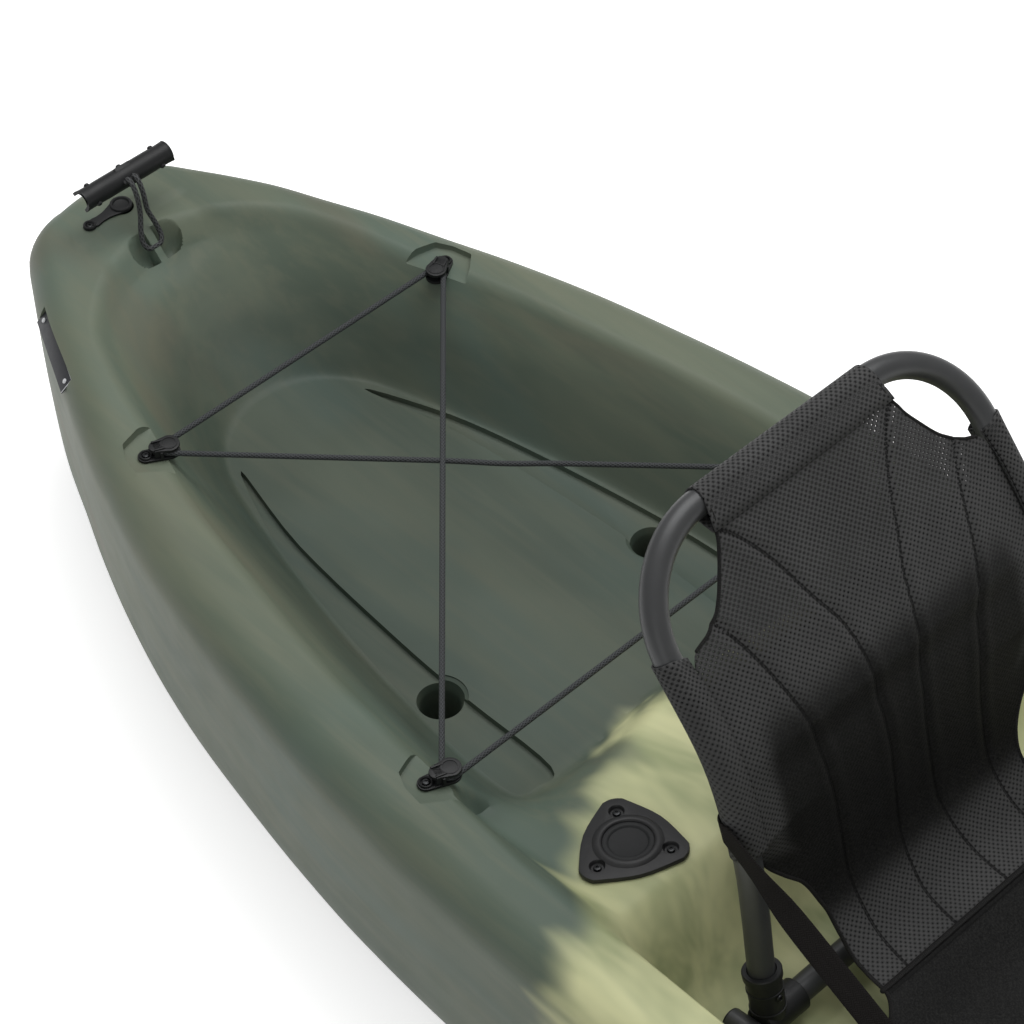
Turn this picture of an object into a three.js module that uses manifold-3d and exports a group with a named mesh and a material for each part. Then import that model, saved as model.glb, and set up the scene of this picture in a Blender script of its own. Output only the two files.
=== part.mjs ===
// Fishing kayak: a one-piece moulded sit-on-top hull with a framed mesh seat, in millimetres.
// +X points to the bow, +Y to port and +Z up. The origin lies under the middle of the hull,
// on the ground that the keel rests on.
import * as THREE from 'three';
import { mergeVertices } from 'three/addons/utils/BufferGeometryUtils.js';
import Module from 'manifold-3d';

const wasm = await Module();
wasm.setup();

// General sizes
const clearance = 0.3;
const overrun = 10;
const weld = 0.001;
const boltSides = 8;
const roundSides = 16;
const tubeSides = 10;
const hatchSides = 24;
const scupperSides = 12;
const shankSides = 6;

// Hull: length, beam and heights above the ground
const hullLength = 3124;
const hullBeam = 787;
const gunwaleHeight = 320;
const sternRise = 15;
const bowRise = 52;
const deckCrown = 6;
const wall = 5;
const rimRadius = 45;
const rimWidth = 84;
const tunnelDepth = 20;
const sternX = -hullLength / 2;
const halfBeam = hullBeam / 2;

// Places along the hull, as shares of its length from the stern
const placeShares = {
  drain: 0.02177,
  sternHandle: 0.04161,
  wellRimAft: 0.04513,
  ratingPlate: 0.04674,
  wellFloorAft: 0.09603,
  clipRear: 0.12196,
  wellScupper: 0.24488,
  seatDeckAft: 0.28873,
  clipFront: 0.29193,
  wellFloorFore: 0.29706,
  rodHolder: 0.34443,
  wellRimFore: 0.34635,
  seatDeckCrest: 0.36172,
  seatPivot: 0.41101,
  footScupper: 0.69206,
  cockpitFore: 0.83611,
  bowHandle: 0.96415,
};
const alongHull = (name) => sternX + hullLength * placeShares[name];

// Depths of the decks, floors and fittings below the gunwale
const wellRimDrop = 6;
const wellDepth = 124;
const cockpitRimDrop = 6;
const seatDeckDrop = 50;
const seatShelfDrop = 132;
const footwellDrop = 190;
const consoleDrop = 115;
const clipDrop = 8;
const ratingPlateDrop = 47;

// Curves along the hull: each row is a share of the length from the stern, then a share of the size named
const planShares = [[0, 0], [0.0008, 0.114], [0.003, 0.198], [0.007, 0.252], [0.013, 0.29], [0.021, 0.33],
  [0.032, 0.384], [0.047, 0.45], [0.065, 0.515], [0.085, 0.59], [0.11, 0.673], [0.14, 0.757], [0.17, 0.823],
  [0.2, 0.874], [0.235, 0.925], [0.27, 0.963], [0.31, 0.986], [0.35, 0.996], [0.4, 1], [0.45, 0.999],
  [0.5, 0.991], [0.55, 0.976], [0.6, 0.953], [0.65, 0.92], [0.7, 0.872], [0.745, 0.816], [0.79, 0.74],
  [0.83, 0.656], [0.865, 0.564], [0.895, 0.468], [0.92, 0.379], [0.942, 0.29], [0.96, 0.214],
  [0.974, 0.152], [0.988, 0.092], [0.997, 0.04], [1, 0]];
const sternRiseShares = [[0, 1], [0.045, 0.95], [0.08, 0.6], [0.115, 0.08], [0.15, 0], [1, 0]];
const bowRiseShares = [[0, 0], [0.55, 0], [0.7, 0.15], [0.85, 0.54], [0.95, 0.88], [1, 1]];
const keelShares = [[0, 0.66], [0.003, 0.5], [0.013, 0.34], [0.032, 0.2], [0.065, 0.1], [0.11, 0.04],
  [0.17, 0.008], [0.25, 0], [0.7, 0], [0.8, 0.015], [0.87, 0.06], [0.92, 0.13], [0.96, 0.24],
  [0.985, 0.38], [0.995, 0.5], [1, 0.68]];
const tunnelShares = [[0, 0], [0.06, 0], [0.2, 1], [0.75, 1], [0.93, 0], [1, 0]];
const cavityStationShares = [0.008, 0.03, 0.085, 0.15, 0.24, 0.35, 0.5, 0.65, 0.76, 0.85, 0.92, 0.97, 0.988];

// Hull section from the keel to the top of the side: share of the half breadth, share of the depth
const bottomShares = [[0, 0], [0.11, 0], [0.2, 0.35], [0.33, 1], [0.46, 0.95], [0.59, 0.3], [0.67, 0],
  [0.81, 0]];
const sideShares = [[0.9, 0.035], [0.943, 0.12], [0.966, 0.26], [0.988, 0.46], [1, 0.68]];
const rimArcSteps = 3;
const endShare = 0.2;

// Tank well behind the seat. Its outlines run from the stern to the front on the port half: share of the
// length, share of the half width
const wellRimHeight = gunwaleHeight - wellRimDrop;
const wellFloorHeight = gunwaleHeight - wellDepth;
const wellChannelDepth = 8;
const wellRimFlare = 9;
const wellFloorFillet = 10;
const wellRimInset = 94.5;
const wellSideRun = 97;
const wellRimAft = alongHull('wellRimAft');
const wellRimLength = alongHull('wellRimFore') - wellRimAft;
const wellRimHalfWidth = halfBeam - wellRimInset;
const wellFloorAft = alongHull('wellFloorAft');
const wellFloorLength = alongHull('wellFloorFore') - wellFloorAft;
const wellFloorHalfWidth = wellRimHalfWidth - wellSideRun;
// How far down the well's side two of its rings lie
const wellBrowShare = 0.06;
const wellFootShare = 0.95;
const wellRimShares = [
  [0, 0], [0.009, 0.14], [0.028, 0.264], [0.053, 0.368], [0.085, 0.458], [0.158, 0.565], [0.256, 0.679],
  [0.356, 0.773], [0.49, 0.86], [0.634, 0.94], [0.766, 0.983], [0.883, 1], [1, 0.993], [0.963, 0.602],
  [0.931, 0.284], [0.913, 0]];
const wellFloorShares = [
  [0, 0], [0.006, 0.149], [0.025, 0.287], [0.057, 0.406], [0.115, 0.53], [0.21, 0.629], [0.322, 0.723],
  [0.449, 0.817], [0.576, 0.891], [0.704, 0.946], [0.826, 0.985], [0.927, 1], [0.99, 0.941], [1, 0.594],
  [0.989, 0.297], [0.981, 0]];
const channelShares = [
  [0.115, 0.46], [0.323, 0.604], [0.605, 0.683], [0.782, 0.703], [0.975, 0.708], [0.989, 0.851],
  [0.967, 0.97], [0.826, 0.97], [0.661, 0.911], [0.449, 0.797], [0.274, 0.668]];
const outlineOf = (shares, aft, length, halfWidth) => shares.map(([along, out]) => [aft + length * along,
  halfWidth * out]);
const wellRimOutline = outlineOf(wellRimShares, wellRimAft, wellRimLength, wellRimHalfWidth);
const wellFloorOutline = outlineOf(wellFloorShares, wellFloorAft, wellFloorLength, wellFloorHalfWidth);
const channelOutline = outlineOf(channelShares, wellFloorAft, wellFloorLength, wellFloorHalfWidth);

// Seat base: its size, and its places forward of the backrest's pivot
const pivotX = alongHull('seatPivot');
const pivotRise = 27;
const baseHalfWidth = 245.3;
const baseRear = -24;
const baseFront = 493;

// Seat deck and footwell: places along the hull, floor heights and floor half widths
const seatSideRoom = 35.7;
const shelfRear = -44;
const shelfFront = 468;
const plateX = alongHull('rodHolder');
const plateY = 200;
const seatDeckHeight = gunwaleHeight - seatDeckDrop;
const seatDeckTilt = THREE.MathUtils.degToRad(8);
const seatShelfHeight = gunwaleHeight - seatShelfDrop;
const footwellHeight = gunwaleHeight - footwellDrop;
const deckAt = (x) => seatDeckHeight + (x - plateX) * Math.tan(seatDeckTilt);
const seatDeckAft = alongHull('seatDeckAft');
const seatDeckCrest = alongHull('seatDeckCrest');
const seatShelfAft = pivotX + shelfRear;
const seatShelfFore = pivotX + shelfFront;
const cockpitFore = alongHull('cockpitFore');
const cockpitForeRise = 30;
const cockpitForeHeight = gunwaleHeight + cockpitForeRise;
const cockpitHalfWidth = baseHalfWidth + seatSideRoom;
const cockpitEdge = 12;
// Rows: share of the stretch's length, share of its rise, share of the half width
const seatDeckShares = [[0, 1, 0.982], [0.763, 1, 0.996], [1, 1, 1]];
const rampShares = [[0.155, 0.915, 1], [0.79, 0.09, 0.993], [1, 0, 0.989]];
const footwellDropShares = [[0, 1, 0.954], [0.017, 0.88, 0.897], [0.058, 0.121, 0.843], [0.084, 0, 0.826]];
const footwellRiseShares = [[0.593, 0, 0.73], [0.802, 0.023, 0.587], [0.878, 0.114, 0.498],
  [0.942, 0.464, 0.399], [0.979, 0.736, 0.327], [1, 1, 0.249]];
const stretch = (shares, aft, fore, low, high) => shares.map(([along, up, out]) => [
  aft + (fore - aft) * along, low + (high - low) * up, cockpitHalfWidth * out]);
const seatDeckStations = stretch(seatDeckShares, seatDeckAft, seatDeckCrest, seatShelfHeight, seatDeckHeight)
  .map(([x, , out]) => [x, deckAt(x), out]);
const cockpitStations = [
  ...seatDeckStations,
  ...stretch(rampShares, seatDeckCrest, seatShelfAft, seatShelfHeight, deckAt(seatDeckCrest)),
  ...stretch(footwellDropShares, seatShelfFore, cockpitFore, footwellHeight, seatShelfHeight),
  ...stretch(footwellRiseShares, seatShelfFore, cockpitFore, footwellHeight, cockpitForeHeight)];

// Console between the legs, which carries the hatch
const consoleAhead = 200;
const consoleX = seatShelfFore + consoleAhead;
const consoleHeight = gunwaleHeight - consoleDrop;
const consoleHalfLength = 132;
const consoleHalfWidth = 114;
const consoleDraft = 22;

// Scuppers: pairs of drain holes from the decks through the bottom
const scupperRadius = 22;
const scupperFlare = 27;
const scupperMouth = 31;
const scupperFlareDepth = 12;
const wellScupperInset = 42;
const seatScupperAhead = 218;
const seatScupperY = 118;
const footScupperY = 92;
const scupperPlaces = [
  [alongHull('wellScupper'), wellFloorHalfWidth - wellScupperInset, wellFloorHeight],
  [pivotX + seatScupperAhead, seatScupperY, seatShelfHeight],
  [alongHull('footScupper'), footScupperY, footwellHeight]];

// Bungee clips, each in its own recess on the rim
const clipLength = 47;
const clipWidth = 24;
const clipBase = 3;
const clipCap = 4;
const clipPostRadius = 4.6;
const clipTabRadius = 9;
const clipHeight = gunwaleHeight - clipDrop;
const clipRecessLength = 62;
const clipRecessWidth = 50;
const clipRearX = alongHull('clipRear');
const clipRearInset = 71.8;
const clipRearTurn = THREE.MathUtils.degToRad(24);
const clipFrontX = alongHull('clipFront');
const clipFrontInset = 86.7;
const clipFrontTurn = THREE.MathUtils.degToRad(18);
const bungeeDiameter = 6.2;

// Screws
const screwRadius = 2;
const screwHeadRadius = 4.2;
const screwHeadHeight = 2.2;
const screwLength = 14;

// Rod holders behind the seat
const flangeThickness = 4;
const flangeScrewCircle = 43;
const flangeCornerRadius = 19;
const flangeLobes = [-Math.PI / 6, -Math.PI * 5 / 6, Math.PI / 2];
const rodTubeRadius = 26;
const rodTubeWall = 3;
const rodTubeLength = 190;
const rodTilt = THREE.MathUtils.degToRad(10);
const rodLipHeight = 5;
const mouthDepth = 12;
const capFlange = 3;
const capPlug = 14;

// Carrying handles at both ends
const gripLength = 128;
const gripRadius = 13;
const gripWall = 3.5;
const gripBumpRadius = 3;
const gripBumpShares = [-0.36, 0, 0.36];
const handleRopeDiameter = 6;
const handleStrandGap = 18;
const handleReach = 78;
const handleTilt = THREE.MathUtils.degToRad(31);
const handleSternX = alongHull('sternHandle');
const handleBowX = alongHull('bowHandle');
const ropeDepth = 21;
const pocketRadius = 15;
const pocketOffset = 17;
const pocketShares = [1.5, 0.8, 2];

// Drain plug on the stern deck
const drainX = alongHull('drain');
const drainY = 3;
const drainRadius = 8;
const drainHeadRadius = 13;
const drainHeadHeight = 5;
const drainPlugDepth = 14;
const drainBushRadius = 12;
const drainBushFlange = 15;
const drainBushFlangeHeight = 2;
const drainStrapThickness = 2.5;
const drainStrapLength = 48;
const drainStrapTurn = THREE.MathUtils.degToRad(-87);
const drainPlugTip = 5;
const drainDimpleRadius = 9.4;
const drainRingRadius = 7.5;

// Bare rating plate on the starboard quarter
const plateLength = 120;
const plateHeight = 18;
const plateThickness = 1.2;
const plateCentreX = alongHull('ratingPlate');
const plateCentreZ = gunwaleHeight - ratingPlateDrop;
const plateRecess = 2.4;
const rivetRadius = 3;
const rivetHeight = 1.6;

// Seat frame
const pivotZ = seatShelfHeight + pivotRise;
const backTubeRadius = 13.5;
const backHalfWidth = 218;
const backCornerRadius = 105;
const backHeight = 468;
const backSetback = 221;
const backProfileShares = [[0.045, 0.0246], [0.137, 0.075], [0.28, 0.128], [0.421, 0.19], [0.558, 0.285],
  [0.686, 0.425], [0.835, 0.697], [1, 1]];
const teeRadius = 18;
const teeSocketTop = 63;
const teeOuter = 232.5;
const teeInner = 180;
const crossEndGap = 2;
const teeScrewTurn = THREE.MathUtils.degToRad(150);
const baseTubeRadius = 12.5;
const baseRearX = pivotX + baseRear;
const baseFrontX = pivotX + baseFront;
const baseSlope = 0.149;
const baseCornerRadius = 70;
const standAhead = 428;
const standX = pivotX + standAhead;
const standTubeRadius = 11;
const standBendRadius = 34;
const hingeBoltRadius = 4;
const hingeBoltHead = 8;
const saddleLength = 54;
const saddleWidth = 34;
const saddleAhead = 118;
const saddleX = pivotX + saddleAhead;

// Seat fabric and straps
const fabric = 2.5;
const creaseAhead = 75;
const creaseRise = 48;
const creaseX = pivotX + creaseAhead;
const creaseZ = pivotZ + creaseRise;
const creaseHalfWidth = 146;
const sleeveShare = 0.2;
const waistTopShare = 0.5;
const backSag = 12;
const seatSag = 24;
const seatFlareAhead = 168;
const seatFlareX = pivotX + seatFlareAhead;
const strapWidth = 25;
const strapThickness = 2;
const strapTopShare = 0.52;
const strapAhead = 410;
const strapEndX = pivotX + strapAhead;
const anchorThickness = 4;
const buckleLength = 30;
const buckleRim = 4;
const buckleFace = 3;

// Hatch on the console
const hatchHole = 76;
const hatchFlangeRadius = 100;
const hatchFlangeHeight = 5;
const hatchCoaming = 12;
const hatchNeckDepth = 22;
const hatchWall = 4;
const hatchLidHeight = 7;
const gasketRadius = 2.2;

// The waist's path from the back to the crease: shares of its length, of its run forward and of its fall
const waistPathShares = [[0, 0, 0], [0.137, 0.018, 0.177], [0.335, 0.097, 0.43], [0.472, 0.177, 0.602],
  [0.57, 0.257, 0.72], [0.686, 0.398, 0.844], [0.809, 0.602, 0.946], [0.908, 0.805, 0.984], [1, 1, 1]];
// Its edges: share of its length, share of the half width at its top
const waistWidthShares = [[0, 1], [0.275, 0.975], [0.42, 0.8], [0.65, 0.71], [1, 0.741]];
// The back panel: height shares of its rows, and its edges as a height share and a share of the half width
const backRowShares = [1, 0.975, 0.95, 0.925, 0.905, 0.887, 0.87, 0.858, 0.848, 0.838, 0.83, 0.77, 0.71, 0.65,
  0.59, 0.54, 0.5];
const backWidthShares = [[0.5, 1], [0.83, 1], [0.848, 0.83], [0.87, 0.72], [0.905, 0.645], [0.95, 0.575],
  [1, 0.52]];

// Materials
const finish = (color, roughness, metalness = 0) => (
  new THREE.MeshStandardMaterial({ color, roughness, metalness }));
const hullFinish = () => finish(0x6b7560, 0.55);
const blackPlastic = () => finish(0x1d1e1f, 0.5);
const blackCord = () => finish(0x26282a, 0.85);
const steel = () => finish(0x8d9093, 0.35, 1);
const paintedTube = () => finish(0x3a3c3e, 0.4, 0.6);
const meshFabric = () => finish(0x2c2d2e, 0.8);
const webbing = () => finish(0x211f1e, 0.85);
const brightMetal = () => finish(0xd8dadc, 0.25, 1);
const plateFinish = () => finish(0x2b2e33, 0.5);
const greyRubber = () => finish(0x4a4d50, 0.7);

const kayak = new THREE.Group();

function addPiece(name, geometry, material) {
  const mesh = new THREE.Mesh(geometry, material);
  mesh.name = name;
  kayak.add(mesh);
  return mesh;
}

// Solids: welded, joined, cut and given back as geometry

function solidOf(geometry) {
  const plain = geometry.clone();
  plain.deleteAttribute('normal');
  plain.deleteAttribute('uv');
  const welded = mergeVertices(plain, weld);
  return new wasm.Manifold(new wasm.Mesh({
    numProp: 3,
    vertProperties: new Float32Array(welded.attributes.position.array),
    triVerts: new Uint32Array(welded.index.array),
  }));
}

function geometryOf(solid) {
  const mesh = solid.getMesh();
  const geometry = new THREE.BufferGeometry();
  geometry.setAttribute('position', new THREE.BufferAttribute(new Float32Array(mesh.vertProperties), 3));
  geometry.setIndex(new THREE.BufferAttribute(new Uint32Array(mesh.triVerts), 1));
  geometry.computeVertexNormals();
  return geometry;
}

const join = (first, ...rest) => rest.reduce((sum, next) => sum.add(next), first);
const cut = (first, ...rest) => rest.reduce((left, next) => left.subtract(next), first);

function placed(geometry, x, y, z, turn = 0) {
  return solidOf(geometry.clone().rotateZ(turn).translate(x, y, z));
}

// The faces between rings of equal point counts
function ringFaces(count, ringCount) {
  const faces = [];
  for (let low = 0; low < (ringCount - 1) * count; low += count) {
    const high = low + count;
    for (let i = 0; i < count; i += 1) {
      const next = (i + 1) % count;
      faces.push(low + i, low + next, high + next, low + i, high + next, high + i);
    }
  }
  return faces;
}

function facedGeometry(points, faces) {
  const geometry = new THREE.BufferGeometry();
  geometry.setAttribute('position', new THREE.BufferAttribute(new Float32Array(points.flat()), 3));
  geometry.setIndex(faces);
  return geometry;
}

// A loft through rings, closed by a fan at each end
function loft(rings) {
  const count = rings[0].length;
  const points = rings.flat();
  const faces = ringFaces(count, rings.length);
  const closeEnd = (start, flip) => {
    const shape = points.slice(start, start + count);
    const middle = shape.reduce((sum, p) => sum.map((v, k) => v + p[k] / count), [0, 0, 0]);
    const centre = points.push(middle) - 1;
    for (let i = 0; i < count; i += 1) {
      const pair = [start + i, start + (i + 1) % count];
      faces.push(centre, ...(flip ? pair.reverse() : pair));
    }
  };
  closeEnd(0, true);
  closeEnd((rings.length - 1) * count, false);
  return facedGeometry(points, faces);
}

// A loft whose faces point out, whichever way its rings run
function loftSolid(rings) {
  const solid = solidOf(loft(rings));
  return solid.volume() > 0 ? solid : solidOf(loft([...rings].reverse()));
}

function cylinder(radius, height, sides = roundSides, topRadius = radius) {
  return new THREE.CylinderGeometry(topRadius, radius, height, sides).rotateX(Math.PI / 2);
}

// An upright cylinder that stands on a height
function post(radius, x, y, low, high, sides = roundSides, topRadius = radius) {
  return placed(cylinder(radius, high - low, sides, topRadius), x, y, (low + high) / 2);
}

function block(x, y, z, width, depth, height, turn = 0) {
  return placed(new THREE.BoxGeometry(width, depth, height), x, y, z, turn);
}

// A flat outline with the given thickness, standing on a height
function slab(outline, low, high) {
  const shape = new THREE.Shape(outline.map(([x, y]) => new THREE.Vector2(x, y)));
  return solidOf(new THREE.ExtrudeGeometry(shape, { depth: high - low, bevelEnabled: false, steps: 1 })
    .translate(0, 0, low));
}

// A smooth value from a table of rows, by a cubic that never overshoots its rows
function smoothAt(rows, at) {
  const last = rows.length - 1;
  let i = 0;
  while (i < last - 1 && at > rows[i + 1][0]) i += 1;
  const slope = (k) => (rows[k + 1][1] - rows[k][1]) / (rows[k + 1][0] - rows[k][0]);
  const tangent = (k) => {
    if (k === 0) return slope(0);
    if (k === last) return slope(last - 1);
    const before = slope(k - 1);
    const after = slope(k);
    return before * after <= 0 ? 0 : 2 * before * after / (before + after);
  };
  const span = rows[i + 1][0] - rows[i][0];
  const t = THREE.MathUtils.clamp((at - rows[i][0]) / span, 0, 1);
  const start = (1 + 2 * t) * (1 - t) ** 2;
  const end = t * t * (3 - 2 * t);
  const pull = t * (1 - t) * ((1 - t) * tangent(i) - t * tangent(i + 1)) * span;
  return start * rows[i][1] + end * rows[i + 1][1] + pull;
}

// Hull form: sizes at a place along the length

const shareAt = (x) => (x - sternX) / hullLength;
const halfBreadth = (x) => halfBeam * smoothAt(planShares, shareAt(x));
const keelHeight = (x) => gunwaleHeight * smoothAt(keelShares, shareAt(x));

function gunwaleTop(x) {
  const share = shareAt(x);
  const stern = sternRise * smoothAt(sternRiseShares, share);
  const bow = bowRise * smoothAt(bowRiseShares, share);
  return gunwaleHeight + stern + bow;
}

// The rim rounds down over both ends
function deckTop(x) {
  const fromEnd = Math.min(hullLength / 2 - Math.abs(x), rimRadius);
  const inward = rimRadius - fromEnd;
  return gunwaleTop(x) - (rimRadius - Math.sqrt(rimRadius ** 2 - inward ** 2));
}

function hullRing(x, inset = 0) {
  const breadth = Math.max(halfBreadth(x) - inset, 0.01 * clearance);
  const low = keelHeight(x) + inset;
  const top = deckTop(x) - inset;
  const depth = top - low;
  const tunnel = tunnelDepth * smoothAt(tunnelShares, shareAt(x));
  const radius = Math.min(rimRadius, breadth / 2, depth * 0.45);
  const half = bottomShares.map(([across, up]) => [breadth * across, low + tunnel * up]);
  sideShares.forEach(([across, up]) => half.push([breadth * across,
    low + (depth - radius) * up / sideShares.at(-1)[1]]));
  for (let step = 1; step <= rimArcSteps; step += 1) {
    const angle = Math.PI / 2 * step / rimArcSteps;
    half.push([breadth - radius + radius * Math.cos(angle), top - radius + radius * Math.sin(angle)]);
  }
  half.push([(breadth - radius) / 2, top + deckCrown * 0.75]);
  half.push([0, top + deckCrown]);
  const mirrored = half.slice(1, -1).reverse().map(([y, z]) => [-y, z]);
  return [...half, ...mirrored].map(([y, z]) => [x, y, z]);
}

function mirroredOutline(outline) {
  const back = outline.filter(([, y]) => y !== 0).reverse().map(([x, y]) => [x, -y]);
  return [...outline, ...back];
}

// An outline moved outwards along its own normals
function grown(outline, distance) {
  const count = outline.length;
  return outline.map(([x, y], i) => {
    const [ax, ay] = outline[(i + count - 1) % count];
    const [bx, by] = outline[(i + 1) % count];
    const length = Math.hypot(bx - ax, by - ay);
    return [x - (by - ay) / length * distance, y + (bx - ax) / length * distance];
  });
}

function wellSolid(extra, deeper) {
  const rim = mirroredOutline(wellRimOutline);
  const floor = mirroredOutline(wellFloorOutline);
  const between = (share) => rim.map(([x, y], i) => [x + (floor[i][0] - x) * share,
    y + (floor[i][1] - y) * share]);
  const levels = [[wellRimHeight + rimRadius, grown(rim, wellRimFlare * 2 + extra)],
    [wellRimHeight + wellRimFlare, grown(rim, wellRimFlare + extra)],
    [wellRimHeight - wellRimFlare, grown(between(wellBrowShare), extra)],
    [wellFloorHeight + wellFloorFillet - deeper, grown(between(wellFootShare), extra)],
    [wellFloorHeight - deeper, grown(floor, extra - wellFloorFillet)]];
  return loftSolid(levels.map(([z, outline]) => outline.map(([x, y]) => [x, y, z])));
}

function cockpitSolid(extra, deeper) {
  const rings = cockpitStations.map(([x, floor, width], i) => {
    const along = i === 0 ? x - extra : x + (i === cockpitStations.length - 1 ? extra : 0);
    const rim = Math.max(halfBreadth(x) - rimWidth - 2 * clearance, width);
    const top = Math.max(gunwaleTop(x), floor) + rimRadius;
    const edge = Math.max(gunwaleTop(x) - cockpitRimDrop, floor + cockpitEdge * 2);
    const half = [[rim + cockpitEdge + extra, top], [rim + extra, edge],
      [width + extra, floor + cockpitEdge - deeper],
      [width - cockpitEdge + extra, floor - deeper]];
    return [...half, ...half.slice().reverse().map(([y, z]) => [-y, z])].map(([y, z]) => [along, y, z]);
  });
  return loftSolid(rings);
}

function consoleSolid(inset) {
  const ring = (grow, z) => [[-1, -1], [1, -1], [1, 1], [-1, 1]].map(([sx, sy]) => [
    consoleX + sx * (consoleHalfLength + grow - inset), sy * (consoleHalfWidth + grow - inset), z]);
  return loftSolid([ring(consoleDraft, footwellHeight - 2 * overrun), ring(0, consoleHeight - inset)]);
}

function clipPlaces() {
  const ends = [
    { end: 'rear', x: clipRearX, inset: clipRearInset, turn: clipRearTurn },
    { end: 'front', x: clipFrontX, inset: clipFrontInset, turn: clipFrontTurn }];
  return [1, -1].flatMap((side) => ends.map(({ end, x, inset, turn }) => {
    const name = `${end}_${side > 0 ? 'port' : 'starboard'}`;
    return { name, x, y: side * (halfBreadth(x) - inset), side, turn };
  }));
}

// A clip's own frame: +X runs out from the well towards the rim
const clipTurn = (clip) => (Math.PI / 2 + clip.turn) * clip.side;

function onClip(clip, along, across) {
  const turn = clipTurn(clip);
  return [clip.x + along * Math.cos(turn) - across * Math.sin(turn),
    clip.y + along * Math.sin(turn) + across * Math.cos(turn)];
}

function clipRecess(clip) {
  const half = clipRecessLength / 2;
  const corner = clipRecessWidth / 4;
  const outline = [[-half * 2, -clipRecessWidth / 2], [half - corner, -clipRecessWidth / 2],
    [half, -clipRecessWidth / 2 + corner], [half, clipRecessWidth / 2 - corner],
    [half - corner, clipRecessWidth / 2], [-half * 2, clipRecessWidth / 2]];
  return slab(outline.map(([a, b]) => onClip(clip, a, b)), clipHeight, clipHeight + rimRadius);
}

const clipScrewAlong = clipLength / 2 - clipTabRadius;
const clipNoseAlong = -clipLength / 2 + clipWidth / 2;

function screwHole(x, y, low, high) {
  return post(screwRadius + clearance, x, y, low, high, boltSides);
}

// Rod holder frame: tilted with the seat deck
const rodPlaces = [1, -1].map((side) => ({ side, name: side > 0 ? 'port' : 'starboard' }));

function onSeatDeck(geometry, side) {
  return geometry.clone().rotateY(-seatDeckTilt).translate(plateX, side * plateY, seatDeckHeight);
}

function rodTube(radius, from, to, side) {
  const tube = cylinder(radius, to - from, roundSides).translate(0, 0, (from + to) / 2);
  return solidOf(onSeatDeck(tube.rotateY(-rodTilt), side));
}

function flangeScrewSpots() {
  return flangeLobes.map((angle) => [flangeScrewCircle * Math.cos(angle),
    flangeScrewCircle * Math.sin(angle)]);
}

function makeHull() {
  const kept = planShares.filter(([share], i) => i % 2 === 0 || share < endShare || share > 1 - endShare);
  const stations = kept.map(([share]) => sternX + share * hullLength);
  const skin = loftSolid(stations.map((x) => hullRing(x)));
  const inside = loftSolid(cavityStationShares.map((share) => hullRing(sternX + share * hullLength, wall)));
  const well = wellSolid(0, 0);
  const cockpit = cut(cockpitSolid(0, 0), consoleSolid(0));
  const wellShell = wellSolid(wall, wall + wellChannelDepth);
  const cockpitShell = cut(cockpitSolid(wall, wall), consoleSolid(wall));
  const handleBlocks = [handleSternX, handleBowX].map((x) => block(x, 0, gunwaleHeight + rimRadius,
    4 * pocketRadius, 5 * pocketRadius, 2 * rimRadius + 2 * pocketRadius));
  const rimBlocks = clipPlaces().map((clip) => block(clip.x, clip.y, clipHeight, clipRecessWidth * 1.3,
    clipRecessLength * 1.3, 2 * wall + 2 * overrun));
  const hollow = cut(inside, wellShell, cockpitShell, ...handleBlocks, ...rimBlocks);
  let hull = cut(skin, hollow, well, cockpit);
  for (const side of [1, -1]) {
    for (const [x, y, floor] of scupperPlaces) {
      const tube = post(scupperFlare + wall, x, side * y, wall, floor - wall, scupperSides).intersect(skin);
      hull = hull.add(tube);
    }
    for (const [x, y, floor] of scupperPlaces) {
      const bore = post(scupperRadius, x, side * y, -overrun, floor + overrun, scupperSides);
      const flare = post(scupperRadius, x, side * y, floor - scupperFlareDepth, floor + overrun,
        scupperSides, scupperMouth);
      hull = cut(hull, bore, flare);
    }
    const channel = channelOutline.map(([x, y]) => [x, side * y]);
    hull = cut(hull, slab(side > 0 ? channel.reverse() : channel, wellFloorHeight - wellChannelDepth,
      wellFloorHeight + overrun));
    hull = cut(hull, rodTube(rodTubeRadius + clearance * 2, -3 * overrun, overrun, side));
    for (const [x, y] of flangeScrewSpots()) {
      const hole = cylinder(screwRadius + clearance, screwLength * 2, boltSides).translate(x, y * side, 0);
      hull = cut(hull, solidOf(onSeatDeck(hole, side)));
    }
  }
  for (const clip of clipPlaces()) {
    const [x, y] = onClip(clip, clipScrewAlong, 0);
    hull = cut(hull, clipRecess(clip), screwHole(x, y, clipHeight - screwLength, clipHeight + overrun));
  }
  for (const x of [handleSternX, handleBowX]) hull = cut(hull, ...handlePockets(x));
  hull = cut(hull, post(drainBushRadius + clearance, drainX, drainY, gunwaleHeight - 4 * wall,
    gunwaleHeight + rimRadius));
  hull = cut(hull, post(drainBushFlange + clearance, drainX, drainY, drainSeat - drainBushFlangeHeight,
    gunwaleHeight + rimRadius));
  hull = cut(hull, drainPad(), screwHole(drainAnchorX, drainAnchorY, drainSeat - screwLength,
    drainSeat + overrun));
  hull = cut(hull, ratingRecess(), ...rivetSpots().map((along) => solidOf(onPlate(
    cylinder(rivetRadius * 0.6 + clearance, 4 * overrun, boltSides).rotateX(Math.PI / 2), along, 0))));
  hull = cut(hull, post(hatchHole + hatchWall + clearance, consoleX, 0, consoleHeight - 3 * wall,
    consoleHeight + overrun, hatchSides));
  return hull;
}

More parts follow.
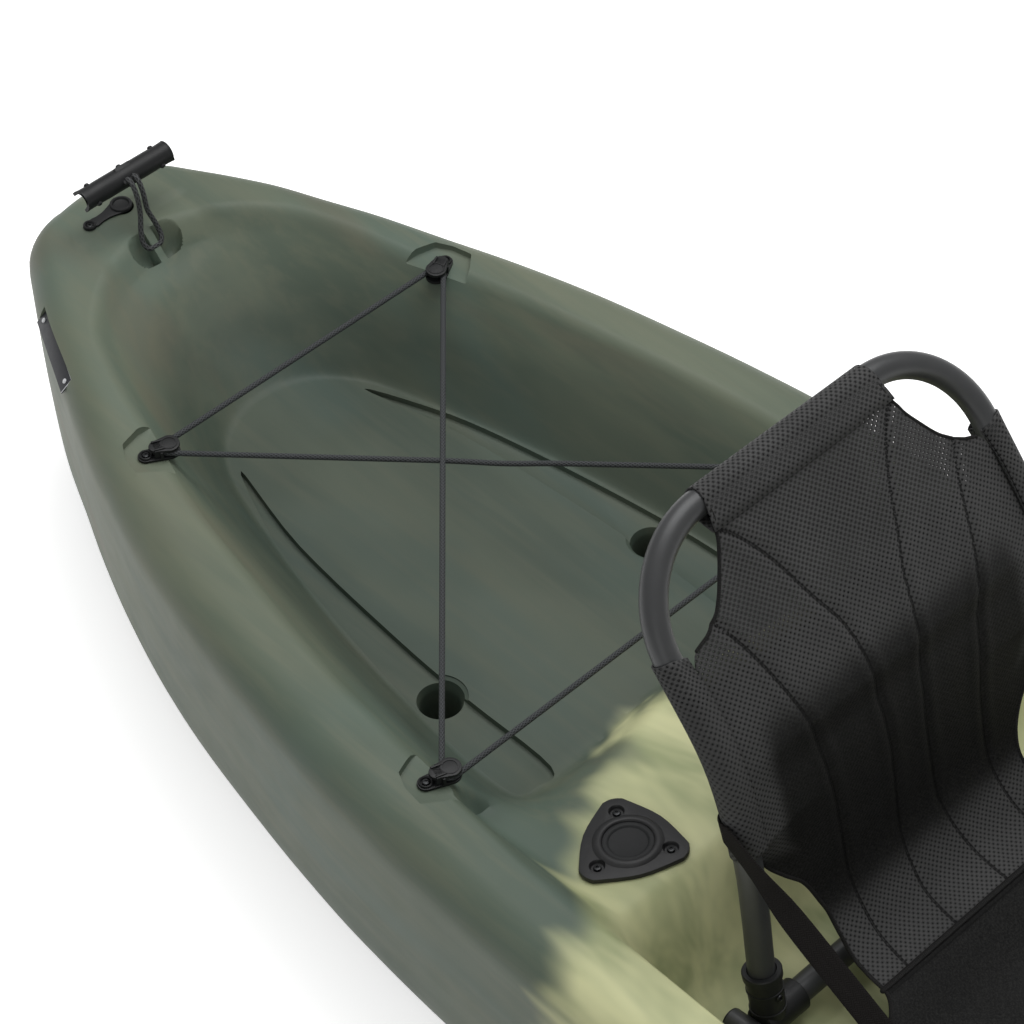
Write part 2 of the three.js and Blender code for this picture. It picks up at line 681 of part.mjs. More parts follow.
// Handle pockets: two scoops in the deck and the tunnel that joins them under the bridge
function handlePockets(x) {
  const top = deckTop(x) + deckCrown;
  const deep = top - ropeDepth;
  const tunnel = handleRopeDiameter / 2 + 2 * clearance;
  const run = new THREE.CylinderGeometry(tunnel, tunnel, 2 * pocketOffset, boltSides);
  const parts = [solidOf(run.translate(x, 0, deep))];
  for (const side of [1, -1]) {
    const scoop = new THREE.SphereGeometry(pocketRadius, scupperSides, scupperSides / 2);
    parts.push(solidOf(scoop.scale(...pocketShares).translate(x, side * pocketOffset, top)));
  }
  return parts;
}

// Drain seat: a level pad on the stern deck
const drainSeat = deckTop(drainX) + deckCrown * 0.5;
const drainAnchorX = drainX + drainStrapLength * Math.cos(drainStrapTurn);
const drainAnchorY = drainY + drainStrapLength * Math.sin(drainStrapTurn);

function drainPad() {
  const head = post(drainBushFlange + 2 * clearance + wall, drainX, drainY, drainSeat, drainSeat + rimRadius);
  const foot = post(drainRingRadius + wall, drainAnchorX, drainAnchorY, drainSeat, drainSeat + rimRadius);
  const strap = block((drainX + drainAnchorX) / 2, (drainY + drainAnchorY) / 2, drainSeat + rimRadius / 2,
    drainStrapLength, 2 * (drainRingRadius + wall), rimRadius, drainStrapTurn);
  return join(head, foot, strap);
}

// Rating plate frame: on the hull's side, turned with its outline
const plateEnds = [-1, 1].map((end) => halfBreadth(plateCentreX + end * plateLength / 2));
const plateSlope = Math.atan2(plateEnds[1] - plateEnds[0], plateLength);

function onPlate(geometry, along, out) {
  return geometry.clone().translate(along, -out, 0).rotateZ(-plateSlope)
    .translate(plateCentreX, -halfBreadth(plateCentreX) + plateRecess, plateCentreZ);
}

function ratingRecess() {
  const size = 2 * clearance;
  const recess = new THREE.BoxGeometry(plateLength + size, 2 * overrun, plateHeight + size);
  return solidOf(onPlate(recess, 0, overrun));
}

const rivetSpots = () => [-1, 1].map((end) => end * (plateLength / 2 - 3 * rivetRadius));

// Small helpers for the fittings

function screwSolid(length = screwLength) {
  const head = post(screwHeadRadius, 0, 0, 0, screwHeadHeight, boltSides);
  return join(head, post(screwRadius, 0, 0, -length, 0.5 * screwHeadHeight, shankSides));
}

// Under this share of a unit length, a cord's start counts as upright
const uprightShare = 0.1;

// A round cord through hand-chosen points, one ring at each
function sweep(points, radius, sides) {
  const path = points.map((p) => new THREE.Vector3(...p));
  const last = path.length - 1;
  const heading = (i) => path[Math.min(i + 1, last)].clone().sub(path[Math.max(i - 1, 0)]).normalize();
  let across = new THREE.Vector3(0, 0, 1).cross(heading(0));
  if (across.length() < uprightShare) across = new THREE.Vector3(0, 1, 0).cross(heading(0));
  const rings = path.map((point, i) => {
    const along = heading(i);
    across.addScaledVector(along, -across.dot(along)).normalize();
    const up = along.clone().cross(across);
    const ring = [];
    for (let k = 0; k < sides; k += 1) {
      const angle = Math.PI * 2 * k / sides;
      const spot = point.clone().addScaledVector(across, radius * Math.cos(angle));
      spot.addScaledVector(up, radius * Math.sin(angle));
      ring.push(spot.toArray());
    }
    return ring;
  });
  return loftSolid(rings);
}

// A flat band: each path row holds a point and the direction of the band's width
function ribbon(path, width, thickness) {
  const rows = path.map(([point, side]) => [new THREE.Vector3(...point),
    new THREE.Vector3(...side).normalize()]);
  const rings = rows.map(([point, side], i) => {
    const after = rows[Math.min(i + 1, rows.length - 1)][0];
    const before = rows[Math.max(i - 1, 0)][0];
    const face = after.clone().sub(before).cross(side).normalize();
    return [[1, 1], [-1, 1], [-1, -1], [1, -1]].map(([a, b]) => point.clone()
      .addScaledVector(side, a * width / 2).addScaledVector(face, b * thickness / 2).toArray());
  });
  return loftSolid(rings);
}

// A thin panel from a surface function of across (-1 to 1) and down (0 to 1)
function panel(at, rows, columns, thickness) {
  const spot = (down, across) => new THREE.Vector3(...at(across, down));
  const stepShare = 0.001;
  const rings = [];
  for (let row = 0; row <= rows; row += 1) {
    const down = row / rows;
    const front = [];
    const back = [];
    for (let column = 0; column <= columns; column += 1) {
      const across = column / columns * 2 - 1;
      const point = spot(down, across);
      const above = spot(Math.max(down - stepShare, 0), across);
      const below = spot(Math.min(down + stepShare, 1), across);
      const left = spot(down, Math.max(across - stepShare, -1));
      const right = spot(down, Math.min(across + stepShare, 1));
      const alongDown = below.sub(above);
      const alongAcross = right.sub(left);
      const normal = alongDown.cross(alongAcross).normalize().multiplyScalar(thickness / 2);
      front.push(point.clone().add(normal).toArray());
      back.push(point.clone().sub(normal).toArray());
    }
    rings.push([...front, ...back.reverse()]);
  }
  return loftStrip(rings);
}

// A loft of thin rings whose two end rings are closed by strips instead of fans
function loftStrip(rings) {
  const count = rings[0].length;
  const points = rings.flat();
  const faces = ringFaces(count, rings.length);
  const last = (rings.length - 1) * count;
  for (let i = 0; i + 1 < count / 2; i += 1) {
    const far = count - 1 - i;
    faces.push(i, far, far - 1, i, far - 1, i + 1);
    faces.push(last + i, last + far - 1, last + far, last + i, last + i + 1, last + far - 1);
  }
  const solid = solidOf(facedGeometry(points, faces));
  if (solid.volume() > 0) return solid;
  const turned = faces.map((_, i) => faces[i - i % 3 + [0, 2, 1][i % 3]]);
  return solidOf(facedGeometry(points, turned));
}

const addSolid = (name, solid, material) => addPiece(name, geometryOf(solid), material);

// A solid made in its own frame, turned about Z and set down
const setDown = (solid, x, y, z, turn = 0) => placed(geometryOf(solid), x, y, z, turn);

// Bungee clips

const clipBaseTop = clipHeight + clearance + clipBase;
const cordHeight = clipBaseTop + clearance + bungeeDiameter / 2;
const capBottom = clipBaseTop + bungeeDiameter + 2 * clearance;
const capTop = capBottom + clipCap;

function clipSolid() {
  const half = clipWidth / 2;
  const nose = clipNoseAlong;
  const tab = clipScrewAlong;
  const disc = (radius, at, low, high) => post(radius, at, 0, low, high, tubeSides);
  const waistBlock = (from, to, width, low, high) => block((from + to) / 2, 0, (low + high) / 2, to - from,
    width, high - low);
  const base = join(disc(half, nose, clipHeight + clearance, clipBaseTop),
    disc(clipTabRadius, tab, clipHeight + clearance, clipBaseTop),
    waistBlock(nose, tab, 2 * clipTabRadius, clipHeight + clearance, clipBaseTop));
  const wallFrom = nose + clipPostRadius + bungeeDiameter + 3 * clearance;
  const wallTo = tab - screwHeadRadius - 3 * clearance;
  const cap = join(disc(half, nose, capBottom, capTop), waistBlock(nose, wallTo, 2 * clipTabRadius,
    capBottom, capTop));
  const back = waistBlock(wallFrom, wallTo, 2 * clipTabRadius, clipBaseTop - clearance, capTop);
  const pin = disc(clipPostRadius, nose, clipBaseTop - clearance, capBottom + clearance);
  return cut(join(base, cap, back, pin), post(screwRadius + clearance, tab, 0, clipHeight - overrun, capTop,
    boltSides));
}

function addClips() {
  const clip = clipSolid();
  const screw = screwSolid();
  for (const place of clipPlaces()) {
    addSolid(`bungee_clip_${place.name}`, setDown(clip, place.x, place.y, 0, clipTurn(place)),
      blackPlastic());
    const [x, y] = onClip(place, clipScrewAlong, 0);
    addSolid(`bungee_clip_screw_${place.name}`, setDown(screw, x, y, clipBaseTop + clearance), steel());
  }
}

// The bungee: one shock cord round the four clip posts, crossed in the middle, its ends at the front
// port clip
function bungeePoints() {
  const radius = clipPostRadius + clearance + bungeeDiameter / 2;
  const at = (name) => clipPlaces().find((clip) => clip.name === name);
  const stops = [['front_port', -1], ['front_starboard', -1], ['rear_port', 1], ['rear_starboard', 1],
    ['front_port', -1]]
    .map(([name, sense]) => ({ centre: onClip(at(name), clipNoseAlong, 0), sense }));
  const headings = stops.slice(1).map((stop, i) => {
    const [ax, ay] = stops[i].centre;
    const [bx, by] = stop.centre;
    const length = Math.hypot(bx - ax, by - ay);
    return Math.atan2(by - ay, bx - ax) - Math.asin((stop.sense - stops[i].sense) * radius / length);
  });
  const onPost = (stop, heading) => [stop.centre[0] + stop.sense * radius * Math.sin(heading),
    stop.centre[1] - stop.sense * radius * Math.cos(heading), cordHeight];
  const points = [];
  const arc = (stop, from, to) => {
    const steps = Math.max(Math.ceil(Math.abs(to - from) / (Math.PI / 6)), 2);
    for (let step = 0; step <= steps; step += 1) points.push(onPost(stop, from + (to - from) * step / steps));
  };
  const halfTurn = Math.PI * 0.42;
  arc(stops[0], headings[0] + halfTurn, headings[0]);
  for (let i = 1; i < stops.length; i += 1) {
    const crossing = stops[i].sense !== stops[i - 1].sense;
    const start = points.at(-1);
    const end = onPost(stops[i], headings[i - 1]);
    for (const share of [0.25, 0.5, 0.75]) {
      const over = crossing ? (i === 2 ? 1 : -1) * (bungeeDiameter / 2 + clearance) : 0;
      const lift = over * (1 - Math.abs(2 * share - 1));
      const x = start[0] + (end[0] - start[0]) * share;
      const y = start[1] + (end[1] - start[1]) * share;
      points.push([x, y, cordHeight + lift]);
    }
    const out = i < headings.length ? headings[i] : headings[i - 1] - halfTurn;
    const fullTurn = 2 * Math.PI;
    const bent = ((out - headings[i - 1]) * stops[i].sense) % fullTurn;
    const turned = stops[i].sense * ((bent + fullTurn) % fullTurn);
    arc(stops[i], headings[i - 1], headings[i - 1] + turned);
  }
  return points;
}

// Rod holders

function flangeOutline(grow = 0) {
  const outline = [];
  for (const lobe of flangeLobes) {
    for (let step = -2; step <= 2; step += 1) {
      const angle = lobe + step * Math.PI / 6;
      outline.push([flangeScrewCircle * Math.cos(lobe) + (flangeCornerRadius + grow) * Math.cos(angle),
        flangeScrewCircle * Math.sin(lobe) + (flangeCornerRadius + grow) * Math.sin(angle)]);
    }
  }
  return outline.sort((a, b) => Math.atan2(a[1], a[0]) - Math.atan2(b[1], b[0]));
}

const flangeTop = clearance + flangeThickness;
const lipOuter = rodTubeRadius + rodLipHeight;
const rodBore = rodTubeRadius - rodTubeWall;
const onDeckSolid = (solid, side) => solidOf(onSeatDeck(geometryOf(solid), side));

function rodHolderSolid(side) {
  const tilted = (radius, from, to) => solidOf(cylinder(radius, to - from, roundSides)
    .translate(0, 0, (from + to) / 2).rotateY(-rodTilt));
  const outline = flangeOutline().map(([x, y]) => [x, y * side]);
  const plate = slab(side > 0 ? outline : outline.reverse(), clearance, flangeTop);
  const reach = 6 * rodTubeRadius;
  const above = block(0, 0, flangeTop + rodTubeRadius, reach, reach, 2 * rodTubeRadius);
  const skirt = tilted(rodTubeRadius, -rodTubeLength, 0).subtract(above);
  const body = join(plate, skirt, post(lipOuter, 0, 0, clearance, flangeTop + rodLipHeight, roundSides));
  const holes = flangeScrewSpots().flatMap(([x, y]) => [
    post(screwRadius + clearance, x, y * side, -overrun, overrun, boltSides),
    post(screwHeadRadius + clearance, x, y * side, flangeTop - screwHeadHeight, overrun, boltSides)]);
  const socket = tilted(rodBore, rodTubeWall - rodTubeLength, -mouthDepth / 2);
  const mouth = post(rodBore, 0, 0, -mouthDepth, overrun);
  const seat = post(rodTubeRadius, 0, 0, flangeTop, overrun * 2);
  return cut(body, socket, mouth, seat, ...holes);
}

function capSolid() {
  const disc = post(rodTubeRadius - clearance, 0, 0, flangeTop + clearance,
    flangeTop + clearance + capFlange);
  const plug = post(rodBore - clearance, 0, 0, clearance + flangeTop - capPlug, flangeTop + 2 * clearance);
  return cut(join(disc, plug), post(rodBore - capFlange, 0, 0, flangeTop + capFlange / 2,
    flangeTop + 2 * capFlange));
}

function addRodHolders() {
  for (const { side, name } of rodPlaces) {
    addSolid(`rod_holder_${name}`, onDeckSolid(rodHolderSolid(side), side), blackPlastic());
    addSolid(`rod_holder_cap_${name}`, onDeckSolid(capSolid(), side), greyRubber());
    flangeScrewSpots().forEach(([x, y], i) => {
      const screw = setDown(screwSolid(), x, y * side, flangeTop - screwHeadHeight + clearance);
      addSolid(`rod_holder_screw_${name}_${['inner_fore', 'inner_aft', 'outer'][i]}`,
        onDeckSolid(screw, side), steel());
    });
  }
}

// Carrying handles: a half-pipe grip on a rope that passes under the bridge between the two pockets

const ropeHeight = (x) => deckTop(x) + deckCrown - ropeDepth;

function gripSolid() {
  const ring = [];
  const arcSteps = 7;
  for (let i = 0; i <= arcSteps; i += 1) ring.push([Math.PI * i / arcSteps, gripRadius]);
  for (let i = arcSteps; i >= 0; i -= 1) ring.push([Math.PI * i / arcSteps, gripRadius - gripWall]);
  const spots = ring.map(([angle, r]) => new THREE.Vector2(r * Math.cos(angle), r * Math.sin(angle)));
  const outline = new THREE.Shape(spots);
  const shell = solidOf(new THREE.ExtrudeGeometry(outline, { depth: gripLength, bevelEnabled: false })
    .translate(0, 0, -gripLength / 2).rotateX(Math.PI / 2));
  const core = gripRadius - gripWall / 2;
  const bossWidth = 2 * (gripRadius - gripWall) + gripWall;
  const boss = block(0, 0, core / 2, bossWidth, handleStrandGap + gripWall, core);
  const bump = (side, share) => solidOf(new THREE.SphereGeometry(gripBumpRadius, shankSides, shankSides - 2)
    .translate(side * (gripRadius - gripWall / 2), share * gripLength, gripWall / 2));
  const bumps = [-1, 1].flatMap((side) => gripBumpShares.map((share) => bump(side, share)));
  const bore = (side) => post(handleRopeDiameter / 2 + clearance, 0, side * handleStrandGap / 4, -overrun,
    core - gripWall / 2, boltSides);
  const bores = [-1, 1].map(bore);
  return cut(join(shell, boss, ...bumps), ...bores);
}

function ropePoints() {
  const near = handleStrandGap / 4;
  const half = [
    [near, handleReach + gripWall],
    [near, handleReach - gripWall],
    [near * 1.8, handleReach - 2 * gripRadius],
    [pocketOffset * 0.85, handleReach * 0.36],
    [pocketOffset, pocketRadius * 0.75],
    [pocketOffset * 0.93, pocketRadius * 0.32],
    [pocketOffset * 0.74, pocketRadius * 0.08],
    [pocketOffset / 2, 0]];
  return [...half, ...half.slice().reverse().map(([y, up]) => [-y, up])].map(([y, up]) => [0, y, up]);
}

function addHandles() {
  for (const [name, x, lean] of [['stern', handleSternX, -handleTilt], ['bow', handleBowX, handleTilt]]) {
    const stand = (solid) => solidOf(geometryOf(solid).rotateY(lean).translate(x, 0, ropeHeight(x)));
    addSolid(`${name}_handle_grip`, stand(setDown(gripSolid(), 0, 0, handleReach)), blackPlastic());
    addSolid(`${name}_handle_rope`, stand(sweep(ropePoints(), handleRopeDiameter / 2, boltSides)),
      blackCord());
  }
}

// Drain plug, its bush in the deck and the ring that tethers it

function addDrain() {
  const atDrain = (radius, from, to, ...more) => post(radius, drainX, drainY, from, to, ...more);
  const collar = atDrain(drainBushFlange, drainSeat - drainBushFlangeHeight + clearance, drainSeat);
  const sleeve = atDrain(drainBushRadius, drainSeat - 1.4 * drainPlugDepth, drainSeat - clearance);
  const bore = atDrain(drainRadius + clearance, drainSeat - 2 * drainPlugDepth, drainSeat + overrun);
  const bush = cut(join(collar, sleeve), bore);
  addSolid('drain_bush', bush, blackPlastic());
  const low = drainSeat + clearance;
  const strapTop = low + drainStrapThickness;
  const from = drainHeadRadius / 2;
  const to = drainStrapLength - drainRingRadius - clearance;
  const outline = [[from, drainHeadRadius * 0.85], [to, drainRingRadius * 0.8],
    [to, -drainRingRadius * 0.8], [from, -drainHeadRadius * 0.85]];
  const strap = setDown(slab(outline.reverse(), low, strapTop), drainX, drainY, 0, drainStrapTurn);
  const head = atDrain(drainHeadRadius, low, low + drainHeadHeight);
  const tip = atDrain(drainPlugTip, drainSeat - drainPlugDepth, low + clearance, roundSides, drainRadius);
  const plug = join(head, strap, tip);
  const dimple = atDrain(drainDimpleRadius, low + drainHeadHeight / 2, low + 2 * drainHeadHeight);
  addSolid('drain_plug', cut(plug, dimple), blackPlastic());
  const ring = cut(post(drainRingRadius, drainAnchorX, drainAnchorY, low, strapTop),
    post(screwRadius + clearance, drainAnchorX, drainAnchorY, low - overrun, strapTop + overrun, boltSides));
  addSolid('drain_plug_tether_ring', ring, blackPlastic());
  addSolid('drain_plug_tether_screw', setDown(screwSolid(), drainAnchorX, drainAnchorY,
    strapTop + clearance), steel());
}

// Bare rating plate and its two rivets

function addRatingPlate() {
  const shank = rivetRadius * 0.6;
  const stick = (radius, from, to, at = 0) => solidOf(cylinder(radius, to - from, boltSides)
    .rotateX(Math.PI / 2).translate(at, -(from + to) / 2, 0));
  const holes = rivetSpots().map((along) => stick(shank + clearance, -overrun, overrun, along));
  const sheet = solidOf(new THREE.BoxGeometry(plateLength, plateThickness, plateHeight)
    .translate(0, -clearance - plateThickness / 2, 0));
  addSolid('rating_plate', solidOf(onPlate(geometryOf(cut(sheet, ...holes)), 0, 0)), plateFinish());
  const face = 2 * clearance + plateThickness;
  const head = stick(rivetRadius, face, face + rivetHeight);
  const rivet = join(head, stick(shank, -wall, face + rivetHeight / 2));
  rivetSpots().forEach((along, i) => {
    const end = ['aft', 'fore'][i];
    addSolid(`rating_plate_rivet_${end}`, solidOf(onPlate(geometryOf(rivet), along, 0)), brightMetal());
  });
}

// Seat back: the hoop's side profile, then the hoop itself

const profileCurve = new THREE.CatmullRomCurve3(backProfileShares.map(([up, back]) => new THREE.Vector3(
  pivotX - backSetback * back, 0, pivotZ + backHeight * up)));

// The profile's place and direction at a height share
function profileAt(share) {
  const height = pivotZ + backHeight * share;
  let low = 0;
  let high = 1;
  for (let step = 0; step < 40; step += 1) {
    const middle = (low + high) / 2;
    if (profileCurve.getPointAt(middle).z < height) low = middle;
    else high = middle;
  }
  const along = profileCurve.getTangentAt(low);
  return { point: profileCurve.getPointAt(low), along, forward: new THREE.Vector3(along.z, 0, -along.x),
    at: low };
}

// A quarter bend between two straight runs, from the first run's direction to the second's
function quarterBend(steps, place) {
  return Array.from({ length: steps + 1 }, (_, step) => place(Math.PI / 2 * step / steps));
}

// A path that is the same on both sides, from its port half
const bothSides = (half) => [...half, ...half.slice().reverse().map(([x, y, z]) => [x, -y, z])];

function hoopPoints() {
  const length = profileCurve.getLength();
  const straight = length - backCornerRadius;
  const spot = (s, y) => {
    const p = profileCurve.getPointAt(Math.min(s / length, 1));
    return [p.x, y, p.z];
  };
  const half = [];
  const sideSteps = 10;
  for (let step = 0; step < sideSteps; step += 1) half.push(spot(straight * step / sideSteps, backHalfWidth));
  const bend = quarterBend(6, (angle) => spot(straight + backCornerRadius * Math.sin(angle),
    backHalfWidth - backCornerRadius * (1 - Math.cos(angle))));
  return bothSides([...half, ...bend]);
}

const faceOffset = backTubeRadius + 2 * clearance + fabric / 2;
const waistHalfWidth = backHalfWidth - backTubeRadius - 3 * fabric;

function backPanelAt(across, down) {
  const place = down * (backRowShares.length - 1);
  const row = Math.min(Math.floor(place), backRowShares.length - 2);
  const share = backRowShares[row] + (backRowShares[row + 1] - backRowShares[row]) * (place - row);
  const { point, forward } = profileAt(share);
  const width = backHalfWidth * smoothAt(backWidthShares, share);
  const sag = backSag * (1 - across * across) * Math.min((1 - share) / sleeveShare, 1);
  const spot = point.clone().addScaledVector(forward, faceOffset - sag);
  return [spot.x, width * across, spot.z];
}

function waistPanelAt(across, down) {
  const { point, along, forward } = profileAt(waistTopShare);
  const start = point.clone().addScaledVector(forward, faceOffset).addScaledVector(along, -2 * clearance);
  const run = smoothAt(waistPathShares.map(([at, share]) => [at, share]), down);
  const fall = smoothAt(waistPathShares.map(([at, , share]) => [at, share]), down);
  const sag = backSag * (1 - across * across) * (1 - down) ** 3;
  return [start.x + (creaseX - start.x) * run - forward.x * sag,
    waistHalfWidth * smoothAt(waistWidthShares, down) * across,
    start.z + (creaseZ - start.z) * fall - forward.z * sag];
}

const baseHeight = (x) => pivotZ + (x - pivotX) * baseSlope;

function seatPanelAt(across, down) {
  const from = creaseX + fabric;
  const x = from + (baseFrontX - from) * down;
  const flare = THREE.MathUtils.smoothstep(x, from, seatFlareX);
  const corner = Math.max(x - baseFrontX + baseCornerRadius, 0);
  const full = baseHalfWidth - baseCornerRadius + Math.sqrt(baseCornerRadius ** 2 - corner ** 2);
  const width = creaseHalfWidth + (full - creaseHalfWidth) * flare;
  const rail = baseHeight(x) + baseTubeRadius + 3 * clearance + fabric / 2;
  const edge = creaseZ + (rail - creaseZ) * flare;
  const sag = seatSag * (1 - across * across) * Math.sin(Math.PI * Math.min(down * 1.02, 1)) ** 0.8;
  return [x, width * across, edge - sag];
}

// Tee fittings: a leaning socket for the hoop and a level one for the cross tube
const teeLean = Math.atan2(backProfileShares[1][1] * backSetback, backProfileShares[1][0] * backHeight);

function teeSolid(side) {
  const leaning = (radius, from, to) => solidOf(cylinder(radius, to - from)
    .translate(0, 0, (from + to) / 2).rotateY(-teeLean).translate(pivotX, side * backHalfWidth, pivotZ));
  const level = (radius, from, to, sides = roundSides) => solidOf(
    new THREE.CylinderGeometry(radius, radius, to - from, sides)
      .translate(pivotX, side * (from + to) / 2, pivotZ));
  const bore = backTubeRadius + 2 * clearance;
  const socketFloor = backHeight * backProfileShares[0][0] - 2 * clearance;
  const body = join(leaning(teeRadius, 0, teeSocketTop), level(teeRadius, teeInner, teeOuter));
  const reach = 8 * teeRadius;
  const outboard = block(pivotX, side * (teeOuter + teeRadius), pivotZ, reach, 2 * teeRadius, reach);
  const screwBore = cylinder(screwRadius + clearance, 4 * overrun, boltSides);
  return cut(body, outboard, leaning(bore, socketFloor, teeSocketTop + overrun),
    level(bore, teeInner - overrun, backHalfWidth - crossEndGap),
    level(hingeBoltRadius + 2 * clearance, teeInner, teeOuter + overrun, boltSides),
    ...teeScrewSpots(side).map((spot) => teeScrewAt(screwBore, spot)));
}

function teeScrewSpots(side) {
  return [{ name: 'fore', up: teeSocketTop * 0.55, turn: 0, side },
    { name: 'aft', up: teeSocketTop * 0.8, turn: -side * teeScrewTurn, side }];
}

function teeScrewAt(geometry, { up, turn, side }) {
  return solidOf(geometry.clone().rotateY(Math.PI / 2).translate(teeRadius + clearance, 0, 0).rotateZ(turn)
    .translate(0, 0, up).rotateY(-teeLean).translate(pivotX, side * backHalfWidth, pivotZ));
}

function basePoints() {
  const bend = quarterBend(5, (angle) => [baseFrontX - baseCornerRadius * (1 - Math.sin(angle)),
    baseHalfWidth - baseCornerRadius * (1 - Math.cos(angle))]);
  return bothSides([[baseRearX, baseHalfWidth], ...bend].map(([x, y]) => [x, y, baseHeight(x)]));
}

function standPoints() {
  const top = baseHeight(standX) - baseTubeRadius - standTubeRadius * baseSlope - clearance;
  const low = seatShelfHeight + clearance + standTubeRadius;
  const bend = quarterBend(5, (angle) => [standX, baseHalfWidth - standBendRadius * (1 - Math.cos(angle)),
    low + standBendRadius * (1 - Math.sin(angle))]);
  return bothSides([[standX, baseHalfWidth, top], ...bend]);
}

// Recline straps: round the hoop's side tube, then forward to the anchor on the base tube
const anchorOut = baseHalfWidth + baseTubeRadius + clearance;
const strapStandOff = anchorOut + anchorThickness + clearance + strapThickness / 2;

function strapPath(side) {
  const { point, along, forward } = profileAt(strapTopShare);
  const reach = backTubeRadius + fabric + 2 * clearance + strapThickness / 2;
  const ring = [];
  for (let step = 0; step <= 6; step += 1) {
    const angle = -Math.PI / 2 - Math.PI * step / 6;
    const spot = point.clone().addScaledVector(forward, reach * Math.cos(angle));
    ring.push([[spot.x, side * (backHalfWidth + reach * Math.sin(angle)), spot.z], along.toArray()]);
  }
  const start = ring.at(-1)[0];
  const end = [strapEndX, side * strapStandOff, baseHeight(strapEndX) + baseTubeRadius];
  const run = new THREE.Vector3(end[0] - start[0], 0, end[2] - start[2]).normalize();
  const knee = [end[0] - run.x * 2 * strapWidth, end[1], end[2] - run.z * 2 * strapWidth];
  const upright = new THREE.Vector3(-run.z, 0, run.x);
  [0.1, 0.3, 0.6, 0.8, 1].forEach((share) => ring.push([start.map((v, k) => v + (knee[k] - v) * share),
    along.clone().lerp(upright, Math.min(share * 4, 1)).toArray()]));
  ring.push([[end[0] + run.x * strapWidth / 2, end[1], end[2] + run.z * strapWidth / 2], upright.toArray()]);
  return ring;
}

function addStraps(side, name) {
  const path = strapPath(side);
  addSolid(`recline_strap_${name}`, ribbon(path, strapWidth, strapThickness), webbing());
  const [from, to] = [path.at(-4), path.at(-3)];
  const along = (share) => [from[0].map((v, k) => v + (to[0][k] - v) * share), from[1]];
  const span = new THREE.Vector3(...to[0]).distanceTo(new THREE.Vector3(...from[0]));
  const reach = buckleLength / span / 2;
  const frame = ribbon([along(0.5 - reach), along(0.5 + reach)], strapWidth + 2 * buckleRim,
    strapThickness + 2 * buckleFace);
  const slot = ribbon([along(0.5 - 2 * reach), along(0.5 + 2 * reach)], strapWidth + 2 * clearance,
    strapThickness + 2 * clearance);
  addSolid(`strap_buckle_${name}`, cut(frame, slot), blackPlastic());
  addSolid(`strap_anchor_${name}`, block(strapEndX, side * (anchorOut + anchorThickness / 2),
    baseHeight(strapEndX) + baseTubeRadius / 2,
    strapWidth, anchorThickness, 3 * baseTubeRadius), steel());
}

function addSeat() {
  addSolid('seat_back_hoop', sweep(hoopPoints(), backTubeRadius, tubeSides), paintedTube());
  addSolid('seat_back_mesh', panel(backPanelAt, 16, 10, fabric), meshFabric());
  addSolid('seat_waist_mesh', panel(waistPanelAt, 12, 8, fabric), meshFabric());
  addSolid('seat_pan_mesh', panel(seatPanelAt, 11, 10, fabric), meshFabric());
  const crossHalf = backHalfWidth - crossEndGap - clearance;
  const crossTube = new THREE.CylinderGeometry(backTubeRadius, backTubeRadius, 2 * crossHalf, tubeSides);
  addPiece('seat_cross_tube', crossTube.translate(pivotX, 0, pivotZ), paintedTube());
  const boltHole = (radius, from, to) => solidOf(
    new THREE.CylinderGeometry(radius, radius, to - from, boltSides)
      .translate(pivotX, (from + to) / 2, pivotZ));
  const baseTube = sweep(basePoints(), baseTubeRadius, tubeSides);
  const reach = anchorOut + overrun;
  addSolid('seat_base_hoop', cut(baseTube, boltHole(hingeBoltRadius + clearance, -reach, reach)),
    paintedTube());
  addSolid('seat_front_stand', sweep(standPoints(), standTubeRadius, tubeSides), paintedTube());
  const teeScrew = geometryOf(screwSolid(teeRadius - backTubeRadius - clearance));
  for (const side of [1, -1]) {
    const name = side > 0 ? 'port' : 'starboard';
    addSolid(`seat_tee_${name}`, teeSolid(side), blackPlastic());
    for (const spot of teeScrewSpots(side)) {
      addSolid(`seat_tee_screw_${name}_${spot.name}`, teeScrewAt(teeScrew, spot), steel());
    }
    const bolt = join(boltHole(hingeBoltRadius, backHalfWidth, anchorOut + clearance),
      boltHole(hingeBoltHead, anchorOut, anchorOut + hingeBoltRadius));
    const turned = side > 0 ? bolt : solidOf(geometryOf(bolt).rotateZ(Math.PI).translate(2 * pivotX, 0, 0));
    addSolid(`seat_hinge_bolt_${name}`, turned, steel());
    const axis = baseHeight(saddleX);
    const low = seatShelfHeight + clearance;
    const saddleHeight = axis - low;
    const saddle = block(saddleX, side * baseHalfWidth, low + saddleHeight / 2, saddleLength, saddleWidth,
      saddleHeight);
    const cradle = sweep(basePoints(), baseTubeRadius + 2 * clearance, tubeSides);
    addSolid(`seat_saddle_${name}`, cut(saddle, cradle), greyRubber());
    addStraps(side, name);
  }
}

// Hatch: coaming in the console, a seal ring and the turning lid

const coamingTop = consoleHeight + clearance + hatchFlangeHeight + hatchCoaming;
const lidUnder = coamingTop + 2 * gasketRadius + 2 * clearance;

function lathed(profile) {
  const spots = profile.map(([r, z]) => new THREE.Vector2(r, z));
  return solidOf(new THREE.LatheGeometry(spots, hatchSides).rotateX(Math.PI / 2).translate(consoleX, 0, 0));
}

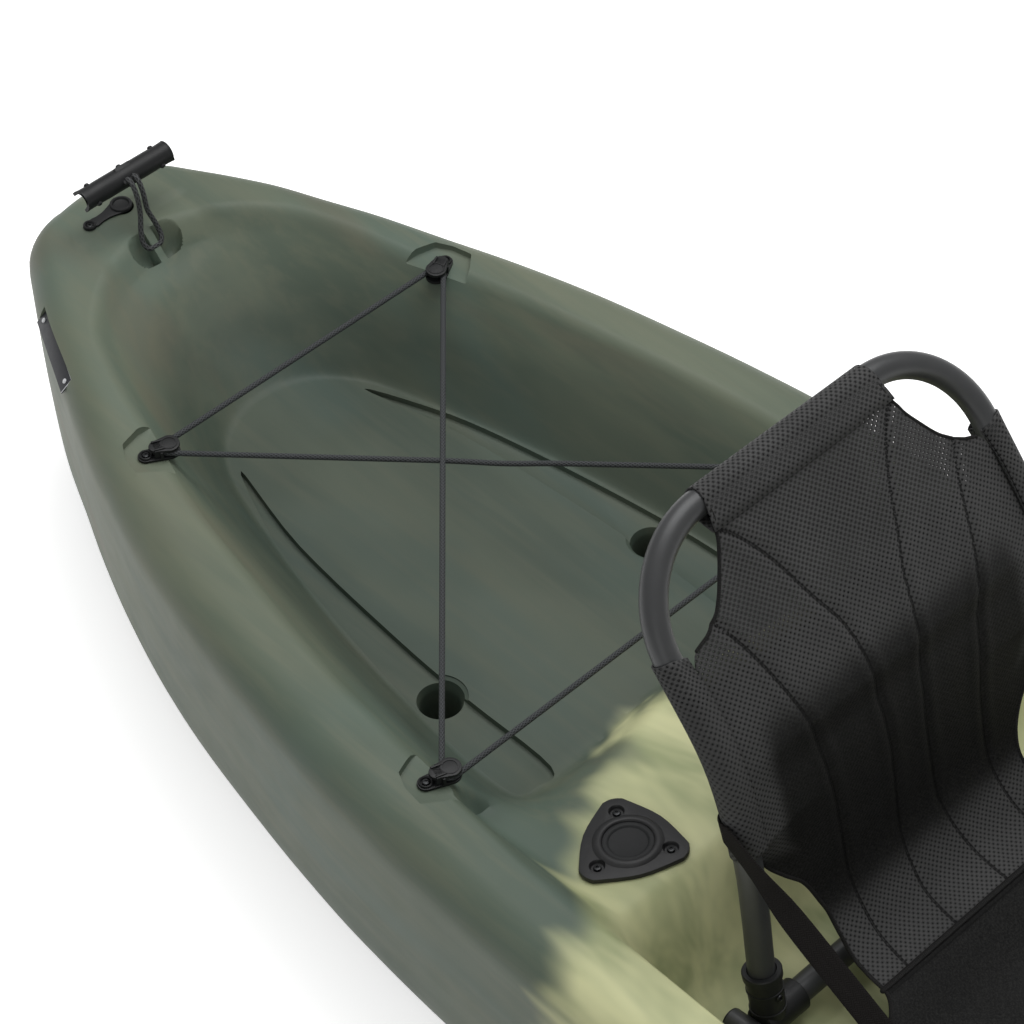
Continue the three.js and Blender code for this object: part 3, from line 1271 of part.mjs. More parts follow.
function addHatch() {
  const seat = consoleHeight + clearance;
  const neck = hatchHole + hatchWall;
  const flangeFace = seat + hatchFlangeHeight;
  const bottom = seat - hatchNeckDepth;
  const rim = [
    [hatchHole, bottom],
    [neck, bottom],
    [neck, seat],
    [hatchFlangeRadius, seat],
    [hatchFlangeRadius, seat + hatchFlangeHeight / 2],
    [hatchFlangeRadius - hatchFlangeHeight / 2, flangeFace],
    [neck + hatchWall, flangeFace],
    [neck + hatchWall, coamingTop],
    [hatchHole, coamingTop],
    [hatchHole, bottom]];
  addSolid('hatch_coaming', lathed(rim), blackPlastic());
  const sealRadius = neck - hatchWall / 2;
  const sealHeight = coamingTop + clearance + gasketRadius;
  const seal = Array.from({ length: boltSides }, (_, step) => {
    const angle = Math.PI * 2 * step / boltSides;
    return [sealRadius + gasketRadius * Math.cos(angle), sealHeight + gasketRadius * Math.sin(angle)];
  });
  addSolid('hatch_seal', lathed([...seal, seal[0]]), greyRubber());
  const skirtIn = neck + hatchWall + 4 * clearance;
  const skirtOut = skirtIn + 1.5 * hatchWall;
  const lidTop = lidUnder + hatchLidHeight;
  const edge = hatchLidHeight / 2;
  const lid = lathed([
    [0, lidUnder],
    [skirtIn, lidUnder],
    [skirtIn, coamingTop + clearance],
    [skirtOut, coamingTop + clearance],
    [skirtOut, lidTop - edge],
    [skirtOut - edge, lidTop],
    [0, lidTop]]);
  const bar = block(consoleX, 0, lidTop, 1.5 * hatchHole, gripRadius, hatchLidHeight);
  addSolid('hatch_lid', join(lid, bar), blackPlastic());
}

addSolid('hull', makeHull(), hullFinish());
addClips();
addSolid('stern_bungee', sweep(bungeePoints(), bungeeDiameter / 2, boltSides), blackCord());
addRodHolders();
addHandles();
addDrain();
addRatingPlate();
addSeat();
addHatch();

export default kayak;
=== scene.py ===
"""A sit-on-top fishing kayak in its detailed form, in metres: +X to the bow, +Y to port, +Z up."""

import logging
import math
from dataclasses import dataclass
from enum import Enum
from functools import lru_cache
from typing import Any, Iterable, Sequence

import bmesh
import bpy
import numpy as np
from mathutils import Matrix, Vector


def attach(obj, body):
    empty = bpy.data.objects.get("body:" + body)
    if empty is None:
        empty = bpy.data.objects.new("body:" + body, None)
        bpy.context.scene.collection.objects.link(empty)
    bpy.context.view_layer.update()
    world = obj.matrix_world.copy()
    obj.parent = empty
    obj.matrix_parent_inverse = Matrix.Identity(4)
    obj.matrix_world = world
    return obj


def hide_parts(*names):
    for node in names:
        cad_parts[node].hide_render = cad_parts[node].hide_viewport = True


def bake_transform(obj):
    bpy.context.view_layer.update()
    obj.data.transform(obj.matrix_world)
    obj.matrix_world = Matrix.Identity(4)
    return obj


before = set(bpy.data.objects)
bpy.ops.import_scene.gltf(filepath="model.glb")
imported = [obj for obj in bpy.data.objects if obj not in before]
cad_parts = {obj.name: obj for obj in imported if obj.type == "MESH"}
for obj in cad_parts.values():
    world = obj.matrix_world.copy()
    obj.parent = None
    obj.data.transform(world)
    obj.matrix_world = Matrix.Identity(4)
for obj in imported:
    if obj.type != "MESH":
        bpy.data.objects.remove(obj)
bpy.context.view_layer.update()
LOG = logging.getLogger("kayak")

# The clearance between two pieces that touch.
GAP = 0.0003
# The height of the shelf under the seat.
SHELF_HEIGHT = 0.188
# The rating plate's two sides.
PLATE_LENGTH, PLATE_HEIGHT = 0.120, 0.022

Point = Sequence[float]
Colour = tuple[float, float, float]
Rows = Sequence[Sequence[float]]


class Side(Enum):
    """The two sides of the boat, with the sign of their Y."""

    PORT = 1
    STARBOARD = -1

    @property
    def label(self) -> str:
        """The side's name as the frame's nodes spell it."""
        return self.name.lower()


class Body(Enum):
    """The frame's bodies that pieces ride on."""

    BOAT = "boat"
    SEAT_BACK = "seat_back"
    STERN_HANDLE = "stern_handle"
    BOW_HANDLE = "bow_handle"
    DRAIN = "drain_plug_body"
    HATCH_SEAL = "hatch_seal_body"
    HATCH_LID = "hatch_lid_body"
    CAP_PORT = "rod_cap_port"
    CAP_STARBOARD = "rod_cap_starboard"


class Slot(Enum):
    """The record's material slots."""

    HULL = "hull"
    PLASTIC = "black_plastic"
    CORD = "cord"
    STEEL = "steel"
    TUBE = "seat_tube"
    MESH = "mesh"
    WEBBING = "webbing"
    RUBBER = "rubber"
    PLATE = "plate"
    RIVET = "rivet"


# Shader graphs


def linear(red: int, green: int, blue: int) -> tuple[float, float, float, float]:
    """A display colour from 0 to 255 as a linear one with alpha.

    Args:
        red: Red.
        green: Green.
        blue: Blue.

    Returns:
        The four linear parts.
    """
    def one(value: int) -> float:
        """One channel as a linear share."""
        share = value / 255
        return share / 12.92 if share <= 0.04045 else ((share + 0.055) / 1.055) ** 2.4
    return (one(red), one(green), one(blue), 1.0)


def grey(level: float) -> tuple[float, float, float, float]:
    """A linear grey with alpha."""
    return (level, level, level, 1.0)


class Value:
    """One output of a shader graph that takes part in sums."""

    def __init__(self, graph: "Graph", socket: bpy.types.NodeSocket) -> None:
        """Keeps the socket and the graph that it belongs to."""
        self.graph = graph
        self.socket = socket

    def _math(self, operation: str, first: Any, second: Any) -> "Value":
        """A Math node on two terms."""
        return self.graph.node("ShaderNodeMath", {"operation": operation}, {0: first, 1: second})

    def __add__(self, other: Any) -> "Value":
        """self + other."""
        return self._math("ADD", self, other)

    def __mul__(self, other: Any) -> "Value":
        """self * other."""
        return self._math("MULTIPLY", self, other)

    def __sub__(self, other: Any) -> "Value":
        """self - other."""
        return self._math("SUBTRACT", self, other)

    def __rsub__(self, other: Any) -> "Value":
        """other - self."""
        return self._math("SUBTRACT", other, self)

    def __truediv__(self, other: Any) -> "Value":
        """self / other."""
        return self._math("DIVIDE", self, other)

    def __abs__(self) -> "Value":
        """The size of self without its sign."""
        return self._math("ABSOLUTE", self, 0.0)

    def floor(self) -> "Value":
        """The whole number below self."""
        return self._math("FLOOR", self, 0.0)

    def wrap(self, period: float) -> "Value":
        """Self within a period that is centred on zero."""
        return self.graph.node("ShaderNodeMath", {"operation": "WRAP"},
                               {0: self, 1: period / 2, 2: -period / 2})

    def sine(self) -> "Value":
        """The sine of self in radians."""
        return self._math("SINE", self, 0.0)

    def root(self) -> "Value":
        """The square root of self."""
        return self._math("SQRT", self, 0.0)

    def larger(self, other: Any) -> "Value":
        """The larger of two values."""
        return self._math("MAXIMUM", self, other)

    def ease(self, low: float, high: float, start: float = 0.0, end: float = 1.0) -> "Value":
        """Self from low to high as a smooth step from start to end."""
        return self.graph.node("ShaderNodeMapRange", {"interpolation_type": "SMOOTHSTEP"},
                               {0: self, 1: low, 2: high, 3: start, 4: end})


class Graph:
    """A material's node tree, with short calls for the nodes that finishes need."""

    def __init__(self, name: str) -> None:
        """Starts an empty material.

        Args:
            name: The material's name.
        """
        self.material = bpy.data.materials.new(name)
        self.material.use_nodes = True
        self.tree = self.material.node_tree
        self.tree.nodes.clear()

    def node(self, kind: str, settings: dict[str, Any] | None = None,
             values: dict[int | str, Any] | None = None, output: int | str = 0) -> Value:
        """Adds a node.

        Args:
            kind: The node's type.
            settings: Properties, set before the inputs.
            values: Inputs by index or name; a Value is linked, all else is written.
            output: The output that is returned.

        Returns:
            That output.
        """
        node = self.tree.nodes.new(kind)
        for key, setting in (settings or {}).items():
            setattr(node, key, setting)
        for key, value in (values or {}).items():
            if isinstance(value, Value):
                self.tree.links.new(value.socket, node.inputs[key])
            else:
                node.inputs[key].default_value = value
        return Value(self, node.outputs[output])

    def places(self, kind: str = "Object") -> Value:
        """Texture coordinates of one kind."""
        return self.node("ShaderNodeTexCoord", output=kind)

    def looked_at(self) -> Value:
        """One for rays from the camera, and for rays that metal and glass pass on to the eye.

        Returns:
            One or zero.
        """
        seen, glossy, through = (self.node("ShaderNodeLightPath", output=f"Is {kind} Ray")
                                 for kind in ("Camera", "Glossy", "Transmission"))
        return seen.larger(glossy).larger(through)

    def attribute(self, name: str) -> Value:
        """A number stored on the mesh."""
        return self.node("ShaderNodeAttribute", {"attribute_name": name}, output="Fac")

    def stretched(self, vector: Value, by: Point) -> Value:
        """Coordinates scaled along each axis."""
        return self.node("ShaderNodeVectorMath", {"operation": "MULTIPLY"}, {0: vector, 1: by})

    def parts(self, vector: Value) -> tuple[Value, Value, Value]:
        """The three parts of a vector.

        Args:
            vector: The vector.

        Returns:
            X, Y and Z.
        """
        split = self.node("ShaderNodeSeparateXYZ", values={0: vector})
        outputs = split.socket.node.outputs
        return tuple(Value(self, outputs[i]) for i in range(3))

    def noise(self, vector: Value, scale: float, detail: float = 3.0, roughness: float = 0.5,
              distortion: float = 0.0) -> Value:
        """A noise value from 0 to 1.

        Args:
            vector: Where it is read.
            scale: Cells in a metre.
            detail: Finer layers.
            roughness: How strong the finer layers are.
            distortion: How far the cells are bent.

        Returns:
            The noise.
        """
        return self.node("ShaderNodeTexNoise", values={
            "Vector": vector, "Scale": scale, "Detail": detail, "Roughness": roughness,
            "Distortion": distortion})

    def mixed(self, factor: Any, first: Any, second: Any, blend: str = "MIX") -> Value:
        """Two colours mixed by a factor."""
        return self.node("ShaderNodeMix", {"data_type": "RGBA", "blend_type": blend},
                         {0: factor, 6: first, 7: second}, output=2)

    def bump(self, height: Value, strength: float = 1.0) -> Value:
        """A normal from a height in metres."""
        return self.node("ShaderNodeBump", values={"Height": height, "Distance": 1.0, "Strength": strength})

    def finish(self, values: dict[int | str, Any]) -> bpy.types.Material:
        """Closes the graph with a Principled shader.

        Args:
            values: The shader's inputs.

        Returns:
            The material.
        """
        shader = self.node("ShaderNodeBsdfPrincipled", values=values)
        out = self.tree.nodes.new("ShaderNodeOutputMaterial")
        self.tree.links.new(shader.socket, out.inputs[0])
        return self.material


# Finishes


@dataclass(frozen=True)
class Finish:
    """A surface look; each kind builds its own graph."""

    name: str

    def build(self) -> bpy.types.Material:
        """Makes the material."""
        raise NotImplementedError


@lru_cache(maxsize=None)
def material_of(finish: Finish) -> bpy.types.Material:
    """A finish's material, made once."""
    return finish.build()


@dataclass(frozen=True)
class HullPlastic(Finish):
    """Rotomoulded plastic: olive green streaked along the hull, tan flames from the seat forward and painted
    shade in the well.
    """

    dark_green: Colour = (92, 104, 90)
    light_green: Colour = (112, 120, 102)
    blue_green: Colour = (96, 114, 104)
    grey_green: Colour = (122, 124, 104)
    brown_green: Colour = (116, 108, 92)
    dark_tan: Colour = (166, 174, 130)
    light_tan: Colour = (218, 219, 170)
    green_tan: Colour = (148, 160, 122)
    # The painted shade that darkens the tank well: its multiplier, then the fields that bound where it falls.
    well_tint: tuple[float, ...] = (0.57, 0.60, 0.62, 1.0)
    well_root: float = 0.1633
    well_aft: float = -1.45
    well_fore: tuple[float, float] = (-0.66, -0.60)
    well_depth: tuple[float, float] = (0.235, 0.312)
    flame_x: float = -0.62
    flame_sweep: float = 1.55
    flame_teeth: float = 0.24

    def build(self) -> bpy.types.Material:
        """Makes the streaked material.

        Returns:
            The material.
        """
        graph = Graph(self.name)
        place = graph.places()
        along, across, up = graph.parts(place)
        long_streaks = graph.noise(graph.stretched(place, (0.55, 3.4, 3.4)), 2.1, 4.0, 0.55, 0.35)
        soft_clouds = graph.noise(graph.stretched(place, (1.2, 2.6, 2.6)), 2.3, 2.0, 0.5, 0.6)
        fine_streaks = graph.noise(graph.stretched(place, (1.4, 16.0, 16.0)), 3.2, 3.0, 0.6, 0.2)
        olive = graph.mixed(long_streaks.ease(0.36, 0.64), linear(*self.dark_green), linear(*self.light_green))
        olive = graph.mixed(soft_clouds.ease(0.44, 0.66) * 0.55, olive, linear(*self.blue_green))
        olive = graph.mixed(fine_streaks.ease(0.42, 0.7) * 0.3, olive, linear(*self.grey_green))
        brown = graph.noise(graph.stretched(place, (0.8, 5.0, 5.0)), 1.7, 2.0, 0.5, 0.4)
        olive = graph.mixed(brown.ease(0.58, 0.72) * 0.35, olive, linear(*self.brown_green))
        # Painted shade: inside the tank well, below its rim and aft of the seat deck, the colour is multiplied
        # darker.
        inside = (((along - self.well_aft) * self.well_root).root() - abs(across)).ease(-0.004, 0.004)
        inside = inside * up.ease(*self.well_depth, 1.0, 0.0) * along.ease(*self.well_fore, 1.0, 0.0)
        olive = graph.mixed(inside, olive, self.well_tint, "MULTIPLY")
        teeth = graph.noise(graph.stretched(place, (0.8, 2.6, 2.6)), 4.5, 2.0, 0.5, 0.4)
        edge = along - across * across * self.flame_sweep - self.flame_x + (teeth - 0.5) * self.flame_teeth
        tan_streaks = graph.noise(graph.stretched(place, (1.2, 4.0, 4.0)), 3.0, 3.0, 0.6, 0.5)
        tan = graph.mixed(tan_streaks.ease(0.35, 0.68), linear(*self.dark_tan), linear(*self.light_tan))
        tan = graph.mixed(soft_clouds.ease(0.6, 0.78) * 0.6, tan, linear(*self.green_tan))
        colour = graph.mixed(edge.ease(-0.02, 0.045), olive, tan)
        grain = graph.noise(place, 900.0, 2.0, 0.6)
        waviness = graph.noise(place, 9.0, 1.0)
        height = grain * 0.00005 + waviness * 0.0006
        sheen = graph.noise(place, 26.0, 3.0, 0.6)
        return graph.finish({
            "Base Color": colour, "Roughness": sheen * 0.12 + 0.46, "Specular IOR Level": 0.3,
            "Normal": graph.bump(height, 0.8)})


@dataclass(frozen=True)
class MouldedPlastic(Finish):
    """Injection-moulded plastic or rubber with a fine spark-eroded grain."""

    colour: Colour = (26, 27, 28)
    roughness: float = 0.46
    grain: float = 0.00006

    def build(self) -> bpy.types.Material:
        """Makes the grained material.

        Returns:
            The material.
        """
        graph = Graph(self.name)
        place = graph.places()
        cells = graph.noise(place, 1500.0, 2.0, 0.7)
        wear = graph.noise(place, 60.0, 4.0, 0.6)
        lighter = tuple(min(part + 14, 255) for part in self.colour)
        return graph.finish({
            "Base Color": graph.mixed(wear.ease(0.5, 0.8) * 0.5, linear(*self.colour), linear(*lighter)),
            "Roughness": wear * 0.16 + (self.roughness - 0.08), "Specular IOR Level": 0.35,
            "Normal": graph.bump(cells * self.grain)})


@dataclass(frozen=True)
class CoatedTube(Finish):
    """Powder-coated aluminium tube."""

    colour: Colour = (66, 67, 68)
    paler: Colour = (74, 75, 76)

    def build(self) -> bpy.types.Material:
        """Makes the satin material with its orange-peel skin.

        Returns:
            The material.
        """
        graph = Graph(self.name)
        place = graph.places()
        peel = graph.noise(place, 520.0, 2.0, 0.5)
        cloud = graph.noise(place, 30.0, 3.0, 0.6)
        return graph.finish({
            "Base Color": graph.mixed(cloud.ease(0.4, 0.8) * 0.4, linear(*self.colour), linear(*self.paler)),
            "Metallic": 0.25, "Roughness": cloud * 0.1 + 0.36, "Normal": graph.bump(peel * 0.00005)})


@dataclass(frozen=True)
class Steel(Finish):
    """Stainless steel as screws and rivets show it."""

    colour: Colour = (120, 122, 124)
    roughness: float = 0.3
    metallic: float = 1.0

    def build(self) -> bpy.types.Material:
        """Makes the lightly scratched metal.

        Returns:
            The material.
        """
        graph = Graph(self.name)
        place = graph.places()
        scratches = graph.noise(graph.stretched(place, (1.0, 9.0, 1.0)), 700.0, 3.0, 0.7)
        return graph.finish({
            "Base Color": linear(*self.colour), "Metallic": self.metallic,
            "Roughness": scratches * 0.25 + (self.roughness - 0.1),
            "Normal": graph.bump(scratches * 0.00003)})


@dataclass(frozen=True)
class Braid(Finish):
    """A braided sheath on a round cord, from the mesh's own UVs in metres round and along."""

    colour: Colour = (38, 40, 42)
    fleck: Colour = (74, 77, 79)
    turns: float = 6.0
    pitch: float = 0.0052

    def build(self) -> bpy.types.Material:
        """Makes strands that cross over and under.

        Returns:
            The material.
        """
        graph = Graph(self.name)
        around, along, _ = graph.parts(graph.places("UV"))
        phase = around * (2 * math.pi * self.turns)
        run = along * (2 * math.pi / self.pitch)
        left = (phase + run).sine()
        right = (phase - run).sine()
        weave = left.larger(right)
        fuzz = graph.noise(graph.places(), 2600.0, 2.0, 0.7)
        colour = graph.mixed(weave.ease(0.1, 0.95), linear(*self.colour), linear(*self.fleck))
        return graph.finish({
            "Base Color": colour, "Roughness": fuzz * 0.2 + 0.62,
            "Normal": graph.bump(weave * 0.00035 + fuzz * 0.0001)})


@dataclass(frozen=True)
class Webbing(Finish):
    """Flat woven webbing, from UVs in metres across and along."""

    colour: Colour = (20, 18, 17)
    ridge: Colour = (36, 34, 33)
    zigzag: float = 0.0062
    rib: float = 0.0021

    def build(self) -> bpy.types.Material:
        """Makes the weave of slanted ribs.

        Returns:
            The material.
        """
        graph = Graph(self.name)
        across, along, _ = graph.parts(graph.places("UV"))
        rib = ((along + abs(across.wrap(self.zigzag))) * (2 * math.pi / self.rib)).sine()
        fuzz = graph.noise(graph.places(), 1900.0, 2.0, 0.7)
        colour = graph.mixed(rib.ease(-0.6, 1.0), linear(*self.colour), linear(*self.ridge))
        return graph.finish({
            "Base Color": colour, "Roughness": fuzz * 0.15 + 0.7, "Specular IOR Level": 0.12,
            "Normal": graph.bump(rib * 0.00022 + fuzz * 0.0001)})


@dataclass(frozen=True)
class SeatMesh(Finish):
    """Woven seat mesh with punched rows, fine panels that are darker partly as painted shade, painted shade and
    shadow at its holes, and double-stitched seams.

    The mesh carries its UVs in metres, and "seam" as the distance to the nearest seam, "stitch" as the
    length along it and "fine" as the share of the close weave, whose dark tones are partly painted shade.
    """

    pitch: float = 0.0066
    hole: float = 0.00062
    colour: Colour = (71, 71, 71)
    paler: Colour = (78, 78, 78)
    # Tones of the close weave, dark partly as painted shade on the lumbar and the pan.
    dense: tuple[Colour, Colour] = ((5, 5, 5), (35, 35, 34))
    # Painted shade in the dent round each hole.
    dent_shade: Colour = (20, 20, 20)
    # Painted shadow that fills the holes where they are closed.
    hole_shade: Colour = (5, 5, 5)
    thread_shade: Colour = (8, 8, 8)
    groove_shade: Colour = (12, 12, 12)
    yarn: float = 0.0011
    stitch: float = 0.0044
    stitch_row: float = 0.0014
    # Above this band the holes are open; below it they are closed and filled with painted shadow.
    open_above: tuple[float, float] = (0.575, 0.60)

    def build(self) -> bpy.types.Material:
        """Makes the perforated weave.

        Returns:
            The material.
        """
        graph = Graph(self.name)
        across, along, _ = graph.parts(graph.places("UV"))
        seam = graph.attribute("seam")
        stitch = graph.attribute("stitch")
        fine = graph.attribute("fine")
        row = (along / (self.pitch * 0.5)).floor()
        shift = (row * 0.5 - (row * 0.5).floor()) * 2.0
        column = (across + shift * (self.pitch / 2)).wrap(self.pitch)
        down = along - (row + 0.5) * (self.pitch * 0.5)
        distance = (column * column + down * down).root()
        open_share = distance.ease(self.hole, self.hole + 0.00035)
        closed = (1.0 - seam.ease(0.0055, 0.0075)).larger(fine.ease(0.35, 0.6))
        # Below the open band the holes are opaque and painted with the shadow that lies behind the mesh.
        shadow_filled = graph.parts(graph.places())[2].ease(*self.open_above, 1.0, 0.0)
        alpha = open_share.larger(closed).larger(shadow_filled)
        dent = distance.ease(self.hole * 0.8, self.pitch * 0.48)
        warp = (across * (2 * math.pi / self.yarn)).sine() * (along * (2 * math.pi / self.yarn)).sine()
        fuzz = graph.noise(graph.places(), 1700.0, 2.0, 0.7)
        ridge = 1.0 - seam.ease(0.0008, 0.0046)
        thread_row = abs(seam - self.stitch_row).ease(0.0003, 0.0009, 1.0, 0.0)
        dash = abs(stitch.wrap(self.stitch)).ease(0.0011, 0.0017, 1.0, 0.0)
        thread = thread_row * (dash * 0.3 + 0.7)
        height = dent * 0.00025 + warp * 0.00006 + fuzz * 0.00008 + ridge * 0.0004 + thread * 0.0003
        cloud = graph.noise(graph.places(), 14.0, 3.0, 0.6)
        base = graph.mixed(cloud.ease(0.3, 0.7), linear(*self.colour), linear(*self.paler))
        tuft = graph.noise(graph.places(), 620.0, 2.0, 0.6)
        # The lumbar and pan panels take the close weave's dark tones, which are partly painted shade.
        dark = graph.mixed(tuft.ease(0.4, 0.62), *(linear(*colour) for colour in self.dense))
        base = graph.mixed(fine.ease(0.1, 0.9) * 0.96, base, dark)
        groove = seam.ease(0.0, 0.0012, 1.0, 0.0)
        # Painted shade in the dents round the holes and painted shadow in the holes, then the threads and the
        # seams' grooves.
        for share, shade in (((1.0 - dent) * 0.55, self.dent_shade),
                             ((1.0 - open_share) * (1.0 - fine.ease(0.2, 0.9)) * 0.95, self.hole_shade),
                             (thread * 0.9, self.thread_shade), (groove * 0.8, self.groove_shade)):
            base = graph.mixed(share, base, linear(*shade))
        return graph.finish({
            "Base Color": base, "Roughness": fuzz * 0.16 + 0.5, "Alpha": alpha, "Specular IOR Level": 0.16,
            "Normal": graph.bump(height)})


@dataclass(frozen=True)
class PlateFace(Finish):
    """A bare dark plate with a pale border along its upper and forward edges, from UVs in metres."""

    line: float = 0.0012
    plastic: Colour = (34, 36, 42)
    printed: Colour = (214, 216, 218)

    def build(self) -> bpy.types.Material:
        """Makes the printed border.

        Returns:
            The material.
        """
        graph = Graph(self.name)
        along, up, _ = graph.parts(graph.places("UV"))
        upper, fore = (abs(place - (size / 2 - self.line)).ease(0.0005, 0.0008, 1.0, 0.0)
                       for place, size in ((up, PLATE_HEIGHT), (along, PLATE_LENGTH)))
        border = upper.larger(fore)
        wear = graph.noise(graph.places(), 240.0, 3.0, 0.6)
        return graph.finish({
            "Base Color": graph.mixed(border, linear(*self.plastic), linear(*self.printed)),
            "Roughness": wear * 0.2 + 0.35, "Normal": graph.bump(wear * 0.00004)})


@dataclass(frozen=True)
class Backdrop(Finish):
    """A plain ground, white where it is looked at, that keeps a soft shadow."""

    shade: float = 0.45
    glow: float = 0.6

    def build(self) -> bpy.types.Material:
        """Makes the ground.

        Returns:
            The material.
        """
        graph = Graph(self.name)
        looked_at = graph.looked_at()
        return graph.finish({
            "Base Color": graph.mixed(looked_at, grey(self.shade), grey(1.0)),
            "Roughness": 1.0, "Specular IOR Level": 0.0,
            "Emission Color": graph.mixed(looked_at, grey(0.0), grey(self.glow)),
            "Emission Strength": 1.0})


HULL_PLASTIC = HullPlastic("moulded hull plastic")
BLACK_PLASTIC = MouldedPlastic("black moulded plastic")
HOLDER_PLASTIC = MouldedPlastic("rod holder plastic", (40, 40, 41))
DARK_RUBBER = MouldedPlastic("dark rubber", (34, 35, 36), 0.62, 0.00009)
TUBE_COAT = CoatedTube("grey powder coat")
STEEL = Steel("stainless steel")
DARK_STEEL = Steel("blackened screw", (52, 53, 54), 0.32, 0.85)
WHITE_RIVET = Steel("pale rivet", (222, 224, 226), 0.35, 0.2)
SHOCK_CORD = Braid("shock cord braid")
HANDLE_ROPE = Braid("handle rope braid", (40, 41, 42), (80, 82, 83), 5.0, 0.0075)
STRAP_WEB = Webbing("strap webbing")
MESH_CLOTH = SeatMesh("perforated seat mesh")
# The pan is all close weave; its dark tones are partly painted shade under the back.
PAN_CLOTH = SeatMesh("fine pan mesh", colour=(25, 25, 25))
EDGE_BINDING = Webbing("rolled edge binding", (66, 66, 66))
PLATE_FACE = PlateFace("bare plate face")
WHITE_GROUND = Backdrop("white ground")


# Tables, curves and fields


def smooth_table(rows: Rows, at: np.ndarray | float) -> np.ndarray:
    """Values from a table of rows by a cubic that never overshoots its rows.

    Args:
        rows: Pairs of place and value, in order of place.
        at: Places.

    Returns:
        A value for each place.
    """
    table = np.asarray(rows, float)
    x, y = table[:, 0], table[:, 1]
    slope = np.diff(y) / np.diff(x)
    tangent = np.zeros_like(y)
    before, after = slope[:-1], slope[1:]
    same = before * after > 0
    tangent[1:-1] = np.where(same, 2 * before * after / np.where(same, before + after, 1.0), 0.0)
    tangent[0], tangent[-1] = slope[0], slope[-1]
    place = np.clip(np.asarray(at, float), x[0], x[-1])
    i = np.clip(np.searchsorted(x, place, side="right") - 1, 0, len(x) - 2)
    span = x[i + 1] - x[i]
    t = (place - x[i]) / span
    start = (1 + 2 * t) * (1 - t) ** 2
    end = t * t * (3 - 2 * t)
    pull = t * (1 - t) * ((1 - t) * tangent[i] - t * tangent[i + 1]) * span
    return start * y[i] + end * y[i + 1] + pull


def smooth_min(first: np.ndarray, second: np.ndarray, reach: float) -> np.ndarray:
    """The lower of two heights with a rounded edge where they meet."""
    h = np.clip(0.5 + 0.5 * (second - first) / reach, 0, 1)
    return second + (first - second) * h - reach * h * (1 - h)


def smooth_max(first: np.ndarray, second: np.ndarray, reach: float) -> np.ndarray:
    """The higher of two heights with a hollow rounding where they meet."""
    return -smooth_min(-first, -second, reach)


def step(low: float, high: float, at: np.ndarray) -> np.ndarray:
    """A smooth step from 0 at low to 1 at high."""
    t = np.clip((np.asarray(at, float) - low) / (high - low), 0, 1)
    return t * t * (3 - 2 * t)


def catmull(points: np.ndarray, steps: int, closed: bool = False) -> np.ndarray:
    """A smooth curve through points.

    Args:
        points: An array whose second last axis runs along the curve.
        steps: Pieces between two points.
        closed: Joins the last point to the first.

    Returns:
        The curve's points, with the same leading axes.
    """
    p = np.moveaxis(np.asarray(points, float), -2, 0)
    if closed:
        p = np.concatenate([p[-1:], p, p[:2]])
    else:
        p = np.concatenate([2 * p[:1] - p[1:2], p, 2 * p[-1:] - p[-2:-1]])
    pieces = []
    for i in range(1, len(p) - 2):
        a, b, c, d = p[i - 1], p[i], p[i + 1], p[i + 2]
        for t in np.arange(steps) / steps:
            pieces.append(0.5 * (2 * b + (c - a) * t + (2 * a - 5 * b + 4 * c - d) * t * t
                                 + (3 * b - a - 3 * c + d) * t ** 3))
    if not closed:
        pieces.append(p[-2])
    return np.moveaxis(np.asarray(pieces), 0, -2)


def lengths_along(points: np.ndarray) -> np.ndarray:
    """The length from the start of a path to each of its points."""
    gaps = np.linalg.norm(np.diff(points, axis=0), axis=1)
    return np.concatenate([[0.0], np.cumsum(gaps)])


def signed_distance(outline: np.ndarray, places: np.ndarray) -> np.ndarray:
    """Distances from a closed outline, positive inside.

    Args:
        outline: Corner points, (n, 2).
        places: Places, (m, 2).

    Returns:
        One distance for each place.
    """
    start = outline
    end = np.roll(outline, -1, axis=0)
    edge = end - start
    size = np.maximum((edge ** 2).sum(1), 1e-18)
    result = np.empty(len(places))
    for low in range(0, len(places), 8000):
        q = places[low:low + 8000, None, :]
        t = np.clip(((q - start) * edge).sum(2) / size, 0, 1)
        gap = np.sqrt(((q - start - t[..., None] * edge) ** 2).sum(2).min(1))
        y = q[..., 1]
        crosses = (start[:, 1] > y) != (end[:, 1] > y)
        rise = np.where(np.abs(edge[:, 1]) < 1e-12, 1e-12, edge[:, 1])
        x_hit = start[:, 0] + (y - start[:, 1]) / rise * edge[:, 0]
        inside = (crosses & (q[..., 0] < x_hit)).sum(1) % 2 == 1
        result[low:low + 8000] = np.where(inside, gap, -gap)
    return result


def path_distance(path: np.ndarray, places: np.ndarray) -> tuple[np.ndarray, np.ndarray]:
    """Distances from an open path, and the length along it of each nearest point.

    Args:
        path: Points along the path, (n, 2).
        places: Places, (m, 2).

    Returns:
        A distance and a length for each place.
    """
    start, end = path[:-1], path[1:]
    edge = end - start
    size = np.maximum((edge ** 2).sum(1), 1e-18)
    run = lengths_along(path)
    gaps = np.empty(len(places))
    along = np.empty(len(places))
    for low in range(0, len(places), 8000):
        q = places[low:low + 8000, None, :]
        t = np.clip(((q - start) * edge).sum(2) / size, 0, 1)
        gap = np.sqrt(((q - start - t[..., None] * edge) ** 2).sum(2))
        best = gap.argmin(1)
        rows = np.arange(len(best))
        gaps[low:low + 8000] = gap[rows, best]
        along[low:low + 8000] = run[best] + t[rows, best] * np.sqrt(size[best])
    return gaps, along


# Meshes


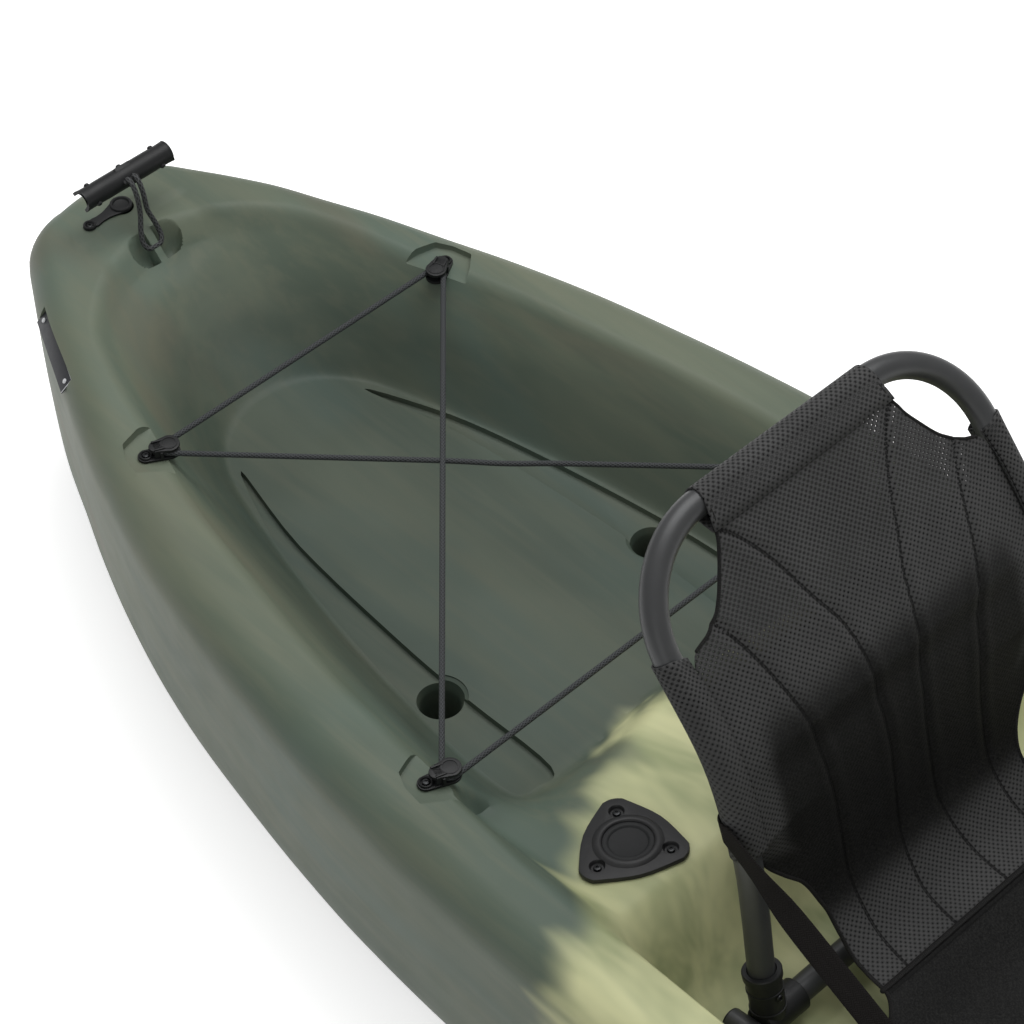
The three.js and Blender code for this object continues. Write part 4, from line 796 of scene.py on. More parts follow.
def mesh_object(name: str, vertices: np.ndarray, faces: list, finish: Finish,
                uvs: np.ndarray | None = None, sharp: float = 40.0) -> bpy.types.Object:
    """Makes an object from vertices and faces.

    Args:
        name: The object's name.
        vertices: Points, (n, 3).
        faces: Tuples of vertex numbers.
        finish: Its look.
        uvs: One pair for each face corner, in order.
        sharp: Edges that turn by more degrees than this stay sharp.

    Returns:
        The object, linked to the scene.
    """
    mesh = bpy.data.meshes.new(name)
    mesh.from_pydata(np.asarray(vertices, float).tolist(), [], faces)
    if uvs is not None:
        layer = mesh.uv_layers.new(name="UVMap")
        layer.data.foreach_set("uv", np.asarray(uvs, np.float32).ravel())
    mesh.validate()
    obj = bpy.data.objects.new(name, mesh)
    bpy.context.scene.collection.objects.link(obj)
    dress(obj, finish, sharp)
    return obj


def dress(obj: bpy.types.Object, finish: Finish, sharp: float) -> None:
    """Gives an object its material and its shading.

    Args:
        obj: The object.
        finish: Its look.
        sharp: Edges that turn by more degrees than this stay sharp.
    """
    obj.data.materials.clear()
    obj.data.materials.append(material_of(finish))
    obj.data.shade_smooth()
    obj.data.set_sharp_from_angle(angle=math.radians(sharp))


def grid_faces(rows: int, columns: int, wrap: bool) -> tuple[list, np.ndarray]:
    """Quads of a grid and, for each corner, its row and its column before wrapping.

    Args:
        rows: Points down the grid.
        columns: Points across it.
        wrap: Joins the last column to the first.

    Returns:
        The faces' vertex numbers, and the corners.
    """
    across = columns if wrap else columns - 1
    row, column = np.meshgrid(np.arange(rows - 1), np.arange(across), indexing="ij")
    corners = []
    for down, right in ((0, 0), (0, 1), (1, 1), (1, 0)):
        corners.append(np.stack([row + down, column + right], -1).reshape(-1, 2))
    places = np.stack(corners, 1)
    numbers = places[..., 0] * columns + places[..., 1] % columns
    return numbers.tolist(), places.reshape(-1, 2)


def grid_object(name: str, points: np.ndarray, finish: Finish, uv: np.ndarray | None = None,
                wrap: bool = False, caps: bool = False, sharp: float = 40.0) -> bpy.types.Object:
    """An object from a grid of points.

    Args:
        name: The object's name.
        points: (rows, columns, 3).
        finish: Its look.
        uv: (rows, columns, 2), with one more column when the grid wraps.
        wrap: Joins the last column to the first.
        caps: Closes the first and the last row.
        sharp: The angle that stays sharp, in degrees.

    Returns:
        The object.
    """
    rows, columns = points.shape[:2]
    faces, corners = grid_faces(rows, columns, wrap)
    corner_uv = None
    if uv is not None:
        corner_uv = uv[corners[:, 0], corners[:, 1]]
    if caps:
        last = (rows - 1) * columns
        faces.append(list(range(columns))[::-1])
        faces.append([last + i for i in range(columns)])
        if corner_uv is not None:
            corner_uv = np.concatenate([corner_uv, np.zeros((2 * columns, 2))])
    return mesh_object(name, points.reshape(-1, 3), faces, finish, corner_uv, sharp)


def sides_along(path: np.ndarray) -> tuple[np.ndarray, np.ndarray]:
    """Directions across and above a path, carried without twisting.

    Args:
        path: Points along the path, (n, 3).

    Returns:
        The two directions at each point.
    """
    heading = np.gradient(path, axis=0)
    heading /= np.linalg.norm(heading, axis=1)[:, None]
    across = np.cross((0.0, 0.0, 1.0), heading[0])
    if np.linalg.norm(across) < 0.1:
        across = np.cross((0.0, 1.0, 0.0), heading[0])
    sides = []
    for way in heading:
        across = across - way * (across @ way)
        across = across / np.linalg.norm(across)
        sides.append(across)
    side = np.asarray(sides)
    return side, np.cross(heading, side)


def tube_object(name: str, path: np.ndarray, radius: float, finish: Finish, sides: int,
                round_ends: bool = False) -> bpy.types.Object:
    """A round tube or cord along a path, with UVs of turn and length.

    Args:
        name: The object's name.
        path: Its centre line, (n, 3).
        radius: Its radius.
        finish: Its look.
        sides: Facets round it.
        round_ends: Closes it with domes.

    Returns:
        The object.
    """
    path = np.asarray(path, float)
    radii = np.full(len(path), radius)
    if round_ends:
        first = path[0] - path[1]
        last = path[-1] - path[-2]
        first /= np.linalg.norm(first)
        last /= np.linalg.norm(last)
        angles = np.radians([80, 60, 40, 20])
        lead = [path[0] + first * radii[0] * math.sin(a) for a in angles]
        tail = [path[-1] + last * radii[-1] * math.sin(a) for a in angles[::-1]]
        radii = np.concatenate([radii[0] * np.cos(angles), radii, radii[-1] * np.cos(angles[::-1])])
        path = np.concatenate([lead, path, tail])
    side, above = sides_along(path)
    angle = np.arange(sides) * (2 * math.pi / sides)
    ring = (side[:, None, :] * np.cos(angle)[None, :, None] + above[:, None, :] * np.sin(angle)[None, :, None])
    points = path[:, None, :] + ring * radii[:, None, None]
    run = lengths_along(path)
    turn = np.arange(sides + 1) / sides
    uv = np.stack(np.broadcast_arrays(turn[None, :], run[:, None]), -1)
    return grid_object(name, points, finish, uv, wrap=True, caps=True)


class Shape:
    """Solids gathered for one object, each with its own rounded edges."""

    sharp_edge = math.radians(30)
    shade_angle = 32.0

    def __init__(self) -> None:
        """Starts empty."""
        self.mesh = bmesh.new()

    def _take(self, part: bmesh.types.BMesh, bevel: float, place: Matrix | None) -> "Shape":
        """Rounds a part's sharp edges, sets it in place and takes it in.

        Args:
            part: The solid.
            bevel: The radius of its edges.
            place: Where it is set down.

        Returns:
            The shape itself.
        """
        bmesh.ops.recalc_face_normals(part, faces=part.faces)
        if bevel > 0:
            sharp = [edge for edge in part.edges
                     if len(edge.link_faces) == 2 and edge.calc_face_angle(0.0) > self.sharp_edge]
            bmesh.ops.bevel(part, geom=sharp, offset=bevel, segments=2, profile=0.6, affect="EDGES",
                            clamp_overlap=True)
        if place is not None:
            part.transform(place)
        if place is not None and place.determinant() < 0:
            bmesh.ops.reverse_faces(part, faces=part.faces)
        holder = bpy.data.meshes.new("part")
        part.to_mesh(holder)
        part.free()
        self.mesh.from_mesh(holder)
        bpy.data.meshes.remove(holder)
        return self

    def prism(self, outline: Iterable[Point], low: float, high: float, bevel: float,
              place: Matrix | None = None) -> "Shape":
        """Adds an upright block on an outline.

        Args:
            outline: Its corners in plan.
            low: The height of its underside.
            high: The height of its top.
            bevel: The radius of its edges.
            place: Where it is set down.

        Returns:
            The shape itself.
        """
        part = bmesh.new()
        corners = [tuple(p) for p in outline]
        bottom, top = ([part.verts.new((x, y, z)) for x, y in corners] for z in (low, high))
        part.faces.new(bottom[::-1])
        part.faces.new(top)
        for i, start in enumerate(bottom):
            after = (i + 1) % len(bottom)
            part.faces.new((start, bottom[after], top[after], top[i]))
        return self._take(part, bevel, place)

    def box(self, size: Point, bevel: float, place: Matrix) -> "Shape":
        """Adds a block centred on its own middle."""
        x, y, z = (part / 2 for part in size)
        return self.prism(((-x, -y), (x, -y), (x, y), (-x, y)), -z, z, bevel, place)

    def lathe(self, profile: Rows, sides: int, place: Matrix) -> "Shape":
        """Adds a closed profile of radius and height turned about Z.

        Args:
            profile: Pairs of radius and height.
            sides: Facets round it.
            place: Where it is set down.

        Returns:
            The shape itself.
        """
        part = bmesh.new()
        rings = []
        for radius, height in profile:
            if radius < 1e-7:
                rings.append([part.verts.new((0, 0, height))])
                continue
            rings.append([part.verts.new((radius * math.cos(a), radius * math.sin(a), height))
                          for a in np.arange(sides) * (2 * math.pi / sides)])
        pairs = list(zip(rings, rings[1:]))
        if len(rings[0]) > 1 and len(rings[-1]) > 1:
            pairs.append((rings[-1], rings[0]))
        for lower, upper in pairs:
            for i in range(sides):
                after = (i + 1) % sides
                corners = [lower[i % len(lower)], lower[after % len(lower)],
                           upper[after % len(upper)], upper[i % len(upper)]]
                unique = list(dict.fromkeys(corners))
                if len(unique) > 2:
                    part.faces.new(unique)
        return self._take(part, 0.0, place)

    def object(self, name: str, finish: Finish) -> bpy.types.Object:
        """Makes the object.

        Args:
            name: The object's name.
            finish: Its look.

        Returns:
            The object, linked to the scene.
        """
        mesh = bpy.data.meshes.new(name)
        self.mesh.to_mesh(mesh)
        self.mesh.free()
        obj = bpy.data.objects.new(name, mesh)
        bpy.context.scene.collection.objects.link(obj)
        dress(obj, finish, self.shade_angle)
        return obj


def carve(obj: bpy.types.Object, cutters: Sequence[bpy.types.Object]) -> None:
    """Cuts closed shapes out of a closed object and removes them.

    Args:
        obj: The object.
        cutters: The closed shapes.
    """
    for cutter in cutters:
        modifier = obj.modifiers.new("cut", "BOOLEAN")
        modifier.operation = "DIFFERENCE"
        modifier.solver = "MANIFOLD"
        modifier.object = cutter
        depsgraph = bpy.context.evaluated_depsgraph_get()
        carved = bpy.data.meshes.new_from_object(obj.evaluated_get(depsgraph), depsgraph=depsgraph)
        obj.modifiers.clear()
        old = obj.data
        obj.data = carved
        bpy.data.meshes.remove(old)
        bpy.data.objects.remove(cutter)


def placed(x: float, y: float, z: float, turn: float = 0.0) -> Matrix:
    """A place with a turn about Z, in radians."""
    return Matrix.Translation((x, y, z)) @ Matrix.Rotation(turn, 4, "Z")


def rounded(outline: Rows, steps: int = 4) -> np.ndarray:
    """A closed outline smoothed through its points."""
    return catmull(np.asarray(outline, float), steps, closed=True)


def lifted(profile: Rows, height: float) -> list[tuple[float, float]]:
    """A lathe profile raised by a height."""
    return [(radius, height + up) for radius, up in profile]


def bore(profile: Rows, top: float, steps: int, place: Matrix) -> Shape:
    """A round cutter with the given side, open upwards to a height."""
    out = profile[-1][0]
    return Shape().lathe([*profile, (out, top), (0, top)], steps, place)


def ring_point(radius: float, angle: float, middle: Point = (0.0, 0.0)) -> tuple[float, float]:
    """A point on a circle."""
    return (middle[0] + radius * math.cos(angle), middle[1] + radius * math.sin(angle))


def settle(obj: bpy.types.Object, body: Body, slot: Slot, replaces: bool = True) -> None:
    """Ties a finished piece to its body, and to the node that it is named after.

    Args:
        obj: The piece, named after its node.
        body: What it rides on.
        slot: Its material slot; not used.
        replaces: False for a piece that has no node of its own.
    """
    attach(obj, body.value)
    if replaces:
        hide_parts(obj.name.removesuffix("_look"))


# Hull


# The hull's half breadth and the rises of its ends, by share of the length.
PLAN = (
    (0, 0), (0.0008, 0.114), (0.003, 0.198), (0.007, 0.252), (0.013, 0.29), (0.021, 0.33), (0.032, 0.384),
    (0.047, 0.45), (0.065, 0.515), (0.085, 0.59), (0.11, 0.673), (0.14, 0.757), (0.17, 0.823), (0.2, 0.874),
    (0.235, 0.925), (0.27, 0.963), (0.31, 0.986), (0.35, 0.996), (0.4, 1), (0.45, 0.999), (0.5, 0.991),
    (0.55, 0.976), (0.6, 0.953), (0.65, 0.92), (0.7, 0.872), (0.745, 0.816), (0.79, 0.74), (0.83, 0.656),
    (0.865, 0.564), (0.895, 0.468), (0.92, 0.379), (0.942, 0.29), (0.96, 0.214), (0.974, 0.152),
    (0.988, 0.092), (0.997, 0.04), (1, 0))
STERN_RISE = ((0, 1), (0.045, 0.95), (0.08, 0.6), (0.115, 0.08), (0.15, 0), (1, 0))
BOW_RISE = ((0, 0), (0.55, 0), (0.7, 0.15), (0.85, 0.54), (0.95, 0.88), (1, 1))
# The keel's height as a share of the gunwale's, and the tunnel's, by share of the length.
KEEL = (
    (0, 0.66), (0.003, 0.5), (0.013, 0.34), (0.032, 0.2), (0.065, 0.1), (0.11, 0.04), (0.17, 0.008), (0.25, 0),
    (0.7, 0), (0.8, 0.015), (0.87, 0.06), (0.92, 0.13), (0.96, 0.24), (0.985, 0.38), (0.995, 0.5), (1, 0.68))
TUNNEL = ((0, 0), (0.06, 0), (0.2, 1), (0.75, 1), (0.93, 0), (1, 0))
# The half section: outwards along the bottom, then up the side, in shares of the breadth and of a height.
BOTTOM = ((0, 0), (0.11, 0), (0.2, 0.35), (0.33, 1), (0.46, 0.95), (0.59, 0.3), (0.67, 0), (0.81, 0))
SIDES = ((0.9, 0.035), (0.943, 0.12), (0.966, 0.26), (0.988, 0.46), (1, 0.68))
# Outlines in plan: the well's rim, its floor and a channel in it, in shares of their length and half width.
WELL_RIM = (
    (0, 0), (0.009, 0.14), (0.028, 0.264), (0.053, 0.368), (0.085, 0.458), (0.158, 0.565), (0.256, 0.679),
    (0.356, 0.773), (0.49, 0.86), (0.634, 0.94), (0.766, 0.983), (0.883, 1), (1, 0.993), (0.963, 0.602),
    (0.931, 0.284), (0.913, 0))
WELL_FLOOR = (
    (0, 0), (0.006, 0.149), (0.025, 0.287), (0.057, 0.406), (0.115, 0.53), (0.21, 0.629), (0.322, 0.723),
    (0.449, 0.817), (0.576, 0.891), (0.704, 0.946), (0.826, 0.985), (0.927, 1), (0.99, 0.941), (1, 0.594),
    (0.989, 0.297), (0.981, 0))
CHANNEL = (
    (0.115, 0.46), (0.323, 0.604), (0.605, 0.683), (0.782, 0.703), (0.975, 0.708), (0.989, 0.851),
    (0.967, 0.97), (0.826, 0.97), (0.661, 0.911), (0.449, 0.797), (0.274, 0.668))
# The cockpit's stretches: shares of the length, of the fall where there is one, and of the half width.
SEAT_DECK = ((0, 0.982), (0.763, 0.996), (1, 1))
RAMP = ((0.155, 0.915, 1), (0.79, 0.09, 0.993), (1, 0, 0.989))
FOOTWELL = (
    (0, 0.264, 0.954), (0.017, 0.232, 0.897), (0.058, 0.032, 0.843), (0.084, 0, 0.826), (0.593, 0, 0.73),
    (0.802, 0.023, 0.587), (0.878, 0.114, 0.498), (0.942, 0.464, 0.399), (0.979, 0.736, 0.327), (1, 1, 0.249))


@dataclass
class HullForm:
    """The hull's sizes, and its surface as heights over places along and across."""

    length: float = 3.124
    beam: float = 0.787
    gunwale: float = 0.320
    stern_rise: float = 0.015
    bow_rise: float = 0.052
    crown: float = 0.006
    rim_radius: float = 0.045
    rim_width: float = 0.0846
    tunnel: float = 0.020
    well_rim_z: float = 0.314
    well_floor_z: float = 0.196
    well_aft: float = -1.421
    well_length: float = 0.941
    well_half: float = 0.299
    well_end: float = -0.44
    well_ease: float = 0.11
    floor_aft: float = -1.262
    floor_length: float = 0.628
    floor_half: float = 0.202
    plate_x: float = -0.486
    deck_z: float = 0.270
    deck_tilt: float = math.radians(8)
    deck_aft: float = -0.660
    deck_crest: float = -0.432
    shelf_z: float = SHELF_HEIGHT
    shelf_aft: float = -0.322
    shelf_fore: float = 0.190
    foot_z: float = 0.130
    foot_end_z: float = 0.350
    cockpit_fore: float = 1.050
    cockpit_half: float = 0.281
    cockpit_slopes: tuple[float, float] = (1.6, 3.0)
    console_x: float = 0.390
    console_z: float = 0.205
    console_half: tuple[float, float] = (0.132, 0.114)
    console_edge: float = 0.02
    console_slope: float = 4.2
    pocket_x: float = -1.432
    bow_pocket_x: float = 1.450
    pocket_depth: float = 0.023
    pocket_out: float = 0.013
    pocket_half: tuple[float, float] = (0.0150, 0.0160)
    bridge: float = 0.0055
    dip_depth: float = 0.0042
    dip_side: tuple[float, float] = (0.085, 0.060)
    dip_aft: tuple[float, float] = (-1.474, -1.466)
    dip_fore: tuple[float, float] = (-1.385, -1.415)
    drain_x: float = -1.494
    island_radius: float = 0.0165
    island_offset: float = 0.010
    island_reach: tuple[float, float] = (-0.056, 0.006)

    def share(self, x: Any) -> np.ndarray:
        """The share of the length from the stern."""
        return np.asarray(x, float) / self.length + 0.5

    def breadth(self, x: Any) -> np.ndarray:
        """Half the hull's breadth at a place along it."""
        return self.beam / 2 * smooth_table(PLAN, self.share(x))

    def rim(self, x: Any) -> np.ndarray:
        """The height of the rim's top before it rounds down at the ends.

        Args:
            x: Places along the hull.

        Returns:
            A height for each place.
        """
        share = self.share(x)
        return self.gunwale + self.stern_rise * smooth_table(STERN_RISE, share) \
            + self.bow_rise * smooth_table(BOW_RISE, share)

    def top(self, x: Any) -> np.ndarray:
        """The height of the rim's top."""
        inward = self.rim_radius - np.minimum(self.length / 2 - np.abs(x), self.rim_radius)
        return self.rim(x) - (self.rim_radius - np.sqrt(np.maximum(self.rim_radius ** 2 - inward ** 2, 0)))

    def seat_deck(self, x: Any) -> np.ndarray:
        """The height of the tilted deck behind the seat."""
        return self.deck_z + (np.asarray(x, float) - self.plate_x) * math.tan(self.deck_tilt)

    def outline(self, shares: Rows, aft: float, length: float, half: float, mirror: bool = True) -> np.ndarray:
        """A smooth closed outline in plan from shares of a length and a half width.

        Args:
            shares: Pairs along and out.
            aft: Where it starts.
            length: Its length.
            half: Its half width.
            mirror: Adds the other side.

        Returns:
            Its points, (n, 2).
        """
        port = [(aft + length * along, half * out) for along, out in shares]
        back = [(x, -y) for x, y in reversed(port) if y > 0] if mirror else []
        return rounded(port + back, 5)

    def cockpit_rows(self) -> np.ndarray:
        """Rows of place, floor height and floor half width from the seat deck to the end of the footwell.

        Returns:
            The rows, (n, 3).
        """
        rows = []
        for along, out in SEAT_DECK:
            x = self.deck_aft + (self.deck_crest - self.deck_aft) * along
            rows.append((x, float(self.seat_deck(x)), self.cockpit_half * out))
        fall = float(self.seat_deck(self.deck_crest)) - self.shelf_z
        for along, up, out in RAMP:
            rows.append((self.deck_crest + (self.shelf_aft - self.deck_crest) * along,
                         self.shelf_z + fall * up, self.cockpit_half * out))
        for along, up, out in FOOTWELL:
            rows.append((self.shelf_fore + (self.cockpit_fore - self.shelf_fore) * along,
                         self.foot_z + (self.foot_end_z - self.foot_z) * up, self.cockpit_half * out))
        return np.asarray(rows)

    def well(self, places: np.ndarray) -> np.ndarray:
        """The tank well's surface.

        Args:
            places: Places in plan, (m, 2).

        Returns:
            A height for each place.
        """
        rim = signed_distance(self.outline(WELL_RIM, self.well_aft, self.well_length, self.well_half), places)
        floor = -signed_distance(
            self.outline(WELL_FLOOR, self.floor_aft, self.floor_length, self.floor_half), places)
        down = np.where(floor <= 0, 1.0, rim / np.maximum(rim + floor, 1e-4))
        down = np.where(rim < 0, rim / self.well_ease, down)
        fall = self.well_rim_z - self.well_floor_z
        wall = self.well_rim_z - fall * down
        return smooth_max(wall, np.full_like(wall, self.well_floor_z), 0.010)

    def cockpit(self, x: np.ndarray, y: np.ndarray) -> np.ndarray:
        """The surface of the seat deck, the shelf and the footwell.

        Args:
            x: Places along the hull.
            y: Places across it, of the same shape.

        Returns:
            Heights of the same shape.
        """
        rows = self.cockpit_rows()
        floor = smooth_table(rows[:, :2], x)
        width = smooth_table(rows[:, [0, 2]], x)
        rim = np.maximum(self.breadth(x) - self.rim_width, width + 0.006)
        edge = np.maximum(self.rim(x) - 0.006, floor + 0.024)
        wall = floor + (np.abs(y) - width + 0.004) * (edge - floor) / (rim - width + 0.004)
        height = smooth_max(floor, wall, 0.018)
        console = np.maximum(np.abs(x - self.console_x) - self.console_half[0] + self.console_edge,
                             np.abs(y) - self.console_half[1] + self.console_edge)
        slope = self.console_z + (self.console_edge - console) * self.console_slope
        hump = smooth_min(np.full_like(height, self.console_z), slope, 0.010)
        near = (np.abs(x - self.console_x) < 0.25) & (np.abs(y) < 0.2)
        height = np.where(near, smooth_max(height, hump, 0.014), height)
        aft, fore = self.cockpit_slopes
        height = height + np.maximum(self.deck_aft + 0.035 - x, 0) * aft
        return height + np.maximum(x - self.cockpit_fore + 0.004, 0) * fore

    @property
    def island_z(self) -> float:
        """The height of the drain's level island."""
        return float(self.top(self.drain_x)) + self.crown * 0.5

    def island_distance(self, x: np.ndarray, y: np.ndarray) -> np.ndarray:
        """The distance from the island's middle line, which runs to starboard from the drain."""
        return np.hypot(x - self.drain_x - self.island_offset, y - np.clip(y, *self.island_reach))

    def pockets(self, x: np.ndarray, y: np.ndarray) -> np.ndarray:
        """The depth of the scoops beside the rope bridges at both ends.

        Args:
            x: Places along the hull.
            y: Places across it, of the same shape.

        Returns:
            Depths of the same shape.
        """
        depth = np.zeros_like(x)
        along, across = self.pocket_half
        out = np.abs(y) - self.bridge
        for centre in (self.pocket_x, self.bow_pocket_x):
            bowl = 1 - ((x - centre) / along) ** 2 - (np.maximum(out - self.pocket_out, 0) / across) ** 2
            power = np.where((x - centre) * np.sign(centre) > 0, 1.3, 0.6)
            hole = self.pocket_depth * np.clip(bowl, 0, 1) ** power
            depth = np.maximum(depth, hole * step(-0.0006, 0.0012, out))
        return depth

    def deck(self, x: np.ndarray, y: np.ndarray) -> np.ndarray:
        """The height of everything that faces up.

        Args:
            x: Places along the hull.
            y: Places across it, of the same shape.

        Returns:
            Heights of the same shape.
        """
        inner = np.maximum(self.breadth(x) - self.rim_radius, 1e-4)
        height = self.top(x) + self.crown * (1 - np.clip(y / inner, -1, 1) ** 2)
        places = np.stack([x, y], -1).reshape(-1, 2)
        near = (places[:, 0] > self.well_aft - 0.05) & (places[:, 0] < self.well_end)
        well = np.full(len(places), 1.0)
        well[near] = self.well(places[near])
        height = smooth_min(height, well.reshape(x.shape), 0.009)
        cockpit = self.cockpit(x, y)
        inside = (x > self.deck_aft - 0.08) & (x < self.cockpit_fore + 0.03)
        height = np.where(inside, smooth_min(height, cockpit, 0.014), height)
        dip = step(*self.dip_side, np.abs(y)) * self.dip_depth
        height = height - dip * step(*self.dip_aft, x) * step(*self.dip_fore, x)
        island = step(self.island_radius + 0.004, self.island_radius, self.island_distance(x, y))
        height = height * (1 - island) + self.island_z * island
        return height - self.pockets(x, y)


@dataclass
class HullShell:
    """The moulded hull with everything that is formed in it."""

    form: HullForm
    spacing: float = 0.006
    end_span: float = 0.06
    end_steps: int = 24
    fine_spacing: float = 0.0018
    fine_spans: tuple[tuple[float, float], ...] = ((-1.458, -1.406), (1.424, 1.476))
    across: int = 236
    arc_steps: int = 8
    channel_depth: float = 0.0050
    rod_bore: float = 0.0266
    hatch_bore: float = 0.0803
    bush_bore: float = 0.0123
    console_hollow: tuple[float, float, float] = (0.27, 0.29, 0.10)
    drains: tuple[tuple[float, ...], ...] = ((-0.797, 0.160, 0.196, 0.028), (-0.060, 0.118, 0.188, 0.028),
                                             (0.600, 0.092, 0.130, 0.028))
    clip_recess: tuple[tuple[float, float], ...] = ((-0.062, -0.040), (-0.0045, -0.043), (0.0140, -0.0352),
                                                    (0.0345, -0.0200), (0.0370, 0.0000), (0.0320, 0.0250),
                                                    (0.0080, 0.0330), (-0.062, 0.0420))

    def stations(self) -> np.ndarray:
        """Places along the hull, closer at the ends and where small forms are.

        Returns:
            The places, in order.
        """
        half = self.form.length / 2
        lead = self.end_span * (np.arange(self.end_steps) / self.end_steps) ** 2.4
        body = np.arange(self.end_span, self.form.length - self.end_span, self.spacing)
        x = np.concatenate([lead, body, self.form.length - lead[::-1]]) - half
        fine = [np.arange(start, end, self.fine_spacing) for start, end in self.fine_spans]
        return np.unique(np.round(np.concatenate([x, *fine]), 6))

    def half_section(self, x: np.ndarray) -> np.ndarray:
        """Points from the keel up to where the rim meets the deck, (stations, points, 2).

        Args:
            x: Places along the hull.

        Returns:
            Pairs of place across and height.
        """
        form = self.form
        breadth = np.maximum(form.breadth(x), 3e-6)
        low = form.gunwale * smooth_table(KEEL, form.share(x))
        top = form.top(x)
        depth = top - low
        rise = form.tunnel * smooth_table(TUNNEL, form.share(x))
        radius = self.corner(x)
        rows = [np.stack([breadth * across, low + rise * up], -1) for across, up in BOTTOM]
        rows += [np.stack([breadth * across, low + (depth - radius) * up / SIDES[-1][1]], -1)
                 for across, up in SIDES]
        rows.append(np.stack([breadth, top - radius * 0.7], -1))
        curve = catmull(np.stack(rows, 1), 5)[:, :-5]
        angles = np.arange(1, self.arc_steps + 1) * (math.pi / 2 / self.arc_steps)
        arc = np.stack([breadth[:, None] - radius[:, None] * (1 - np.cos(angles)),
                        top[:, None] - radius[:, None] * (1 - np.sin(angles))], -1)
        return np.concatenate([curve, arc], 1)

    def corner(self, x: np.ndarray) -> np.ndarray:
        """The radius of the rim's outer corner.

        Args:
            x: Places along the hull.

        Returns:
            A radius for each place.
        """
        form = self.form
        low = form.gunwale * smooth_table(KEEL, form.share(x))
        breadth = np.maximum(form.breadth(x), 3e-6)
        return np.minimum(form.rim_radius, np.minimum(breadth / 2, (form.top(x) - low) * 0.45))

    def shell(self) -> bpy.types.Object:
        """The closed hull before anything is cut from it.

        Returns:
            The hull.
        """
        x = self.stations()
        half = self.half_section(x)
        inner = half[:, -1, 0]
        share = np.linspace(1, -1, self.across + 1)[1:-1]
        y = inner[:, None] * share[None, :]
        z = self.form.deck(np.broadcast_to(x[:, None], y.shape), y)
        deck = np.stack([y, z], -1)
        mirror = half[:, 1:][:, ::-1] * np.array([-1.0, 1.0])
        ring = np.concatenate([half, deck, mirror], 1)
        points = np.concatenate([np.broadcast_to(x[:, None, None], (*ring.shape[:2], 1)), ring], -1)
        return grid_object("hull_look", points, HULL_PLASTIC, wrap=True, caps=True, sharp=50.0)

    def cutters(self) -> list[bpy.types.Object]:
        """Everything that is cut: channels, drains, recesses, sockets and the hatch mouth.

        Returns:
            The cutters, linked to the scene.
        """
        form = self.form
        tools = []
        outline = form.outline(CHANNEL, form.floor_aft, form.floor_length, form.floor_half, mirror=False)
        bottom, top = form.well_floor_z - self.channel_depth, form.well_floor_z + 0.03
        for side in Side:
            tools.append(Shape().prism(outline * np.array([1, side.value]), bottom, top, 0.0022))
            for x, y, floor, mouth in self.drains:
                funnel = [(0, -0.01), (0.022, -0.01), (0.022, floor - 0.016), (0.0228, floor - 0.011),
                          (0.0248, floor - 0.006), (mouth - 0.002, floor - 0.0012),
                          (mouth + 0.002, floor + 0.001)]
                tools.append(bore(funnel, floor + 0.02, 48, placed(x, side.value * y, 0)))
            for clip in (spot for spot in CLIPS if spot.side is side):
                recess = [(x, -side.value * y) for x, y in self.clip_recess][::-side.value]
                tools.append(Shape().prism(recess, CLIP_SEAT, CLIP_SEAT + 0.05, 0.0025, clip.place(0)))
            socket = RodHolder(side, form).place() @ Matrix.Rotation(-ROD_TILT, 4, "Y")
            tools.append(bore([(0, -0.18), (self.rod_bore, -0.18)], 0.01, 40, socket))
        tools.append(bore([(0, 0.03), (self.hatch_bore, 0.03)], 0.23, 64, placed(form.console_x, 0, 0)))
        tools.append(Shape().box(self.console_hollow, 0.012, placed(form.console_x, 0, 0.09)))
        tools.append(Shape().box((PLATE_LENGTH + 2 * GAP, 0.04, PLATE_HEIGHT + 2 * GAP), 0.0,
                                 RatingPlate(form).place() @ placed(0, -0.02, 0)))
        drain = DrainPlug(form)
        bush = placed(drain.x, drain.y, drain.seat)
        tools.append(bore([(0, -0.03), (self.bush_bore, -0.03)], 0.02, 40, bush))
        return [tool.object("tool", HULL_PLASTIC) for tool in tools]

    def build(self) -> None:
        """Makes the hull and cuts it."""
        hull = self.shell()
        carve(hull, self.cutters())
        dress(hull, HULL_PLASTIC, 38.0)
        settle(hull, Body.BOAT, Slot.HULL)


@dataclass(frozen=True)
class ClipSpot:
    """Where a cord clip sits and which way its nose points."""

    end: str
    side: Side
    x: float
    y: float
    turn: float

    def place(self, z: float) -> Matrix:
        """The clip's own frame: +X runs out from the well to the rim."""
        return placed(self.x, self.side.value * self.y, z, (math.pi / 2 + self.turn) * self.side.value)

    def spot(self, along: float, across: float = 0.0) -> Vector:
        """A point of the clip's frame in plan."""
        return self.place(0) @ Vector((along, across, 0))


CLIP_SEAT = 0.312
CLIPS = tuple(ClipSpot(end, side, x, y, math.radians(turn)) for side in Side
              for end, x, y, turn in (("rear", -1.181, 0.207, 24), ("front", -0.650, 0.298, 18)))
ROD_TILT = math.radians(10)


# A screw head's profile in shares of its radius and its height, from its rim into its recess.
SCREW_HEAD = ((1, 0.35), (0.86, 0.8), (0.55, 1), (0.42, 1), (0.30, 0.35), (0, 0.2))
SCREW_RADIUS, SCREW_HEIGHT, SHANK_RADIUS = 0.0042, 0.0022, 0.002


